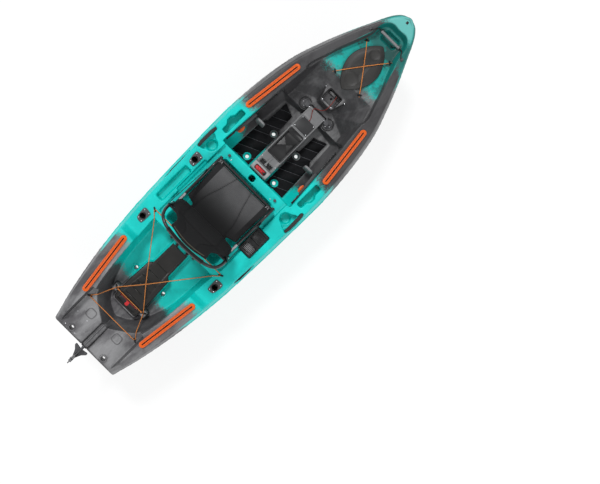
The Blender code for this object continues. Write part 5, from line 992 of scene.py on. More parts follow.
@dataclass(frozen=True)
class HullLines:
    """The hull's main sizes and the shape of its outside."""

    half_length: float = HALF_LENGTH
    half_beam: float = HALF_BEAM
    sheer_aft: float = 0.42
    sheer_mid: float = 0.358
    sheer_bow: float = 0.455
    shelf_end: float = -0.825
    ramp: float = 0.045
    rise_start: float = 0.10
    gunwale_radius: float = 0.012
    ledge: float = 0.005
    stern_deck: float = 0.335
    stern_half: float = 0.243
    tankwell: float = 0.19
    tankwell_fore: float = -0.615
    seat_ledge: float = 0.335
    floor: float = 0.13
    beam_top: float = 0.325
    foot_aft: float = 0.10
    foot_fore: float = 0.655
    wall_aft: float = 0.330
    wall_fore: float = 0.292
    step: float = 0.20
    bow_deck: float = 0.372
    bow_well_fore: float = 1.465

    def half_at(self, x: float) -> float:
        """Half the beam at a station."""
        return self.half_beam * BEAM_LINE(x / self.half_length)

    def sheer(self, x: float) -> float:
        """Height of the gunwale at a station."""
        waist = self.sheer_mid + ((self.sheer_bow - self.sheer_mid) * max(0.0, x - self.rise_start)
                                  / (self.half_length - self.rise_start))
        return self.sheer_aft + (waist - self.sheer_aft) * smoothstep((x - self.shelf_end) / self.ramp)

    def section(self, x: float) -> list[tuple[float, float]]:
        """Half section at a station, from the keel to the middle of the deck."""
        s = x / self.half_length
        keel = KEEL_LINE(s)
        keel_edge = (KEEL_HALF_LINE(s), keel)
        chine = (CHINE_HALF_LINE(s), keel + CHINE_RISE_LINE(s))
        crease = (self.half_at(x), CREASE_LINE(s))
        top = (self.half_at(x) - TUMBLE_LINE(s), self.sheer(x))
        radius = min(self.gunwale_radius, top[0] * 0.4)
        bilge_in, bilge_out = between(chine, keel_edge, 0.3), between(chine, crease, 0.22)
        bilge = between(between(bilge_in, bilge_out, 0.5), chine, 0.5)
        side, upper = between(bilge_out, crease, 0.55), between(crease, top, 0.55)
        ledge = min(self.ledge, crease[0] * 0.1)
        under, over = (crease[0] + ledge, crease[1] - 0.001), (crease[0] - ledge, crease[1] + 0.002)
        low = smooth_path([keel_edge, bilge_in, bilge, bilge_out, (side[0] + 0.006 + ledge, side[1]), under], 3)
        high = smooth_path([over, (upper[0] + 0.001, upper[1]), (top[0] + 0.001, top[1] - radius)], 3)
        return ([(0.0, keel)] + [tuple(p) for p in low + high]
                + [(top[0] - radius * 0.3, top[1] - radius * 0.3), (top[0] - radius, top[1]), (0.0, top[1])])

    def ring(self, x: float) -> list[Vector]:
        """The full section at a station, raked to the stem."""
        rake = smoothstep((x - 1.05) / (self.half_length - 1.05))
        half = self.section(x)
        return [Vector((x + STEM_LINE(z) * rake, y, z))
                for y, z in half + [(-y, z) for y, z in reversed(half[1:-1])]]


LINES = HullLines()
ROD_HOLDERS = (("rear_port", -0.655, 0.352), ("rear_stbd", -0.655, -0.352), ("side", -0.125, 0.372))
ROD_TILT = math.radians(28)
ROD_AXIS = Vector((-math.sin(ROD_TILT), 0, math.cos(ROD_TILT)))
SCUPPERS = ((-1.56, 0.154, 0.335), (-0.97, 0.134, 0.19), (0.147, 0.137, 0.13), (0.395, 0.114, 0.13))
HANDLE_SPANS = {Side.PORT: (-0.362, -0.110), Side.STARBOARD: (-0.542, -0.363)}


@dataclass
class Hull:
    """The rotomoulded shell with its wells, pockets, skegs and openings, softened as moulded plastic is."""

    voxel: float = 0.0055
    spacing: float = 0.02
    battery_floor: float = 0.091
    plinth_top: float = 0.245
    cutters: tuple = ()

    def basin(self, levels: Sequence[tuple[float, Outline]]) -> Obj:
        """A cutter for a well: outlines at rising heights, then straight up."""
        rings = [[Vector((x, y, z)) for x, y in outline] for z, outline in levels]
        rings.append([Vector((x, y, LINES.sheer_aft + 0.2)) for x, y in levels[-1][1]])
        return loft("basin", rings, HULL_TEAL)

    def stern(self) -> list[Obj]:
        """Cutters of the transom, the stern deck and the rudder's slot."""
        rear, half, deck = -LINES.half_length, LINES.half_beam + 0.1, LINES.stern_half
        transom = ((rear - 0.08, 0.27), (rear, 0.27), (rear + 0.059, 0.197), (rear + 0.063, 0.152),
                   (rear + 0.088, 0.148), (rear + 0.10, 0.05), (rear - 0.08, 0.05))
        slope = ((-1.478, LINES.sheer_aft + 0.001), (rear - 0.02, 0.306), (rear - 0.08, 0.306),
                 (rear - 0.08, LINES.sheer_aft + 0.1), (-1.478, LINES.sheer_aft + 0.1))
        low, high = ([(rear - 0.08, -w), (-1.24, -w), (-1.24, w), (rear - 0.08, w)] for w in (deck, deck + 0.02))
        return [prism("transom", transom, -half, half, HULL_TEAL, PROFILE),
                prism("slope", slope, -half, half, HULL_TEAL, PROFILE),
                prism("deck", low, LINES.stern_deck, LINES.sheer_aft + 0.2, HULL_TEAL, top=high),
                self.basin(((0.30, rounded_box(-1.70, -1.39, -0.026, 0.026, 0.012)),
                            (LINES.stern_deck, rounded_box(-1.70, -1.385, -0.027, 0.027, 0.012))))]

    def wells(self) -> list[Obj]:
        """Cutters of the tankwell, seat well, cross beam, footwell, step and bow deck."""
        fore, aft, deep = LINES.foot_fore, LINES.foot_aft, LINES.tankwell_fore
        tank = (blended(((-1.315, 0.0), (-1.265, 0.095), (-1.17, 0.165), (-1.05, 0.214), (-0.90, 0.243),
                         (deep - 0.01, 0.258))),
                blended(((-1.42, 0.0), (-1.35, 0.105), (-1.285, 0.196), (-1.16, 0.236), (-0.95, 0.262),
                         (deep, 0.286))))
        floor = mirrored(((aft + 0.004, 0.0), (aft + 0.004, 0.262), (fore - 0.03, 0.227), (fore, 0.0)))
        top = mirrored(((aft, 0.0), (aft, LINES.wall_aft), (fore, LINES.wall_fore), (fore + 0.012, 0.0)))
        step = mirrored(((fore - 0.02, 0.0), (fore - 0.02, 0.245), (0.715, 0.235), (0.775, 0.09), (0.775, 0.0)))
        step_top = mirrored(((fore - 0.02, 0.0), (fore - 0.02, LINES.wall_fore), (0.86, 0.268), (0.99, 0.235),
                             (0.99, 0.0)))
        well = LINES.bow_well_fore
        deck = blended(((0.84, 0.0), (0.85, 0.262), (1.05, 0.222), (1.20, 0.165), (1.33, 0.113), (1.43, 0.098),
                        (well, 0.06), (well, 0.0)))
        deck_top = blended(((0.84, 0.0), (0.85, 0.275), (1.05, 0.240), (1.20, 0.188), (1.33, 0.138), (1.43, 0.118),
                            (well + 0.02, 0.07), (well + 0.02, 0.0)))
        beam = [(0.006, -0.30), (aft + 0.05, -0.30), (aft + 0.05, 0.30), (0.006, 0.30)]
        return [self.basin(((LINES.tankwell, tank[0]), (LINES.sheer_mid, tank[1]))),
                self.basin(((LINES.floor, rounded_box(-0.548, 0.018, -0.218, 0.218, 0.03)),
                            (LINES.seat_ledge, rounded_box(-0.56, 0.026, -0.238, 0.238, 0.03)))),
                self.basin(((LINES.seat_ledge, rounded_box(-0.555, 0.056, -0.30, 0.30, 0.012)),)),
                self.basin(((LINES.beam_top, beam),)),
                self.basin(((LINES.floor, floor), (0.205, top))),
                self.basin(((LINES.step, step), (LINES.bow_deck, step_top))),
                self.basin(((LINES.bow_deck, deck), (LINES.sheer_bow, deck_top)))]

    def bow_and_motor(self) -> list[Obj]:
        """Cutters of the bow hold, the console's bay, the motor's slot and the propeller's tunnel."""
        well = ((0.20, -0.1), (0.815, -0.1), (0.815, 0.0), (0.767, 0.03), (0.69, 0.14), (0.20, 0.14))
        return [self.basin(((0.17, lens(1.0, 1.24, 0.05)), (LINES.bow_deck, lens(0.965, 1.295, 0.098)))),
                self.basin(((0.335, rounded_box(1.375, 1.44, -0.055, 0.055, 0.02)),
                            (LINES.bow_deck, rounded_box(1.365, 1.453, -0.068, 0.068, 0.02)))),
                self.basin(((LINES.floor, rounded_box(0.101, 0.727, -0.077, 0.077, 0.01)),)),
                prism("well", well, -0.060, 0.060, HULL_TEAL, PROFILE),
                rod("tunnel", (0.386, 0, -0.055), (0.501, 0, -0.055), 0.135, HULL_TEAL, 48)]

    def gunwales(self) -> list[Obj]:
        """Cutters of the trays, pockets, scoops, handle recesses, rod tubes and scuppers."""
        mid = LINES.sheer_mid
        tools = [self.basin(((0.312, rounded_box(-0.488, -0.207, 0.335, 0.385, 0.008)),
                             (mid, rounded_box(-0.496, -0.199, 0.328, 0.392, 0.01)))),
                 self.basin(((0.262, rounded_box(-0.352, -0.148, -0.382, -0.270, 0.008)),)),
                 self.basin(((0.344, rounded_box(-0.363, -0.078, 0.283, 0.322, 0.008)),))]
        pocket = ((0.150, 0.345), (0.345, 0.345), (0.345, 0.392), (0.285, 0.392), (0.262, 0.408), (0.225, 0.408),
                  (0.200, 0.388), (0.150, 0.388))
        for side in Side:
            s = side.value
            flare = [(0.025 + dx, y * s) for dx, y in ((-0.022, 0.322), (0.022, 0.322), (0.072, 0.406), (0.045, 0.412),
                                                       (0.062, 0.5), (-0.062, 0.5), (-0.045, 0.412), (-0.072, 0.406))]
            pad = [(-0.047, 0.412 * s), (0.133, 0.412 * s), (0.133, 0.5 * s), (-0.047, 0.5 * s)]
            x0, x1 = HANDLE_SPANS[side]
            tools += [self.basin(((0.285, [(x, y * s) for x, y in pocket]),)),
                      self.basin(((0.272, circle(0.025, 0.362 * s, 0.036)), (mid, circle(0.025, 0.362 * s, 0.045)))),
                      self.basin(((0.303, flare),)), self.basin(((0.336, pad),)),
                      prism("handle", rounded_box(x0, x1, 0.268, 0.336, 0.006), 0.412 * s, 0.52 * s, HULL_TEAL,
                            PROFILE)]
            for x, y, z in SCUPPERS:
                tools.append(turned("scupper", ((0.015, -0.4), (0.015, -0.004), (0.023, 0.004), (0.023, 0.012)),
                                    Vector((x, y * s, z)), Z_AXIS, HULL_TEAL, 28))
        for _, x, y in ROD_HOLDERS:
            top = Vector((x, y, LINES.sheer(x)))
            tools.append(rod("tube", top + ROD_AXIS * 0.05, top - ROD_AXIS * 0.17, 0.0253, HULL_TEAL))
        return tools

    def added(self) -> list[Obj]:
        """What stands on the shell: the battery's plinth, the keels, the front block and the stern's pads."""
        plinth = mirrored(((-1.227, 0.0), (-1.227, 0.108), (-1.13, 0.117), (-0.87, 0.109), (-0.845, 0.079),
                           (-0.595, 0.079), (-0.595, 0.0)))
        bow = ((1.05, 0.16), (1.036, 0.05), (1.042, 0.036), (1.056, 0.03), (1.38, 0.03), (1.410, 0.037),
               (1.440, 0.056), (1.468, 0.084), (1.490, 0.116), (1.508, 0.150), (1.526, 0.190), (1.533, 0.215),
               (1.44, 0.25), (1.2, 0.2))
        skeg = ((-1.513, 0.16), (-1.511, 0.148), (-1.492, 0.047), (-1.485, 0.0453), (-0.93, 0.0453), (-0.93, 0.1),
                (-1.2, 0.16))
        low = ((0.765, -0.058), (0.93, -0.12), (0.93, 0.12), (0.765, 0.058))
        high = ((0.785, -0.052), (0.925, -0.105), (0.925, 0.105), (0.785, 0.052))
        deck = LINES.stern_deck
        parts = [prism("plinth", plinth, 0.17, self.plinth_top, HULL_TEAL),
                 prism("bow_keel", bow, -0.026, 0.026, HULL_TEAL, PROFILE),
                 prism("skeg", skeg, -0.03, 0.03, HULL_TEAL, PROFILE),
                 prism("block", low, 0.18, 0.300, HULL_TEAL, top=high)]
        for side in Side:
            s = side.value
            y0, y1 = sorted((0.116 * s, 0.158 * s))
            parts.append(prism("ear", rounded_box(-1.182, -1.128, y0, y1, 0.008), 0.17, 0.2632, HULL_TEAL))
            y0, y1 = sorted((0.095 * s, 0.156 * s))
            parts.append(prism("tab", rounded_box(-1.4235, -1.366, y0, y1, 0.014), deck - 0.01, deck + 0.008, HULL_TEAL))
            y0, y1 = sorted((0.032 * s, 0.070 * s))
            parts.append(prism("chock", rounded_box(-1.586, -1.517, y0, y1, 0.006), deck - 0.05, deck + 0.004,
                               HULL_TEAL))
        return parts

    def late_cuts(self) -> list[Obj]:
        """What is cut through the added forms: the battery's bay, the wiring recess and the latch's notch."""
        return [self.basin(((self.battery_floor, rounded_box(-1.156, -0.884, -0.0885, 0.0885, 0.01)),)),
                self.basin(((0.262, rounded_box(0.803, 0.895, -0.06, 0.06, 0.012)),)),
                rod("drain", (0.845, 0, 0.4), (0.845, 0, -0.1), 0.008, HULL_TEAL),
                self.basin(((0.175, rounded_box(0.036, 0.078, -0.024, 0.024, 0.012)),))]

    def build(self) -> Obj:
        """Builds the shell.

        Returns:
            The hull as one softened mesh.
        """
        count = int(2 * LINES.half_length / self.spacing)
        xs = [-LINES.half_length + self.spacing * k for k in range(count + 1)]
        xs += [LINES.half_length - d for d in (0.012, 0.006, 0.002)]
        rings = [LINES.ring(x) for x in sorted(xs)]
        for share in (0.75, 0.45, 0.05):
            round_off = X_AXIS * 0.006 * math.sqrt(1 - share * share)
            rings.append([Vector((p.x, p.y * share, p.z)) + round_off for p in LINES.ring(LINES.half_length)])
        shell = loft("hull_shell", rings, HULL_TEAL)
        joined(shell, self.stern() + self.wells(), Joining.CARVE)
        joined(shell, self.added(), Joining.FUSE)
        joined(shell, self.late_cuts() + self.bow_and_motor() + self.gunwales(), Joining.CARVE)
        remesh = shell.modifiers.new("Mould", "REMESH")
        remesh.mode = "VOXEL"
        remesh.voxel_size = self.voxel
        soft = shell.modifiers.new("Soften", "SMOOTH")
        soft.factor, soft.iterations = 0.5, 5
        thin = shell.modifiers.new("Thin", "DECIMATE")
        thin.ratio = 0.25
        flattened(shell)
        joined(shell, [rod("bore", (0.070, 0, 0.195), (0.130, 0, 0.195), 0.0066, HULL_TEAL, 24)], Joining.CARVE)
        LOG.info("hull_shell: %d faces after thinning", len(shell.data.polygons))
        shade(shell.data, 180.0)
        return mount(shell, "hull", HULL_TEAL, "hull")

    def mouldings(self) -> Obj:
        """Raised rims round the scuppers and beads round the footwell's pads."""
        parts = []
        for side in Side:
            s = side.value
            for x, y, z in SCUPPERS:
                parts.append(turned("rim", ((0.0238, 0.0), (0.0245, 0.0022), (0.0275, 0.0026), (0.031, 0.0)),
                                    Vector((x, y * s, z - 0.0006)), Z_AXIS, HULL_TEAL, 36, bored=True))
            bead = ((0.106, 0.254), (0.403, 0.243), (0.438, 0.217), (0.618, 0.209), (0.578, 0.103), (0.437, 0.099),
                    (0.428, 0.083), (0.106, 0.083))
            route = [Vector((x, y * s, LINES.floor + 0.0004)) for x, y in bead]
            parts.append(tube("bead", self.densely(route), 0.0026, HULL_TEAL, 8, cyclic=True))
            for radius, finish in ((0.0355, HULL_TEAL), (0.0420, BLACK), (0.0475, HULL_TEAL)):
                arc = [Vector((0.705 + radius * math.cos(a), (0.110 + radius * math.sin(a)) * s, LINES.step + 0.0006))
                       for a in (math.radians(-40 + 260 * k / 36) for k in range(37))]
                parts.append(tube("ring", arc, 0.0026, finish, 8))
        return mount(gathered("deck_mouldings", parts), "hull", HULL_TEAL)

    def densely(self, corners: Sequence[Vector]) -> list[Vector]:
        """A closed route with its corners cut round."""
        route = []
        for i, corner in enumerate(corners):
            before, after = corners[i - 1], corners[(i + 1) % len(corners)]
            a, b = corner + (before - corner).normalized() * 0.010, corner + (after - corner).normalized() * 0.010
            route += [a, a.lerp(corner, 0.55).lerp(corner.lerp(b, 0.45), 0.5), b]
        return route


@dataclass
class Fittings:
    """Pad eyes, clamp knobs, cord anchors and screws that repeat over the deck."""

    hardware: Fasteners
    eye_radius: float = 0.012
    eye_wire: float = 0.0025
    rear: tuple = (("A", 1), ("A", -1), ("B", -1), ("C", 1), ("C", -1), ("B", 1))

    @property
    def spots(self) -> dict[str, tuple[float, float, float]]:
        """Where the rear cord's eyes stand on the port side."""
        return {"A": (-1.307, 0.210, LINES.stern_deck), "B": (-1.155, 0.124, 0.2632),
                "C": (-0.575, 0.312, LINES.sheer_mid)}

    @property
    def bow_spots(self) -> tuple:
        """Where the bow cords' eyes stand on the port side."""
        return ((0.988, 0.118), (1.292, 0.112))

    def rear_places(self) -> list[Vector]:
        """The rear cord's turning points in the order that it passes them."""
        return [Vector((self.spots[key][0], self.spots[key][1] * side, self.spots[key][2])) for key, side in self.rear]

    def eye_places(self) -> list[tuple[Vector, Vector]]:
        """Each eye's centre and turns."""
        result = []
        places = self.rear_places()
        for i, place in enumerate(places):
            after = places[(i + 1) % len(places)]
            outward = (place - places[i - 1]).xy.normalized() - (after - place).xy.normalized()
            result.append(self.eye_at(place, outward.normalized()))
        for (x, y), (far_x, far_y) in (self.bow_spots, self.bow_spots[::-1]):
            for side in (1, -1):
                run = (Vector((x, y * side)) - Vector((far_x, -far_y * side))).normalized()
                across = Vector((-run.y, run.x))
                spot = Vector((x, y * side)) - across * self.eye_radius
                result.append(self.eye_at(Vector((*spot, LINES.bow_deck)), across))
        return result

    def eye_at(self, leg: Vector, outward: Vector) -> tuple[Vector, Vector]:
        """The centre and turns of an eye whose inner leg stands at a point."""
        return (leg + Vector((*outward, 0)) * self.eye_radius, Vector((0, 0, math.atan2(outward.y, outward.x))))

    def eye(self) -> Obj:
        """One eye along X on its foot."""
        r = self.eye_radius
        arch = [Vector((-r * math.cos(a), 0, 0.001 + r * math.sin(a))) for a in (math.pi * k / 12 for k in range(13))]
        foot = prism("eye_foot", stadium((-0.013, 0), (0.013, 0), 0.0062, 8), -0.001, 0.002, BLACK)
        rivets = [turned("rivet", ((0.003, 0.001), (0.0028, 0.0028), (0.0012, 0.0034), (0.0, 0.0035)),
                         Vector((dx, 0, 0)), Z_AXIS, BLACK, 10) for dx in (-0.0165, 0.0165)]
        return gathered("eye_pattern", [foot, tube("arch", arch, self.eye_wire, BLACK, 10), *rivets])

    def build(self) -> None:
        """Builds the eyes, knobs, anchors and screws."""
        eyes = Repeater(template(self.eye()), BLACK)
        mount(eyes.spread("pad_eyes", self.eye_places()), "hull", BLACK)
        forget(eyes)
        knob_shape = []
        for k in range(24):
            radius = 0.0112 if k % 4 < 2 else 0.0098
            knob_shape.append((radius * math.cos(math.pi * k / 12), radius * math.sin(math.pi * k / 12)))
        grip = softened(prism("knob_pattern", knob_shape, 0.0065, 0.017, CHARCOAL), 0.0012)
        boss = turned("boss", ((0.0045, -0.001), (0.0045, 0.018), (0.0075, 0.0185), (0.0065, 0.0198), (0.0, 0.0202)),
                      Vector(), Z_AXIS, CHARCOAL, 20)
        washer = turned("washer", ((0.0085, 0.0), (0.0085, 0.0012), (0.0045, 0.0012)), Vector(), Z_AXIS, STEEL, 24)
        knobs = Repeater(template(gathered("knob_pattern", [grip, boss, washer])), CHARCOAL)
        places = [(Vector((x, y * side.value, z)), Vector()) for side in Side
                  for x, y, z in ((0.060, 0.222, LINES.beam_top), (-0.637, 0.108, LINES.tankwell))]
        mount(knobs.spread("clamp_knobs", places), "hull", CHARCOAL)
        forget(knobs)
        self.anchors()
        self.screws()

    def anchors(self) -> None:
        """Builds the lugs that the bow handle's cord ends turn in."""
        x, y, lugs = 1.353, 0.142, []
        deck = LINES.sheer(x)
        for side in Side:
            y0, y1 = sorted(((y + 0.003) * side.value, (y + 0.016) * side.value))
            lug = softened(prism("lug", rounded_box(x - 0.008, x + 0.008, y0, y1, 0.003), deck - 0.004, deck + 0.016,
                                 CHARCOAL), 0.0015)
            plate = softened(prism("plate", rounded_box(x - 0.013, x + 0.013, y0 - 0.003, y1 + 0.003, 0.005),
                                   deck - 0.001, deck + 0.0022, CHARCOAL), 0.0006)
            lugs += [lug, plate]
        mount(gathered("handle_anchors", lugs), "hull", CHARCOAL)

    def screws(self) -> None:
        """Builds the screws in the stern plate, the beam and the deck fittings."""
        deck, top = LINES.stern_deck, Vector()
        spots = [(-1.569, 0.204, deck), (-1.448, 0.204, deck), (-1.571, 0.109, deck), (-1.451, 0.109, deck),
                 (0.866, 0.12, LINES.sheer(0.866) - 0.004)]
        places = [(Vector(spot), top) for spot in spots[:4]]
        for side in Side:
            s = side.value
            places += [(Vector((0.044, 0.222 * s - 0.03 * s, LINES.beam_top)), top),
                       (Vector((0.882, 0.090 * s, 0.300)), top), (Vector((0.800, 0.044 * s, 0.300)), top)]
        mount(self.hardware.screw.spread("deck_screws", places), "hull", STEEL)


@dataclass
class Tracks:
    """The four slotted accessory rails and their bolts."""

    hardware: Fasteners
    width: float = 0.045
    height: float = 0.012
    spans: tuple = (("rear_track", (-1.295, 0.2715), (-0.840, 0.333)), ("front_track", (0.388, 0.377), (0.832, 0.319)))

    def build(self) -> None:
        """Builds each rail with its slot and grooves, and sets bolts in them."""
        for name, start, end in self.spans:
            for side in Side:
                self.rail(f"{name}_{side.tag}", (start[0], start[1] * side.value), (end[0], end[1] * side.value))

    def rail(self, name: str, start: tuple[float, float], end: tuple[float, float]) -> None:
        """Builds one rail between two points.

        Args:
            name: the frame's node that it stands for.
            start: its aft end.
            end: its fore end.
        """
        (x0, y0), (x1, y1) = start, end
        z0 = LINES.sheer(x0)
        slope = (LINES.sheer(x1) - z0) / (x1 - x0)
        length = math.hypot(x1 - x0, y1 - y0)
        ux, uy = (x1 - x0) / length, (y1 - y0) / length

        def spot(run: float, across: float) -> tuple[float, float]:
            """A plan point along the rail and beside its middle."""
            return (x0 + ux * run - uy * across, y0 + uy * run + ux * across)

        inset, half = self.width * 0.35, self.width / 2
        bar = prism(name, stadium(spot(inset, 0), spot(length - inset, 0), half, 20), GAP, self.height, TRACK_ORANGE)
        tools = [prism("under", stadium(spot(inset, 0), spot(length - inset, 0), 0.009), 0.003, 0.008, TRACK_ORANGE),
                 prism("slot", stadium(spot(inset, 0), spot(length - inset, 0), 0.0045), 0.003, 0.03, TRACK_ORANGE)]
        for across in (-0.0172, -0.0150, -0.0128, -0.0106, 0.0106, 0.0128, 0.0150, 0.0172):
            tools.append(prism("groove", stadium(spot(inset + 0.004, across), spot(length - inset - 0.004, across),
                                                 0.0005, 4), self.height - 0.0007, 0.03, TRACK_ORANGE))
        joined(bar, tools, Joining.CARVE)
        # Painted shade: the faces inside the slot take the black finish, though the real slot is orange inside.
        bar.data.materials.append(BLACK.material())
        for face in bar.data.polygons:
            centre = face.center
            beside = abs((centre.x - x0) * -uy + (centre.y - y0) * ux)
            if beside < 0.0095 and face.normal.z > -0.5 and 0.0 < centre.z < 0.0095:
                face.material_index = 1
        softened(bar, 0.0007, 2, 40)
        for vertex in bar.data.vertices:
            vertex.co.z += z0 + (vertex.co.x - x0) * slope
        mount(bar, "hull", TRACK_ORANGE, name)
        tilt = Vector((0, -math.atan(slope), 0))
        places = []
        for run in (0.030, length * 0.36, length * 0.64, length - 0.030):
            x, y = spot(run, 0)
            places.append((Vector((x, y, z0 + (x - x0) * slope + 0.0036)), tilt))
        mount(self.hardware.bolt.spread(f"{name}_bolts", places), "hull", BLACK)


@dataclass
class RodHolders:
    """The flush rod tubes with their tapered flanges."""

    hardware: Fasteners
    bore: float = 0.0215
    wall: float = 0.025
    depth: float = 0.17

    def build(self) -> None:
        """Builds the three holders and their screws."""
        for tag, x, y in ROD_HOLDERS:
            top = Vector((x, y, LINES.sheer(x)))
            way = 1 if y > 0 else -1
            plate = [(x + dx, y + dy * way) for dx, dy in
                     ((-0.048, -0.012), (-0.040, -0.028), (0.034, -0.032), (0.046, -0.020), (0.050, 0.016),
                      (0.036, 0.032), (-0.030, 0.024), (-0.046, 0.008))]
            plate = [tuple(p) for p in smooth_path(plate, 3, cyclic=True)]
            body = softened(prism("flange", plate, top.z + GAP, top.z + 0.0055, CHARCOAL), 0.0018)
            for vertex in body.data.vertices:
                vertex.co.z = max(vertex.co.z, top.z + GAP)
            barrel = turned("barrel", ((self.bore, -self.depth + 0.004), (self.bore, 0.0115), (self.bore + 0.0015, 0.013),
                                       (self.wall - 0.0006, 0.013), (self.wall, 0.0115), (self.wall, -self.depth),
                                       (self.bore, -self.depth)), top, ROD_AXIS, BLACK, 48, bored=True)
            for vertex in barrel.data.vertices:
                vertex.co.z = min(vertex.co.z, top.z + 0.0068)
            bore = rod("bore", top - ROD_AXIS * 0.05, top + ROD_AXIS * 0.05, self.bore + 0.0008, CHARCOAL)
            joined(body, [bore], Joining.CARVE)
            floor = turned("floor", ((0.0, 0.0), (self.bore, 0.0), (self.bore, 0.004), (0.0, 0.004)),
                           top - ROD_AXIS * self.depth, ROD_AXIS, BLACK, 32)
            mount(gathered(f"rod_tube_{tag}", [body, barrel, floor]), "hull", CHARCOAL, f"rod_holder_{tag}")
            spots = [(x + dx, y + dy * way) for dx, dy in ((-0.036, -0.018), (0.036, -0.021), (0.036, 0.020),
                                                           (-0.030, 0.014))]
            places = [(Vector((px, py, top.z + 0.0056)), Vector()) for px, py in spots]
            mount(self.hardware.screw.spread(f"rod_screws_{tag}", places), "hull", STEEL)


@dataclass
class Cords:
    """The braided bungees over the tankwell and the bow hatch, laced through their eyes."""

    fittings: Fittings
    radius: float = 0.003
    wrap: float = 0.0082
    rise: float = 0.0053
    lid_top: float = 0.402

    def build(self) -> None:
        """Builds the cords."""
        mount(tube("rear_lacing", self.rear_route(), self.radius, BUNGEE, 14, cyclic=True), "hull", BUNGEE,
              "rear_bungee")
        x, y, z = self.fittings.spots["B"]
        reach, height = y - 0.0045, z + self.rise
        run = tube("run", [Vector((x, reach * (k / 6 - 1), height)) for k in range(13)], self.radius, BUNGEE, 14)
        knots = [self.knot(Vector((x, (reach - 0.007) * side.value, height))) for side in Side]
        mount(gathered("rear_cross_cord", [run, *knots]), "hull", BUNGEE, "rear_bungee_cross")
        mount(gathered("hatch_cords", self.bow_runs()), "bow_hatch", BUNGEE, "bow_bungee")

    def knot(self, centre: Vector) -> Obj:
        """An overhand stopper knot about Y: three turns of the cord."""
        route = []
        for k in range(49):
            turn = 2 * math.pi * 3 * k / 48
            route.append(centre + Vector((0.0042 * math.cos(turn), -0.006 + 0.012 * k / 48, 0.0042 * math.sin(turn))))
        return tube("knot", route, 0.0022, BUNGEE, 10)

    def edge(self, x: float, y: float, deck: float) -> Vector:
        """Where a cord bends over the edge of a deck."""
        return Vector((x, y, deck + self.radius + 0.001))

    def rear_route(self) -> list[Vector]:
        """The endless cord's route: round each eye's leg, over the deck's edges and across itself."""
        order, places, route = self.fittings.rear, self.fittings.rear_places(), []
        for i, place in enumerate(places):
            key, side = order[i]
            after = places[(i + 1) % len(places)]
            into, out = (place - places[i - 1]).xy.normalized(), (after - place).xy.normalized()
            sign = 1 if into.cross(out) < 0 else -1
            start, swing = math.atan2(into.x * sign, -into.y * sign), into.angle_signed(out)
            lip = {"A": self.edge(-1.268, 0.188 * side, LINES.stern_deck),
                   "C": self.edge(-0.613, 0.283 * side, LINES.sheer_mid)}.get(key)
            if lip and side > 0:
                route.append(lip)
            for k in range(6):
                angle = start - swing * k / 5
                route.append(Vector((place.x + self.wrap * math.cos(angle), place.y + self.wrap * math.sin(angle),
                                     place.z + self.rise)))
            if lip and side < 0:
                route.append(lip)
            if {key, order[(i + 1) % len(places)][0]} == {"B", "C"}:
                low, high = sorted((place, after), key=lambda p: p.x)
                middle = low.lerp(high, abs(low.y) / (abs(low.y) + abs(high.y)))
                lift = (self.radius + 0.0008) * (1 if key == "B" else -1)
                route.append(Vector((middle.x, 0, middle.z + self.rise + lift)))
        return self.filled(route, cyclic=True)

    def filled(self, route: Sequence[Vector], cyclic: bool = False) -> list[Vector]:
        """Adds points to the long straight spans so that the cord's weave runs evenly."""
        result = []
        for i, point in enumerate(route):
            if i + 1 == len(route) and not cyclic:
                return result + [point]
            after = route[(i + 1) % len(route)]
            steps = max(1, int((after - point).length / 0.03))
            result += [point.lerp(after, k / steps) for k in range(steps)]
        return result

    def bow_runs(self) -> list[Obj]:
        """The two cords that cross on the hatch lid, each with a hook at both ends."""
        pieces = []
        for side in Side:
            (x0, y0), (x1, y1) = self.fittings.bow_spots
            start, end = Vector((x0, y0 * side.value)), Vector((x1, -y1 * side.value))
            reach = (start - end).normalized() * (self.fittings.eye_radius + 0.004)
            start, end = start + reach, end - reach
            low = LINES.bow_deck + self.rise
            high = self.lid_top + self.radius + 0.0022 + (0.0011 if side is Side.PORT else 0.0)
            climb = path_value(((0.0, low), (0.06, low), (0.14, high - 0.0145), (0.17, high - 0.008),
                                (0.22, high - 0.004), (0.28, high), (0.5, high)))
            shares = [k / 60 for k in range(61)]
            points = [Vector((*start.lerp(end, t), climb(min(t, 1 - t)))) for t in shares]
            pieces.append(tube("run", points, self.radius, BUNGEE, 14))
            for near, far in ((points[0], points[3]), (points[-1], points[-4])):
                way = (far - near).normalized()
                pieces.append(turned("sleeve", ((0.0032, 0.004), (0.0046, 0.005), (0.0046, 0.022), (0.0032, 0.023)),
                                     near, way, BLACK, 16))
        return pieces


def painted(piece: Obj, finish: Finish, inside: Callable[[Vector, Vector], bool]) -> Obj:
    """Gives a second finish to the faces whose centre and normal pass a test."""
    piece.data.materials.append(finish.material())
    index = len(piece.data.materials) - 1
    for face in piece.data.polygons:
        if inside(face.center, face.normal):
            face.material_index = index
    return piece


@dataclass(frozen=True)
class Moulding:
    """One small moulded or machined piece that keeps its frame shape, with eased edges."""

    node: str
    body: str
    finish: Finish
    edge: float = 0.0012
    second: Finish | None = None
    region: Callable[[Vector, Vector], bool] | None = None

    def build(self) -> Obj:
        """Copies the node, eases its edges and dresses it."""
        piece = copied(self.node, f"{self.node}_finished", self.finish, self.edge)
        if self.second:
            painted(piece, self.second, self.region)
        return mount(piece, self.body, self.finish, self.node)


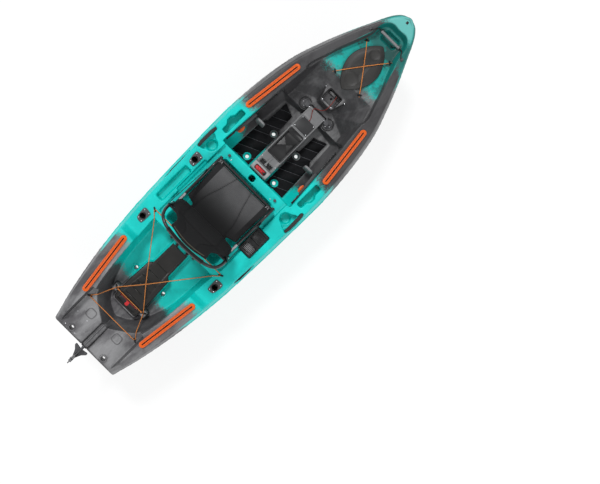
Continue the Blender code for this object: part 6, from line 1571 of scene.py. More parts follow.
@dataclass
class SmallGear:
    """The small pieces along the hull that only need eased edges and a finish."""

    def rows(self) -> list[Moulding]:
        """The pieces, each with its body and finishes."""
        rows = [Moulding("skid_plate", "hull", BLACK),
                Moulding("battery", "hull", BLACK, 0.002, STEEL, lambda c, n: c.z > 0.2302),
                Moulding("battery_strap", "battery_strap", BLACK, 0.0008, RED, lambda c, n: c.z > 0.2527 and
                         abs(c.y) < 0.0125),
                Moulding("pivot_shaft", "console", STEEL, 0.0006),
                Moulding("console_latch_pin", "console_latch", BLACK, 0.0008, STEEL, lambda c, n: math.hypot(
                    c.y, c.z - 0.195) < 0.0068),
                Moulding("rudder_gudgeon", "hull", CHARCOAL, 0.0008, STEEL, lambda c, n: math.hypot(
                    c.x + 1.632, c.y) < 0.0046),
                Moulding("rudder_head", "rudder_head", CHARCOAL, 0.0009),
                Moulding("blade_pin", "rudder_head", STEEL, 0.0005),
                Moulding("wire_gland", "hull", BLACK, 0.0009)]
        for side in Side:
            tag = side.tag
            rows += [Moulding(f"gunwale_pad_{tag}", "hull", RUBBER, 0.004),
                     Moulding(f"foot_rail_{tag}", "hull", BLACK, 0.0006),
                     Moulding(f"foot_brace_{tag}", f"foot_brace_{tag}", CHARCOAL, 0.0012),
                     Moulding(f"brace_trigger_{tag}", f"brace_trigger_{tag}", TRIGGER_ORANGE, 0.002),
                     Moulding(f"toe_pedal_{tag}", f"toe_pedal_{tag}", PEDAL_GREY, 0.0016),
                     Moulding(f"pivot_cap_{tag}", "hull", CHARCOAL, 0.0015)]
        return rows

    def build(self) -> None:
        """Builds every row."""
        for row in self.rows():
            row.build()


@dataclass
class FootwellPads:
    """The two foam floor pads with their slanted ends and diagonal drain grooves."""

    floor: float = 0.13
    thickness: float = 0.006
    outline: tuple = ((0.112, 0.250), (0.40, 0.238), (0.435, 0.212), (0.612, 0.205), (0.575, 0.108), (0.435, 0.104),
                      (0.425, 0.088), (0.112, 0.088))

    def build(self) -> None:
        """Builds the pads."""
        for side in Side:
            s = side.value
            pad = prism(f"foam_pad_{side.tag}", [(x, y * s) for x, y in self.outline], self.floor + GAP,
                        self.floor + self.thickness, FOAM)
            tools = [rod("hole", (x, y * s, 0.1), (x, y * s, 0.2), 0.0305, FOAM, 48) for x, y, _ in SCUPPERS[2:]]
            for k in range(7):
                x = 0.135 + 0.073 * k
                tools.append(prism("groove", stadium((x + 0.04 * s, 0.07 * s), (x - 0.05 * s, 0.27 * s), 0.0014, 4),
                                   self.floor + 0.0046, self.floor + 0.02, FOAM))
            joined(pad, tools, Joining.CARVE)
            painted(pad, GROOVE_GREY, lambda c, n: n.z > 0.5 and c.z < self.floor + 0.0055)
            softened(pad, 0.0005, 1, 40)
            mount(pad, "hull", FOAM, f"footwell_pad_{side.tag}")


@dataclass
class SideHandles:
    """The moulded carry handles in the side recesses."""

    pin_y: float = 0.426
    pin_z: float = 0.324

    def build(self) -> None:
        """Builds the handles."""
        for side in Side:
            x0, x1 = HANDLE_SPANS[side]
            middle, half, s = (x0 + x1) / 2, (x1 - x0) / 2, side.value
            arch = [(x0 + 0.010, 0, 0), (x0 + 0.014, 0.004, -0.018), (x0 + 0.030, 0.008, -0.034),
                    (middle, 0.009, -0.038), (x1 - 0.030, 0.008, -0.034), (x1 - 0.014, 0.004, -0.018),
                    (x1 - 0.010, 0, 0)]
            path = [Vector((x, (self.pin_y + y) * s, self.pin_z + z)) for x, y, z in smooth_path(arch, 8)]
            centre = Vector((middle, (self.pin_y + 0.009) * s, self.pin_z - 0.038))
            profile = [(0.0068, -half * 0.62)]
            for k in range(25):
                run = -half * 0.58 + half * 1.16 * k / 24
                profile.append((0.0093 - (0.0007 if k % 2 else 0.0), run))
            profile.append((0.0068, half * 0.62))
            pins = [rod("pin", (x, self.pin_y * s, self.pin_z), (end, self.pin_y * s, self.pin_z), 0.0045, BLACK, 20)
                    for x, end in ((x0 + 0.014, x0 + GAP), (x1 - 0.014, x1 - GAP))]
            piece = gathered(f"carry_handle_{side.tag}", [tube("bail", path, 0.0055, BLACK, 16), *pins,
                                                         turned("grip", profile, centre, X_AXIS, RUBBER, 28)])
            mount(piece, f"side_handle_{side.tag}", BLACK, f"side_handle_{side.tag}")


@dataclass
class SpeedControl:
    """The control box with its ribbed thumb roller and button panel."""

    centre_y: float = -0.326
    dial: tuple = (-0.300, 0.334)
    radius: float = 0.029
    half: float = 0.040

    def build(self) -> None:
        """Builds the box, the roller and the panel's buttons."""
        box = copied("control_box", "speed_box", BLACK, 0.0016)
        mount(box, "hull", BLACK, "control_box")
        x, z = self.dial
        ribs, outline = 16, []
        for k in range(ribs):
            for share, radius in ((0.0, self.radius), (0.34, self.radius), (0.5, self.radius - 0.004),
                                  (0.84, self.radius - 0.004)):
                angle = 2 * math.pi * (k + share) / ribs
                outline.append((x + radius * math.cos(angle), z + radius * math.sin(angle)))
        roller = softened(prism("roller", outline, self.centre_y - self.half, self.centre_y + self.half, BLACK,
                                PROFILE), 0.0005, 1)
        painted(roller, BLOCK_GREY, lambda c, n: math.hypot(c.x - x, c.z - z) > self.radius - 0.0012)
        axle = rod("axle", (x, self.centre_y - 0.048, z), (x, self.centre_y + 0.048, z), 0.005, STEEL, 24)
        mount(gathered("thumb_roller", [roller, axle]), "throttle_dial", PEDAL_GREY, "throttle_dial")
        dots = []
        for row in range(3):
            for column in range(2):
                dots.append(turned("dot", ((0.0, 0.0), (0.0042, 0.0), (0.004, 0.0011), (0.0032, 0.0015), (0.0, 0.0016)),
                                   Vector((-0.216 + 0.022 * column, self.centre_y - 0.016 + 0.016 * row, 0.3583)),
                                   Z_AXIS, RUBBER, 20))
        mount(gathered("panel_buttons", dots), "hull", RUBBER)


@dataclass
class BatteryLid:
    """The moulded lid over the battery with its rim, dished nose and hinge bar."""

    def build(self) -> None:
        """Builds the lid and its details."""
        lid = copied("battery_cover", "battery_lid", LID_BLACK, 0.0018, 3)
        mount(lid, "hull", LID_BLACK, "battery_cover")
        top = 0.2624
        ribs = [softened(prism("rib", rounded_box(-1.13 + 0.055 * k, -1.122 + 0.055 * k, -0.070, 0.070, 0.0035), top - 0.001,
                               top + 0.0012, LID_BLACK), 0.0005, 1) for k in range(5)]
        frame_bar = softened(prism("bar", rounded_box(-0.667, -0.657, -0.064, 0.064, 0.004), top - 0.004, top + 0.0016,
                                   BLACK), 0.001)
        knuckles = [softened(prism("knuckle", rounded_box(-0.655, -0.632, y - 0.010, y + 0.010, 0.003), 0.247, 0.2605,
                                   BLACK), 0.0015) for y in (-0.055, 0.040)]
        mount(gathered("lid_details", ribs + [frame_bar] + knuckles), "hull", BLACK)


@dataclass
class Seat:
    """The framed seat: bent tubes, a slung padded base and a padded back with straps."""

    hardware: Fasteners
    half: float = 0.25
    tube_radius: float = 0.011
    rail_y: float = 0.252
    pivot: tuple = (-0.445, 0.402)
    lug_y: float = 0.2395
    back_y: float = 0.262
    neck: float = 0.168
    seat_line: Callable = path_value(((-0.405, 0.392), (-0.30, 0.408), (-0.142, 0.455), (-0.07, 0.462), (0.0, 0.425),
                                      (0.02, 0.405)))
    back_line: Callable = path_value(((0.425, -0.402), (0.52, -0.410), (0.62, -0.432), (0.70, -0.474), (0.76, -0.518),
                                      (0.80, -0.556)))
    seam_line: Callable = path_value(((-0.415, 0.147), (-0.27, 0.138), (-0.14, 0.100), (0.0, 0.063)))

    def build(self) -> None:
        """Builds the frame, the base, the back and the straps."""
        self.frame()
        base = self.padded_panel("slung_base", *self.base_grid(96, 84), 0.007)
        painted(base, SIDE_CLOTH, lambda c, n: abs(c.y) > 0.19 or c.x < -0.345)
        mount(base, "hull", MESH_CLOTH, "seat_sling")
        back = self.padded_panel("padded_back", *self.back_grid(84, 72), 0.007)
        painted(back, SIDE_CLOTH, lambda c, n: abs(c.y) > 0.150 - 0.09 * smoothstep((c.z - 0.66) / 0.1))
        mount(back, "seat_back", MESH_CLOTH, "seat_back_pad")
        self.base_seams(base)
        self.back_seams(back)
        self.back_frame()
        self.straps()

    def frame(self) -> None:
        """The base's rails, arches, posts and cross bars."""
        rail_z, r = LINES.seat_ledge + self.tube_radius + GAP, self.tube_radius
        px, pz = self.pivot
        parts = []
        for side in Side:
            s = side.value
            parts.append(rod("rail", (-0.47, self.rail_y * s, rail_z), (0.02, self.rail_y * s, rail_z), r, TUBE_BLACK, 28,
                             0.003))
            arch = [Vector((-0.405 + 0.405 * k / 40, self.half * s, self.seat_line(-0.405 + 0.405 * k / 40)))
                    for k in range(41)]
            parts.append(tube("arch", arch, r, TUBE_BLACK, 24))
            for x in (-0.405, -0.25, 0.0):
                parts.append(rod("post", (x, self.rail_y * s, rail_z), (x, self.half * s, self.seat_line(x)), 0.009,
                                 TUBE_BLACK, 24))
            parts.append(rod("lug", (px, self.lug_y * s, rail_z), (px, self.lug_y * s, pz + 0.008), 0.0095, TUBE_BLACK,
                             24, 0.002))
            parts.append(turned("pin", ((0.004, 0.0), (0.004, 0.034), (0.007, 0.034), (0.007, 0.0364), (0.0058, 0.037),
                                        (0.0, 0.037)), Vector((px, self.lug_y * s, pz)), Vector((0, s, 0)), STEEL, 24))
        for x in (0.0, -0.405):
            z = self.seat_line(x)
            parts.append(rod("bar", (x, -self.half, z), (x, self.half, z), r, TUBE_BLACK, 28, 0.002))
        mount(gathered("seat_tubes", parts), "hull", TUBE_BLACK, "seat_frame")
        bars = []
        for side in Side:
            xs = [-0.398 + 0.060 * k / 8 for k in range(9)]
            rings = [[Vector((x, (self.half + dy) * side.value, self.seat_line(x) + self.tube_radius + dz))
                      for dy, dz in ((-0.007, 0.0002), (0.007, 0.0002), (0.007, 0.0018), (-0.007, 0.0018))] for x in xs]
            bars.append(loft("bar", rings, STEEL))
        mount(gathered("hinge_bars", bars), "hull", STEEL)

    def base_grid(self, rows: int, columns: int) -> tuple:
        """The slung base's upper and lower points, row by row from aft."""
        x0, x1 = -0.405 + self.tube_radius + GAP, -self.tube_radius - GAP
        full = self.half - self.tube_radius - GAP
        top, bottom = [], []
        for i in range(rows + 1):
            u = i / rows
            x = x0 + (x1 - x0) * u
            ends = 1 - abs(2 * u - 1) ** 6
            half = self.neck + (full - self.neck) * smoothstep((x + 0.365) / 0.035)
            for j in range(columns + 1):
                v = -1 + 2 * j / columns
                edge = 1 - abs(v) ** 4
                y = half * v * (1 - 0.01 * math.sin(math.pi * u))
                seam = math.exp(-((abs(y) - self.seam_line(x)) / 0.006) ** 2)
                z = self.seat_line(x) - 0.016 * (1 - v * v) * math.sin(math.pi * u)
                top.append(Vector((x, y, z + 0.004 + 0.0085 * edge * ends - 0.0042 * seam * ends)))
                bottom.append(Vector((x, y, z - 0.004 - 0.004 * edge * ends)))
        return top, bottom, rows, columns

    def back_grid(self, rows: int, columns: int) -> tuple:
        """The back pad's rear and front points, row by row from below."""
        front, rear = [], []
        for i in range(rows + 1):
            u = i / rows
            z = 0.428 + 0.371 * u
            ends = 1 - abs(2 * u - 1) ** 8
            half = self.neck + 0.0829 * smoothstep((z - 0.478) / 0.040) - 0.094 * smoothstep((u - 0.60) / 0.30)
            thick = (0.011 + 0.012 * math.exp(-((u - 0.3) / 0.25) ** 2)) * (1 - 0.6 * smoothstep((u - 0.66) / 0.1))
            side_seam = 0.150 - 0.09 * smoothstep((z - 0.66) / 0.1)
            for j in range(columns + 1):
                v = -1 + 2 * j / columns
                y, edge = half * v, 1 - abs(v) ** 4
                seam = 0.0045 * max(math.exp(-((u - 0.70) / 0.018) ** 2), math.exp(-((abs(y) - side_seam) / 0.006) ** 2))
                x = self.back_line(z) - 0.030 * (1 - v * v) * (0.35 + 0.65 * u) + 0.028
                front.append(Vector((x + 0.003 + (thick - seam) * edge * ends, y, z)))
                bolster = smoothstep((abs(v) - 0.8) / 0.18) * (1 - smoothstep((u - 0.52) / 0.12))
                bolster *= smoothstep((z - 0.478) / 0.040)
                behind = x - 0.003 - 0.004 * edge * ends
                rear.append(Vector((behind + (self.pivot[0] - 0.003 - behind) * bolster, y, z)))
        return rear, front, rows, columns

    def padded_panel(self, name: str, first: Sequence, second: Sequence, rows: int, columns: int, cap: float) -> Obj:
        """Closes two grids into a body and swells it as stuffed cloth.

        Args:
            name: the piece's name.
            first: one face's points.
            second: the other face's points.
            rows: spans in the first direction.
            columns: spans in the second.
            cap: how far the cloth may move from its pattern.

        Returns:
            The swollen panel.
        """
        wide, base, faces = columns + 1, len(first), []
        for i in range(rows):
            for j in range(columns):
                a, b, c, d = i * wide + j, i * wide + j + 1, (i + 1) * wide + j + 1, (i + 1) * wide + j
                faces += [(a, b, c, d), (base + d, base + c, base + b, base + a)]
        rim = (list(range(wide)) + [i * wide + columns for i in range(1, rows + 1)]
               + [rows * wide + j for j in range(columns - 1, -1, -1)] + [i * wide for i in range(rows - 1, 0, -1)])
        for k, a in enumerate(rim):
            b = rim[(k + 1) % len(rim)]
            faces.append((a, b, base + b, base + a))
        panel = solid(name, list(first) + list(second), faces, MESH_CLOTH, 60)
        return self.swollen(panel, cap)

    def swollen(self, panel: Obj, cap: float) -> Obj:
        """Runs the cloth under pressure and keeps each point within its cap."""
        start = [v.co.copy() for v in panel.data.vertices]
        cloth = panel.modifiers.new("Cloth", "CLOTH")
        settings = cloth.settings
        settings.quality = 6
        settings.use_pressure = True
        settings.uniform_pressure_force = 2.5
        settings.tension_stiffness = settings.compression_stiffness = 18
        settings.bending_stiffness = 1.2
        settings.effector_weights.gravity = 0
        scene = bpy.context.scene
        for number in range(1, 19):
            scene.frame_set(number)
        flattened(panel)
        for vertex, origin in zip(panel.data.vertices, start):
            move = vertex.co - origin
            if move.length > cap:
                vertex.co = origin + move * (cap / move.length)
        scene.frame_set(1)
        smooth = panel.modifiers.new("Ease", "SMOOTH")
        smooth.factor, smooth.iterations = 0.4, 2
        flattened(panel)
        shade(panel.data, 60.0)
        return panel

    def laid(self, panel: Obj, route: Sequence[Vector], way: Vector, lift: float = 0.0) -> list[Vector]:
        """Drops a route onto a panel along a direction."""
        tree = BVHTree.FromPolygons([v.co for v in panel.data.vertices],
                                    [tuple(face.vertices) for face in panel.data.polygons])
        result = []
        for point in route:
            hit, normal, _, _ = tree.ray_cast(point - way * 0.15, way)
            if hit:
                result.append(hit - way * lift)
        return result

    def stitched(self, name: str, body: str, routes: Sequence[Sequence[Vector]], finish: Finish) -> None:
        """Sets a row of stitches along each route."""
        pattern = template(tube("stitch", [Vector((-0.0017 + 0.0034 * k / 4, 0, 0.0005 * math.sin(math.pi * k / 4)))
                                           for k in range(5)], 0.00045, finish, 6))
        places = []
        for route in routes:
            run = 0.0
            for a, b in zip(route, route[1:]):
                length = (b - a).length
                while run < length:
                    way = (b - a).normalized()
                    places.append((a.lerp(b, run / length), Vector(X_AXIS.rotation_difference(way).to_euler())))
                    run += 0.0052
                run -= length
        rows = Repeater(pattern, finish)
        mount(rows.spread(name, places), body, finish)
        forget(rows)

    def base_seams(self, base: Obj) -> None:
        """The base's two curved seams with their stitches, its front binding and its buckles."""
        down = Vector((0, 0, -1))
        lines, rows = [], []
        for side in Side:
            s = side.value
            xs = [-0.385 + 0.365 * k / 50 for k in range(51)]
            route = self.laid(base, [Vector((x, self.seam_line(x) * s, 0.45)) for x in xs], down, 0.0004)
            lines.append(tube("seam", route, 0.0016, SIDE_CLOTH, 8))
            for offset in (-0.0075, 0.0075):
                rows.append(self.laid(base, [Vector((x, (self.seam_line(x) + offset) * s, 0.45)) for x in xs], down))
        for x in (-0.386, -0.0185):
            ys = [-0.225 + 0.45 * k / 60 for k in range(61)]
            route = self.laid(base, [Vector((x, y, 0.45)) for y in ys], down, 0.0002)
            lines.append(tube("binding", route, 0.0022, SIDE_CLOTH, 8))
        mount(gathered("base_seams", lines), "hull", SIDE_CLOTH)
        self.stitched("base_stitches", "hull", rows, SIDE_CLOTH)
        buckles = []
        for y in (0.228, -0.215):
            z = self.seat_line(-0.013) + 0.0165
            outer = rounded_box(-0.026, -0.002, y - 0.012, y + 0.012, 0.003)
            plate = prism("buckle", outer, z, z + 0.0020, BUCKLE_GREY)
            windows = [prism("window", rounded_box(a, b, y - 0.0088, y + 0.0088, 0.0015), z - 0.01, z + 0.01,
                             BUCKLE_GREY) for a, b in ((-0.0235, -0.0155), (-0.0125, -0.0045))]
            buckles.append(softened(joined(plate, windows, Joining.CARVE), 0.0006))
            buckles.append(softened(prism("tab", rounded_box(-0.060, 0.006, y - 0.0086, y + 0.0086, 0.001), z - 0.0016,
                                          z + 0.0008, WEBBING), 0.0004, 1))
        mount(gathered("seat_buckles", buckles), "hull", BUCKLE_GREY)

    def back_seams(self, back: Obj) -> None:
        """The back's waist seam, its piping and the pale strip along the top bar."""
        aft = Vector((-1, 0, 0))
        waist = self.laid(back, [Vector((-0.3, -0.19 + 0.38 * k / 50, 0.688)) for k in range(51)], aft, 0.0004)
        sides = [self.laid(back, [Vector((-0.3, (0.150 - 0.09 * smoothstep((0.44 + 0.0065 * k - 0.66) / 0.1)) * s.value,
                                          0.44 + 0.0065 * k)) for k in range(53)], aft, 0.0004) for s in Side]
        parts = [tube("seam", route, 0.0016, SIDE_CLOTH, 8) for route in [waist] + sides]
        mount(gathered("back_seams", parts), "seat_back", SIDE_CLOTH)
        top = self.laid(back, [Vector((-0.3, -0.135 + 0.27 * k / 50, 0.792 - 0.004 * (k / 25 - 1) ** 4))
                               for k in range(51)], aft, 0.0012)
        mount(tube("back_piping", top, 0.0024, PIPING, 10), "seat_back", PIPING)
        self.stitched("back_stitches", "seat_back", [[p + Vector((0, 0, 0.007)) for p in waist],
                                                     [p - Vector((0, 0, 0.007)) for p in waist]], SIDE_CLOTH)

    def back_path(self, steps: int = 8) -> list[Vector]:
        """The back's bent tube, from one foot over the top to the other."""
        px, pz = self.pivot
        y = self.back_y
        half = [(px, y, pz + 0.0122), (px - 0.004, y, 0.50), (px - 0.004, y, 0.60), (px - 0.012, y, 0.66),
                (px - 0.045, y - 0.004, 0.725), (px - 0.080, y - 0.026, 0.778), (px - 0.107, y - 0.084, 0.803),
                (px - 0.120, 0.09, 0.812), (px - 0.124, 0.0, 0.813)]
        path = smooth_path(half, steps)
        return path + [Vector((p.x, -p.y, p.z)) for p in reversed(path[:-1])]

    def back_frame(self) -> None:
        """The back's tubes, pivot eyes and cross bars, with a cloth sleeve and its hems over the top."""
        px, pz = self.pivot
        parts = [tube("back_tube", self.back_path(), self.tube_radius, TUBE_BLACK, 24)]
        for side in Side:
            s = side.value
            parts.append(turned("eye", ((0.0043, 0.0098), (0.0133, 0.0098), (0.0143, 0.0108), (0.0143, 0.0315),
                                        (0.0133, 0.0325), (0.0043, 0.0325)), Vector((px, self.lug_y * s, pz)),
                                Vector((0, s, 0)), TUBE_BLACK, 32, bored=True))
        for z in (0.46, 0.64):
            x = px - 0.005 if z < 0.5 else px - 0.010
            parts.append(rod("bar", (x, -self.back_y, z), (x, self.back_y, z), 0.008, TUBE_BLACK, 24))
        mount(gathered("back_tubes", parts), "seat_back", TUBE_BLACK, "seat_back_frame")
        over = [p for p in self.back_path() if abs(p.y) < 0.168]
        sleeve = tube("tube_sleeve", over, self.tube_radius + 0.0026, SIDE_CLOTH, 28)
        painted(sleeve, SLEEVE_CLOTH, lambda c, n: n.x < -0.25 and n.z > -0.1)
        hems = [tube("hem", [p + Vector((0.0125, 0, -0.0068)) for p in over], 0.0022, PIPING, 10)]
        hems += [tube("hem", self.around(over, end), 0.0016, SIDE_CLOTH, 8, cyclic=True) for end in (1, -2)]
        mount(gathered("back_sleeve", [sleeve, *hems]), "seat_back", SIDE_CLOTH)

    def around(self, path: Sequence[Vector], index: int) -> list[Vector]:
        """A ring round the sleeve at one point of its path."""
        point, a, b = frames_along(path)[index]
        reach = self.tube_radius + 0.0030
        return [point + (a * math.cos(t) + b * math.sin(t)) * reach for t in (2 * math.pi * k / 28 for k in range(28))]

    def straps(self) -> None:
        """The webbing that holds the back up."""
        for side in Side:
            s = side.value
            start, end = Vector((-0.455, 0, 0.655)), Vector((-0.115, 0, 0.466))
            across = (end - start).cross(Y_AXIS).normalized()
            rings = []
            for k in range(41):
                t = k / 40
                place = start.lerp(end, t)
                y = (self.back_y + 0.0006) * (1 - t) + self.half * t + self.tube_radius + GAP
                belly = 0.0012 * math.sin(math.pi * t)
                inner, outer = (y + belly) * s, (y + belly + 0.0022) * s
                rings.append([place + across * 0.016 + Y_AXIS * inner, place - across * 0.016 + Y_AXIS * inner,
                              place - across * 0.016 + Y_AXIS * outer, place + across * 0.016 + Y_AXIS * outer])
            strap = loft(f"webbing_{side.tag}", rings, WEBBING)
            layer = strap.data.uv_layers["cloth"].data
            for item in layer:
                item.uv = (item.uv[0] * 0.064, item.uv[1])
            strap.parent = None
            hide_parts(f"back_strap_{side.tag}")
            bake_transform(strap)
            LOG.info("%s: %d faces between hull and seat_back", strap.name, len(strap.data.polygons))


@dataclass
class Console:
    """The tilting console: its deck, gear tray, cover plate, rocker, pull bar and lead."""

    hardware: Fasteners
    top: float = 0.236
    block: float = 0.262

    def build(self) -> None:
        """Builds the console's pieces."""
        deck = copied("console_deck", "console_shell", CONSOLE_GREY, 0.0018, 3)
        painted(deck, BLACK, lambda c, n: c.z < self.top - 0.0075 and abs(c.y) < 0.0672 and 0.116 < c.x < 0.69)
        painted(deck, BLOCK_GREY, lambda c, n: c.x < 0.172 and c.z > self.top - 0.03)
        mount(deck, "console", CONSOLE_GREY, "console_deck")
        for row in (Moulding("console_tray", "console", BLACK, 0.0008),
                    Moulding("console_cover", "console", COVER_GREY, 0.0012),
                    Moulding("release_lever", "release_lever", CONSOLE_GREY, 0.001),
                    Moulding("power_button", "power_button", RED, 0.0012, BLACK, lambda c, n: abs(c.y) > 0.019)):
            row.build()
        self.trim()
        self.lead()

    def trim(self) -> None:
        """Beads, slot bezels and screws on the deck, and screws in the bearing caps."""
        top = self.top
        ridge = softened(prism("ridge", rounded_box(0.1735, 0.1815, -0.066, 0.066, 0.003), top - 0.001, top + 0.0035,
                               CONSOLE_GREY), 0.001)
        bezels = []
        for x0, x1, y0, y1 in ((0.186, 0.214, -0.050, 0.050), (0.128, 0.156, -0.046, 0.046)):
            z = top if x0 > 0.16 else self.block
            ring = prism("bezel", rounded_box(x0 - 0.004, x1 + 0.004, y0 - 0.004, y1 + 0.004, 0.011), z - 0.0005, z + 0.0014,
                         BLACK)
            hole = prism("hole", rounded_box(x0, x1, y0, y1, 0.008), z - 0.01, z + 0.01, BLACK)
            bezels.append(softened(joined(ring, [hole], Joining.CARVE), 0.0005))
            cup = prism("cup", rounded_box(x0 + 0.0004, x1 - 0.0004, y0 + 0.0004, y1 - 0.0004, 0.0076), top - 0.022,
                        top - 0.004, BLACK)
            inside = prism("inside", rounded_box(x0 + 0.0018, x1 - 0.0018, y0 + 0.0018, y1 - 0.0018, 0.0062),
                           top - 0.020, top + 0.02, BLACK)
            bezels.append(joined(cup, [inside], Joining.CARVE))
        front = softened(prism("front_bead", rounded_box(0.636, 0.690, -0.060, 0.060, 0.008), top - 0.0005, top + 0.0016,
                               CONSOLE_GREY), 0.0008)
        mount(gathered("console_trim", [ridge, front]), "console", CONSOLE_GREY)
        mount(gathered("slot_bezels", bezels), "console", BLACK)
        places = [(Vector((x, y, top + 0.0004)), Vector()) for x in (0.2265, 0.5225) for y in (-0.064, 0.064)]
        places += [(Vector((x, y, top + 0.0068)), Vector()) for x in (0.541, 0.620) for y in (-0.052, 0.052)]
        mount(self.hardware.screw.spread("console_screws", places), "console", STEEL)
        caps = []
        for side in Side:
            for dx, dy in ((0.0, 0.019), (-0.019, -0.004), (0.019, -0.004)):
                caps.append((Vector((0.705 + dx, (0.110 + dy) * side.value, LINES.step + 0.0062)), Vector()))
        mount(self.hardware.screw.spread("bearing_screws", caps), "hull", STEEL)

    def lead(self) -> None:
        """The motor's lead, a single cord from the gland into the console's cover."""
        points = [(0.878, -0.018, 0.2865), (0.874, -0.018, 0.302), (0.850, -0.022, 0.312), (0.800, -0.028, 0.310),
                  (0.762, -0.026, 0.296), (0.738, -0.006, 0.262), (0.722, 0.030, 0.2455), (0.700, 0.036, 0.2445),
                  (0.672, 0.018, 0.2435), (0.648, 0.004, 0.2420), (0.6285, 0.001, 0.2415)]
        route = smooth_path(points, 8)
        length = sum((b - a).length for a, b in zip(route, route[1:]))
        lead = tube("motor_cable", route, 0.0025, LEAD, 16)
        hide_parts("motor_lead")
        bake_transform(lead)
        LOG.info("motor_cable: %.3f m between hull and console", length)


@dataclass
class Motor:
    """The motor pod on its faired column, and the two-blade propeller."""

    radius: float = 0.045
    axis_z: float = -0.055
    aft: float = 0.464
    nose: float = 0.787
    prop_x: float = 0.441
    prop_radius: float = 0.12

    def build(self) -> None:
        """Builds the pod, its column, band and propeller; the magnets and rotor keep their frame shape."""
        self.pod()
        self.column()
        Moulding("motor_band", "console", BLACK, 0.0006).build()
        Moulding("motor_magnets", "console", STEEL, 0.0005).build()
        Moulding("motor_rotor", "propeller", STEEL, 0.0005).build()
        self.propeller()

    def pod(self) -> None:
        """The painted tube with its ogive nose, end joints and swept skeg."""
        r, length, nose = self.radius, self.nose - self.aft, 0.105
        straight = length - nose
        profile = [(0.0053, 0.0), (r - 0.004, 0.0), (r - 0.0012, 0.0008), (r, 0.003), (r, 0.0190), (r - 0.0008, 0.0194),
                   (r - 0.0008, 0.0206), (r, 0.0210), (r, 0.0867), (r - 0.002, 0.0867), (r - 0.002, 0.1073), (r, 0.1073),
                   (r, straight - 0.006), (r - 0.0008, straight - 0.0054), (r - 0.0008, straight - 0.0042)]
        profile += [(r * (1 - (k / 28) ** 1.8), straight + nose * (k / 28) ** 0.85) for k in range(28)]
        profile.append((0.0, length))
        shell = turned("pod", profile, Vector((self.aft, 0, self.axis_z)), X_AXIS, WHITE_PAINT, 72)
        root = self.axis_z - r + 0.006
        points = ((0.632, root), (0.742, root + 0.006), (0.733, -0.105), (0.716, -0.128), (0.680, -0.164),
                  (0.640, -0.196), (0.625, -0.1995), (0.612, -0.200), (0.607, -0.190), (0.620, -0.158), (0.630, -0.125))
        skeg = softened(prism("skeg", points, -0.0035, 0.0035, WHITE_PAINT, PROFILE), 0.0026, 3)
        mount(gathered("motor_pod", [shell, skeg]), "console", WHITE_PAINT, "motor_housing")

    def column(self) -> None:
        """The faired leg, swept finely between its head and the pod."""
        stations = ((0.2297, 0.560, 0.672, 0.052), (0.222, 0.560, 0.672, 0.052), (0.216, 0.566, 0.664, 0.020),
                    (0.10, 0.560, 0.664, 0.017), (0.02, 0.545, 0.676, 0.017), (0.0, 0.520, 0.694, 0.024),
                    (-0.024, 0.510, 0.700, 0.028))
        lines = [path_value([(-row[0], row[k]) for row in stations]) for k in (1, 2, 3)]
        rings = []
        for k in range(61):
            z = 0.2297 - 0.2537 * k / 60
            x0, x1, half = (line(-z) for line in lines)
            rings.append([Vector(((x0 + x1) / 2 + (x1 - x0) / 2 * math.cos(a), half * math.sin(a), z))
                          for a in (2 * math.pi * i / 56 for i in range(56))])
        leg = loft("motor_leg", rings, BLACK, 50)
        saddle = rod("saddle", (0.4, 0, self.axis_z), (0.9, 0, self.axis_z), self.radius + GAP, BLACK, 96)
        joined(leg, [saddle], Joining.CARVE, 50)
        mount(leg, "console", BLACK, "motor_column")

    def propeller(self) -> None:
        """The hub with its rounded cap and two twisted blades of foil section."""
        fore, aft = self.aft - 0.0015, self.prop_x - 0.021
        hub = turned("hub", ((0.0, aft - 0.006), (0.009, aft - 0.0058), (0.016, aft - 0.005), (0.024, aft - 0.003),
                             (0.030, aft), (0.0365, aft + 0.004), (0.0398, aft + 0.009), (0.040, aft + 0.012),
                             (0.040, fore - 0.002), (0.0388, fore - 0.0006), (0.038, fore), (0.0, fore)),
                     Vector((0, 0, self.axis_z)), X_AXIS, BLACK, 56)
        blades = []
        for turn in (0, math.pi):
            rings = []
            for k in range(29):
                t = k / 28
                radius = 0.030 + (self.prop_radius - 0.030) * t
                tip = math.sqrt(max(0.02, 1 - max(0.0, (t - 0.86) / 0.14) ** 2))
                chord = (0.019 + 0.010 * math.sin(math.pi * min(t * 1.15, 1.0)) - 0.010 * t**4) * tip
                pitch, sweep = math.radians(58 - 34 * t), -0.012 * t * t
                ring = []
                for a in (2 * math.pi * i / 24 for i in range(24)):
                    c, n = chord * math.cos(a), (0.0034 - 0.0016 * t) * math.sin(a) * (1 + 0.3 * math.cos(a))
                    point = Vector((c * math.cos(pitch) - n * math.sin(pitch),
                                    c * math.sin(pitch) + n * math.cos(pitch) + sweep, radius))
                    ring.append(Matrix.Rotation(turn, 3, "X") @ point + Vector((self.prop_x, 0, self.axis_z)))
                rings.append(ring)
            blades.append(loft("blade", rings, BLACK, 60))
        mount(gathered("screw_propeller", [hub, *blades]), "propeller", BLACK, "propeller")


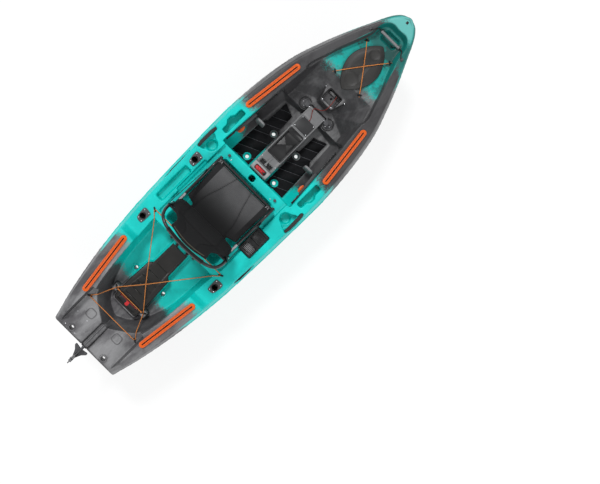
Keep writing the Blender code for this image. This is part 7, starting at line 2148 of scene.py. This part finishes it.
@dataclass
class Rudder:
    """The cambered rudder blade on its round pivot disc, stowed over the stern deck."""

    pivot: tuple = (-1.705, 0.372)
    disc: float = 0.041
    thickness: float = 0.008
    length: float = 0.375

    def build(self) -> None:
        """Builds the blade with its disc's rings."""
        bx, bz = self.pivot
        half = self.thickness / 2
        profile = [(0.0043, -half), (0.012, -half), (0.0125, -half + 0.0006), (0.033, -half + 0.0006), (0.0335, -half),
                   (self.disc - 0.0015, -half), (self.disc, -half + 0.0015), (self.disc, half - 0.0015),
                   (self.disc - 0.0015, half), (0.0335, half), (0.033, half - 0.0006), (0.0125, half - 0.0006),
                   (0.012, half), (0.0043, half)]
        disc = turned("disc", profile, Vector((bx, 0, bz)), Y_AXIS, CHARCOAL, 64, bored=True)
        rings = []
        for k in range(37):
            t = k / 36
            x = bx + 0.030 + (self.length - 0.030) * t
            low = bz - 0.0265 + 0.010 * t * t
            high = bz + 0.020 + 0.016 * math.sin(math.pi * min(t * 1.1, 1.0)) - 0.030 * t**3
            round_off = math.sqrt(max(0.03, 1 - max(0.0, (t - 0.9) / 0.1) ** 2))
            middle, reach = (low + high) / 2, (high - low) / 2 * round_off
            thick = half * (0.9 - 0.35 * t)
            rings.append([Vector((x, thick * math.sin(a), middle + reach * math.cos(a)))
                          for a in (2 * math.pi * i / 32 for i in range(32))])
        mount(gathered("steering_blade", [disc, loft("foil", rings, CHARCOAL, 60)]), "rudder_blade", CHARCOAL,
              "rudder_blade")


@dataclass
class BowGear:
    """The lens-shaped hatch lid and the corded bow handle."""

    top: float = 0.402
    aft: float = 0.932
    fore: float = 1.338
    half: float = 0.122
    anchor: tuple = (1.353, 0.142)
    grip_x: float = 1.408
    grip_half: float = 0.086

    def build(self) -> None:
        """Builds the lid and the handle."""
        base = LINES.bow_deck + GAP
        levels = ((base, 0.002), (base + 0.002, 0.0), (base + 0.012, 0.0), (base + 0.015, 0.0015), (base + 0.0175, 0.005),
                  (base + 0.0185, 0.009), (base + 0.0195, 0.0115), (self.top - 0.006, 0.022), (self.top - 0.003, 0.030),
                  (self.top - 0.001, 0.040), (self.top, 0.052))
        rings = [[Vector((x, y, z)) for x, y in lens(self.aft + inset, self.fore - inset, self.half - inset, 90)]
                 for z, inset in levels]
        lid = loft("hatch_lid", rings, LID_GREY, 30)
        dishes = [turned("dish", ((0.0, -0.0070), (length * 0.5, -0.0064), (length * 0.80, -0.0045), (length, 0.0015),
                                  (length, 0.03)), Vector((x, 0, self.top - 0.002)), Z_AXIS, LID_GREY, 64)
                  for x, length in ((1.020, 0.054), (1.258, 0.042))]
        joined(lid, dishes, Joining.CARVE)
        mount(softened(lid, 0.0014, 2, 28), "bow_hatch", LID_GREY, "bow_hatch_lid")
        self.handle()

    def handle(self) -> None:
        """The ribbed grip on its braided cord."""
        ax, ay = self.anchor
        az, gz = LINES.sheer(ax) + 0.009, LINES.bow_deck + 0.010 + GAP
        x, y = self.grip_x, self.grip_half
        points = [(ax, ay, az), (ax + 0.020, ay - 0.020, az), (x - 0.012, y + 0.026, az - 0.022),
                  (x - 0.002, y + 0.010, gz + 0.016), (x, y, gz + 0.002), (x, y - 0.02, gz)]
        points = [Vector((ax, ay + 0.0132, az))] + smooth_path(points, 8)
        route = points + [Vector((p.x, -p.y, p.z)) for p in reversed(points[:-1])]
        profile = [(0.0078, -y), (0.0095, -y + 0.0015), (0.010, -y + 0.004)]
        for k in range(11):
            run = -y * 0.72 + y * 1.44 * k / 10
            profile += [(0.010, run - 0.002), (0.0092, run - 0.0012), (0.0092, run + 0.0012), (0.010, run + 0.002)]
        profile += [(0.010, y - 0.004), (0.0095, y - 0.0015), (0.0078, y)]
        grip = turned("grip", profile, Vector((x, 0, gz)), Y_AXIS, PEDAL_GREY, 36)
        piece = gathered("bow_grip", [grip, tube("line", route, 0.004, HANDLE_CORD, 16)])
        mount(piece, "bow_handle", CHARCOAL, "bow_handle")
        deck = LINES.sheer(1.556)
        plate = softened(prism("plate", rounded_box(1.546, 1.566, -0.009, 0.009, 0.003), deck - 0.002, deck + 0.003,
                               BLACK), 0.001)
        boss = turned("boss", ((0.0045, 0.002), (0.0045, 0.0045), (0.003, 0.005), (0.0, 0.005)),
                      Vector((1.556, 0, deck)), Z_AXIS, BLACK, 20)
        mount(gathered("bow_socket", [plate, boss]), "hull", BLACK)


@dataclass
class Studio:
    """A pale floor, soft light and the overhead camera, with the bow to the upper right."""

    floor: float = -0.2035
    height: float = 6.86
    focal: float = 56.36
    ambient: float = 0.60
    glow: float = 0.82

    def build(self) -> None:
        """Builds the floor, the lamps, the world and the camera."""
        scene = bpy.context.scene
        scene.view_settings.view_transform = "Standard"
        mesh = bpy.data.meshes.new("floor")
        mesh.from_pydata([(-30, -30, self.floor), (30, -30, self.floor), (30, 30, self.floor), (-30, 30, self.floor)], [],
                         [(0, 1, 2, 3)])
        floor = made("studio_floor", mesh)
        paint = Paint("studio_white")
        paint.set(Base_Color=(0.97, 0.97, 0.97, 1.0), Roughness=0.9)
        glow = paint.node("ShaderNodeEmission", None, {"Color": (1.0, 1.0, 1.0, 1.0), "Strength": 1.0})
        seen = self.seen(paint) * self.glow
        blend = paint.node("ShaderNodeMixShader", None, {0: seen, 1: Signal(paint, paint.shader.outputs[0]), 2: glow})
        output = next(node for node in paint.tree.nodes if node.type == "OUTPUT_MATERIAL")
        paint.feed(output.inputs["Surface"], blend)
        mesh.materials.append(paint.material)
        world = bpy.data.worlds.new("studio")
        world.use_nodes = True
        sky = Paint.of_tree(world.node_tree)
        background = world.node_tree.nodes["Background"]
        background.inputs["Color"].default_value = (0.98, 0.99, 1.0, 1.0)
        sky.feed(background.inputs["Strength"], self.seen(sky) * (1 - self.ambient) + self.ambient)
        scene.world = world
        self.sun("key", (0.30, 0.50, 0.85), 1.95, 12)
        self.sun("fill", (-0.35, -0.65, 0.70), 0.85, 25)
        lens_data = bpy.data.cameras.new("overhead")
        lens_data.sensor_width, lens_data.lens = 36, self.focal
        lens_data.shift_x, lens_data.shift_y = 0.0899, -0.0963
        lens_data.clip_end = 100
        camera = bpy.data.objects.new("overhead", lens_data)
        camera.location = (0, 0, self.height)
        camera.rotation_euler = (0, 0, math.radians(-45))
        scene.collection.objects.link(camera)
        scene.camera = camera

    def seen(self, paint: Paint) -> Signal:
        """One where a ray from the camera, a reflection or a clear piece looks, else zero."""
        node = paint.tree.nodes.new("ShaderNodeLightPath")
        camera, glossy, clear = (Signal(paint, node.outputs[f"Is {kind} Ray"])
                                 for kind in ("Camera", "Glossy", "Transmission"))
        return camera.most(glossy).most(clear)

    def sun(self, name: str, toward: Sequence[float], strength: float, spread: float) -> None:
        """Adds a soft sun that shines from a direction."""
        data = bpy.data.lights.new(name, "SUN")
        data.energy, data.angle = strength, math.radians(spread)
        lamp = bpy.data.objects.new(name, data)
        lamp.rotation_euler = Vector(toward).to_track_quat("Z", "Y").to_euler()
        bpy.context.scene.collection.objects.link(lamp)


def main() -> None:
    """Builds the studio and every sub-assembly in order."""
    logging.basicConfig(level=logging.INFO, format="%(name)s: %(message)s")
    Studio().build()
    hardware = Fasteners()
    hull = Hull()
    hull.build()
    hull.mouldings()
    fittings = Fittings(hardware)
    fittings.build()
    Tracks(hardware).build()
    RodHolders(hardware).build()
    Cords(fittings).build()
    SmallGear().build()
    FootwellPads().build()
    SideHandles().build()
    SpeedControl().build()
    BatteryLid().build()
    Seat(hardware).build()
    Console(hardware).build()
    Motor().build()
    Rudder().build()
    BowGear().build()
    for pattern in (hardware.screw, hardware.bolt):
        forget(pattern)


if __name__ == "__main__":
    main()
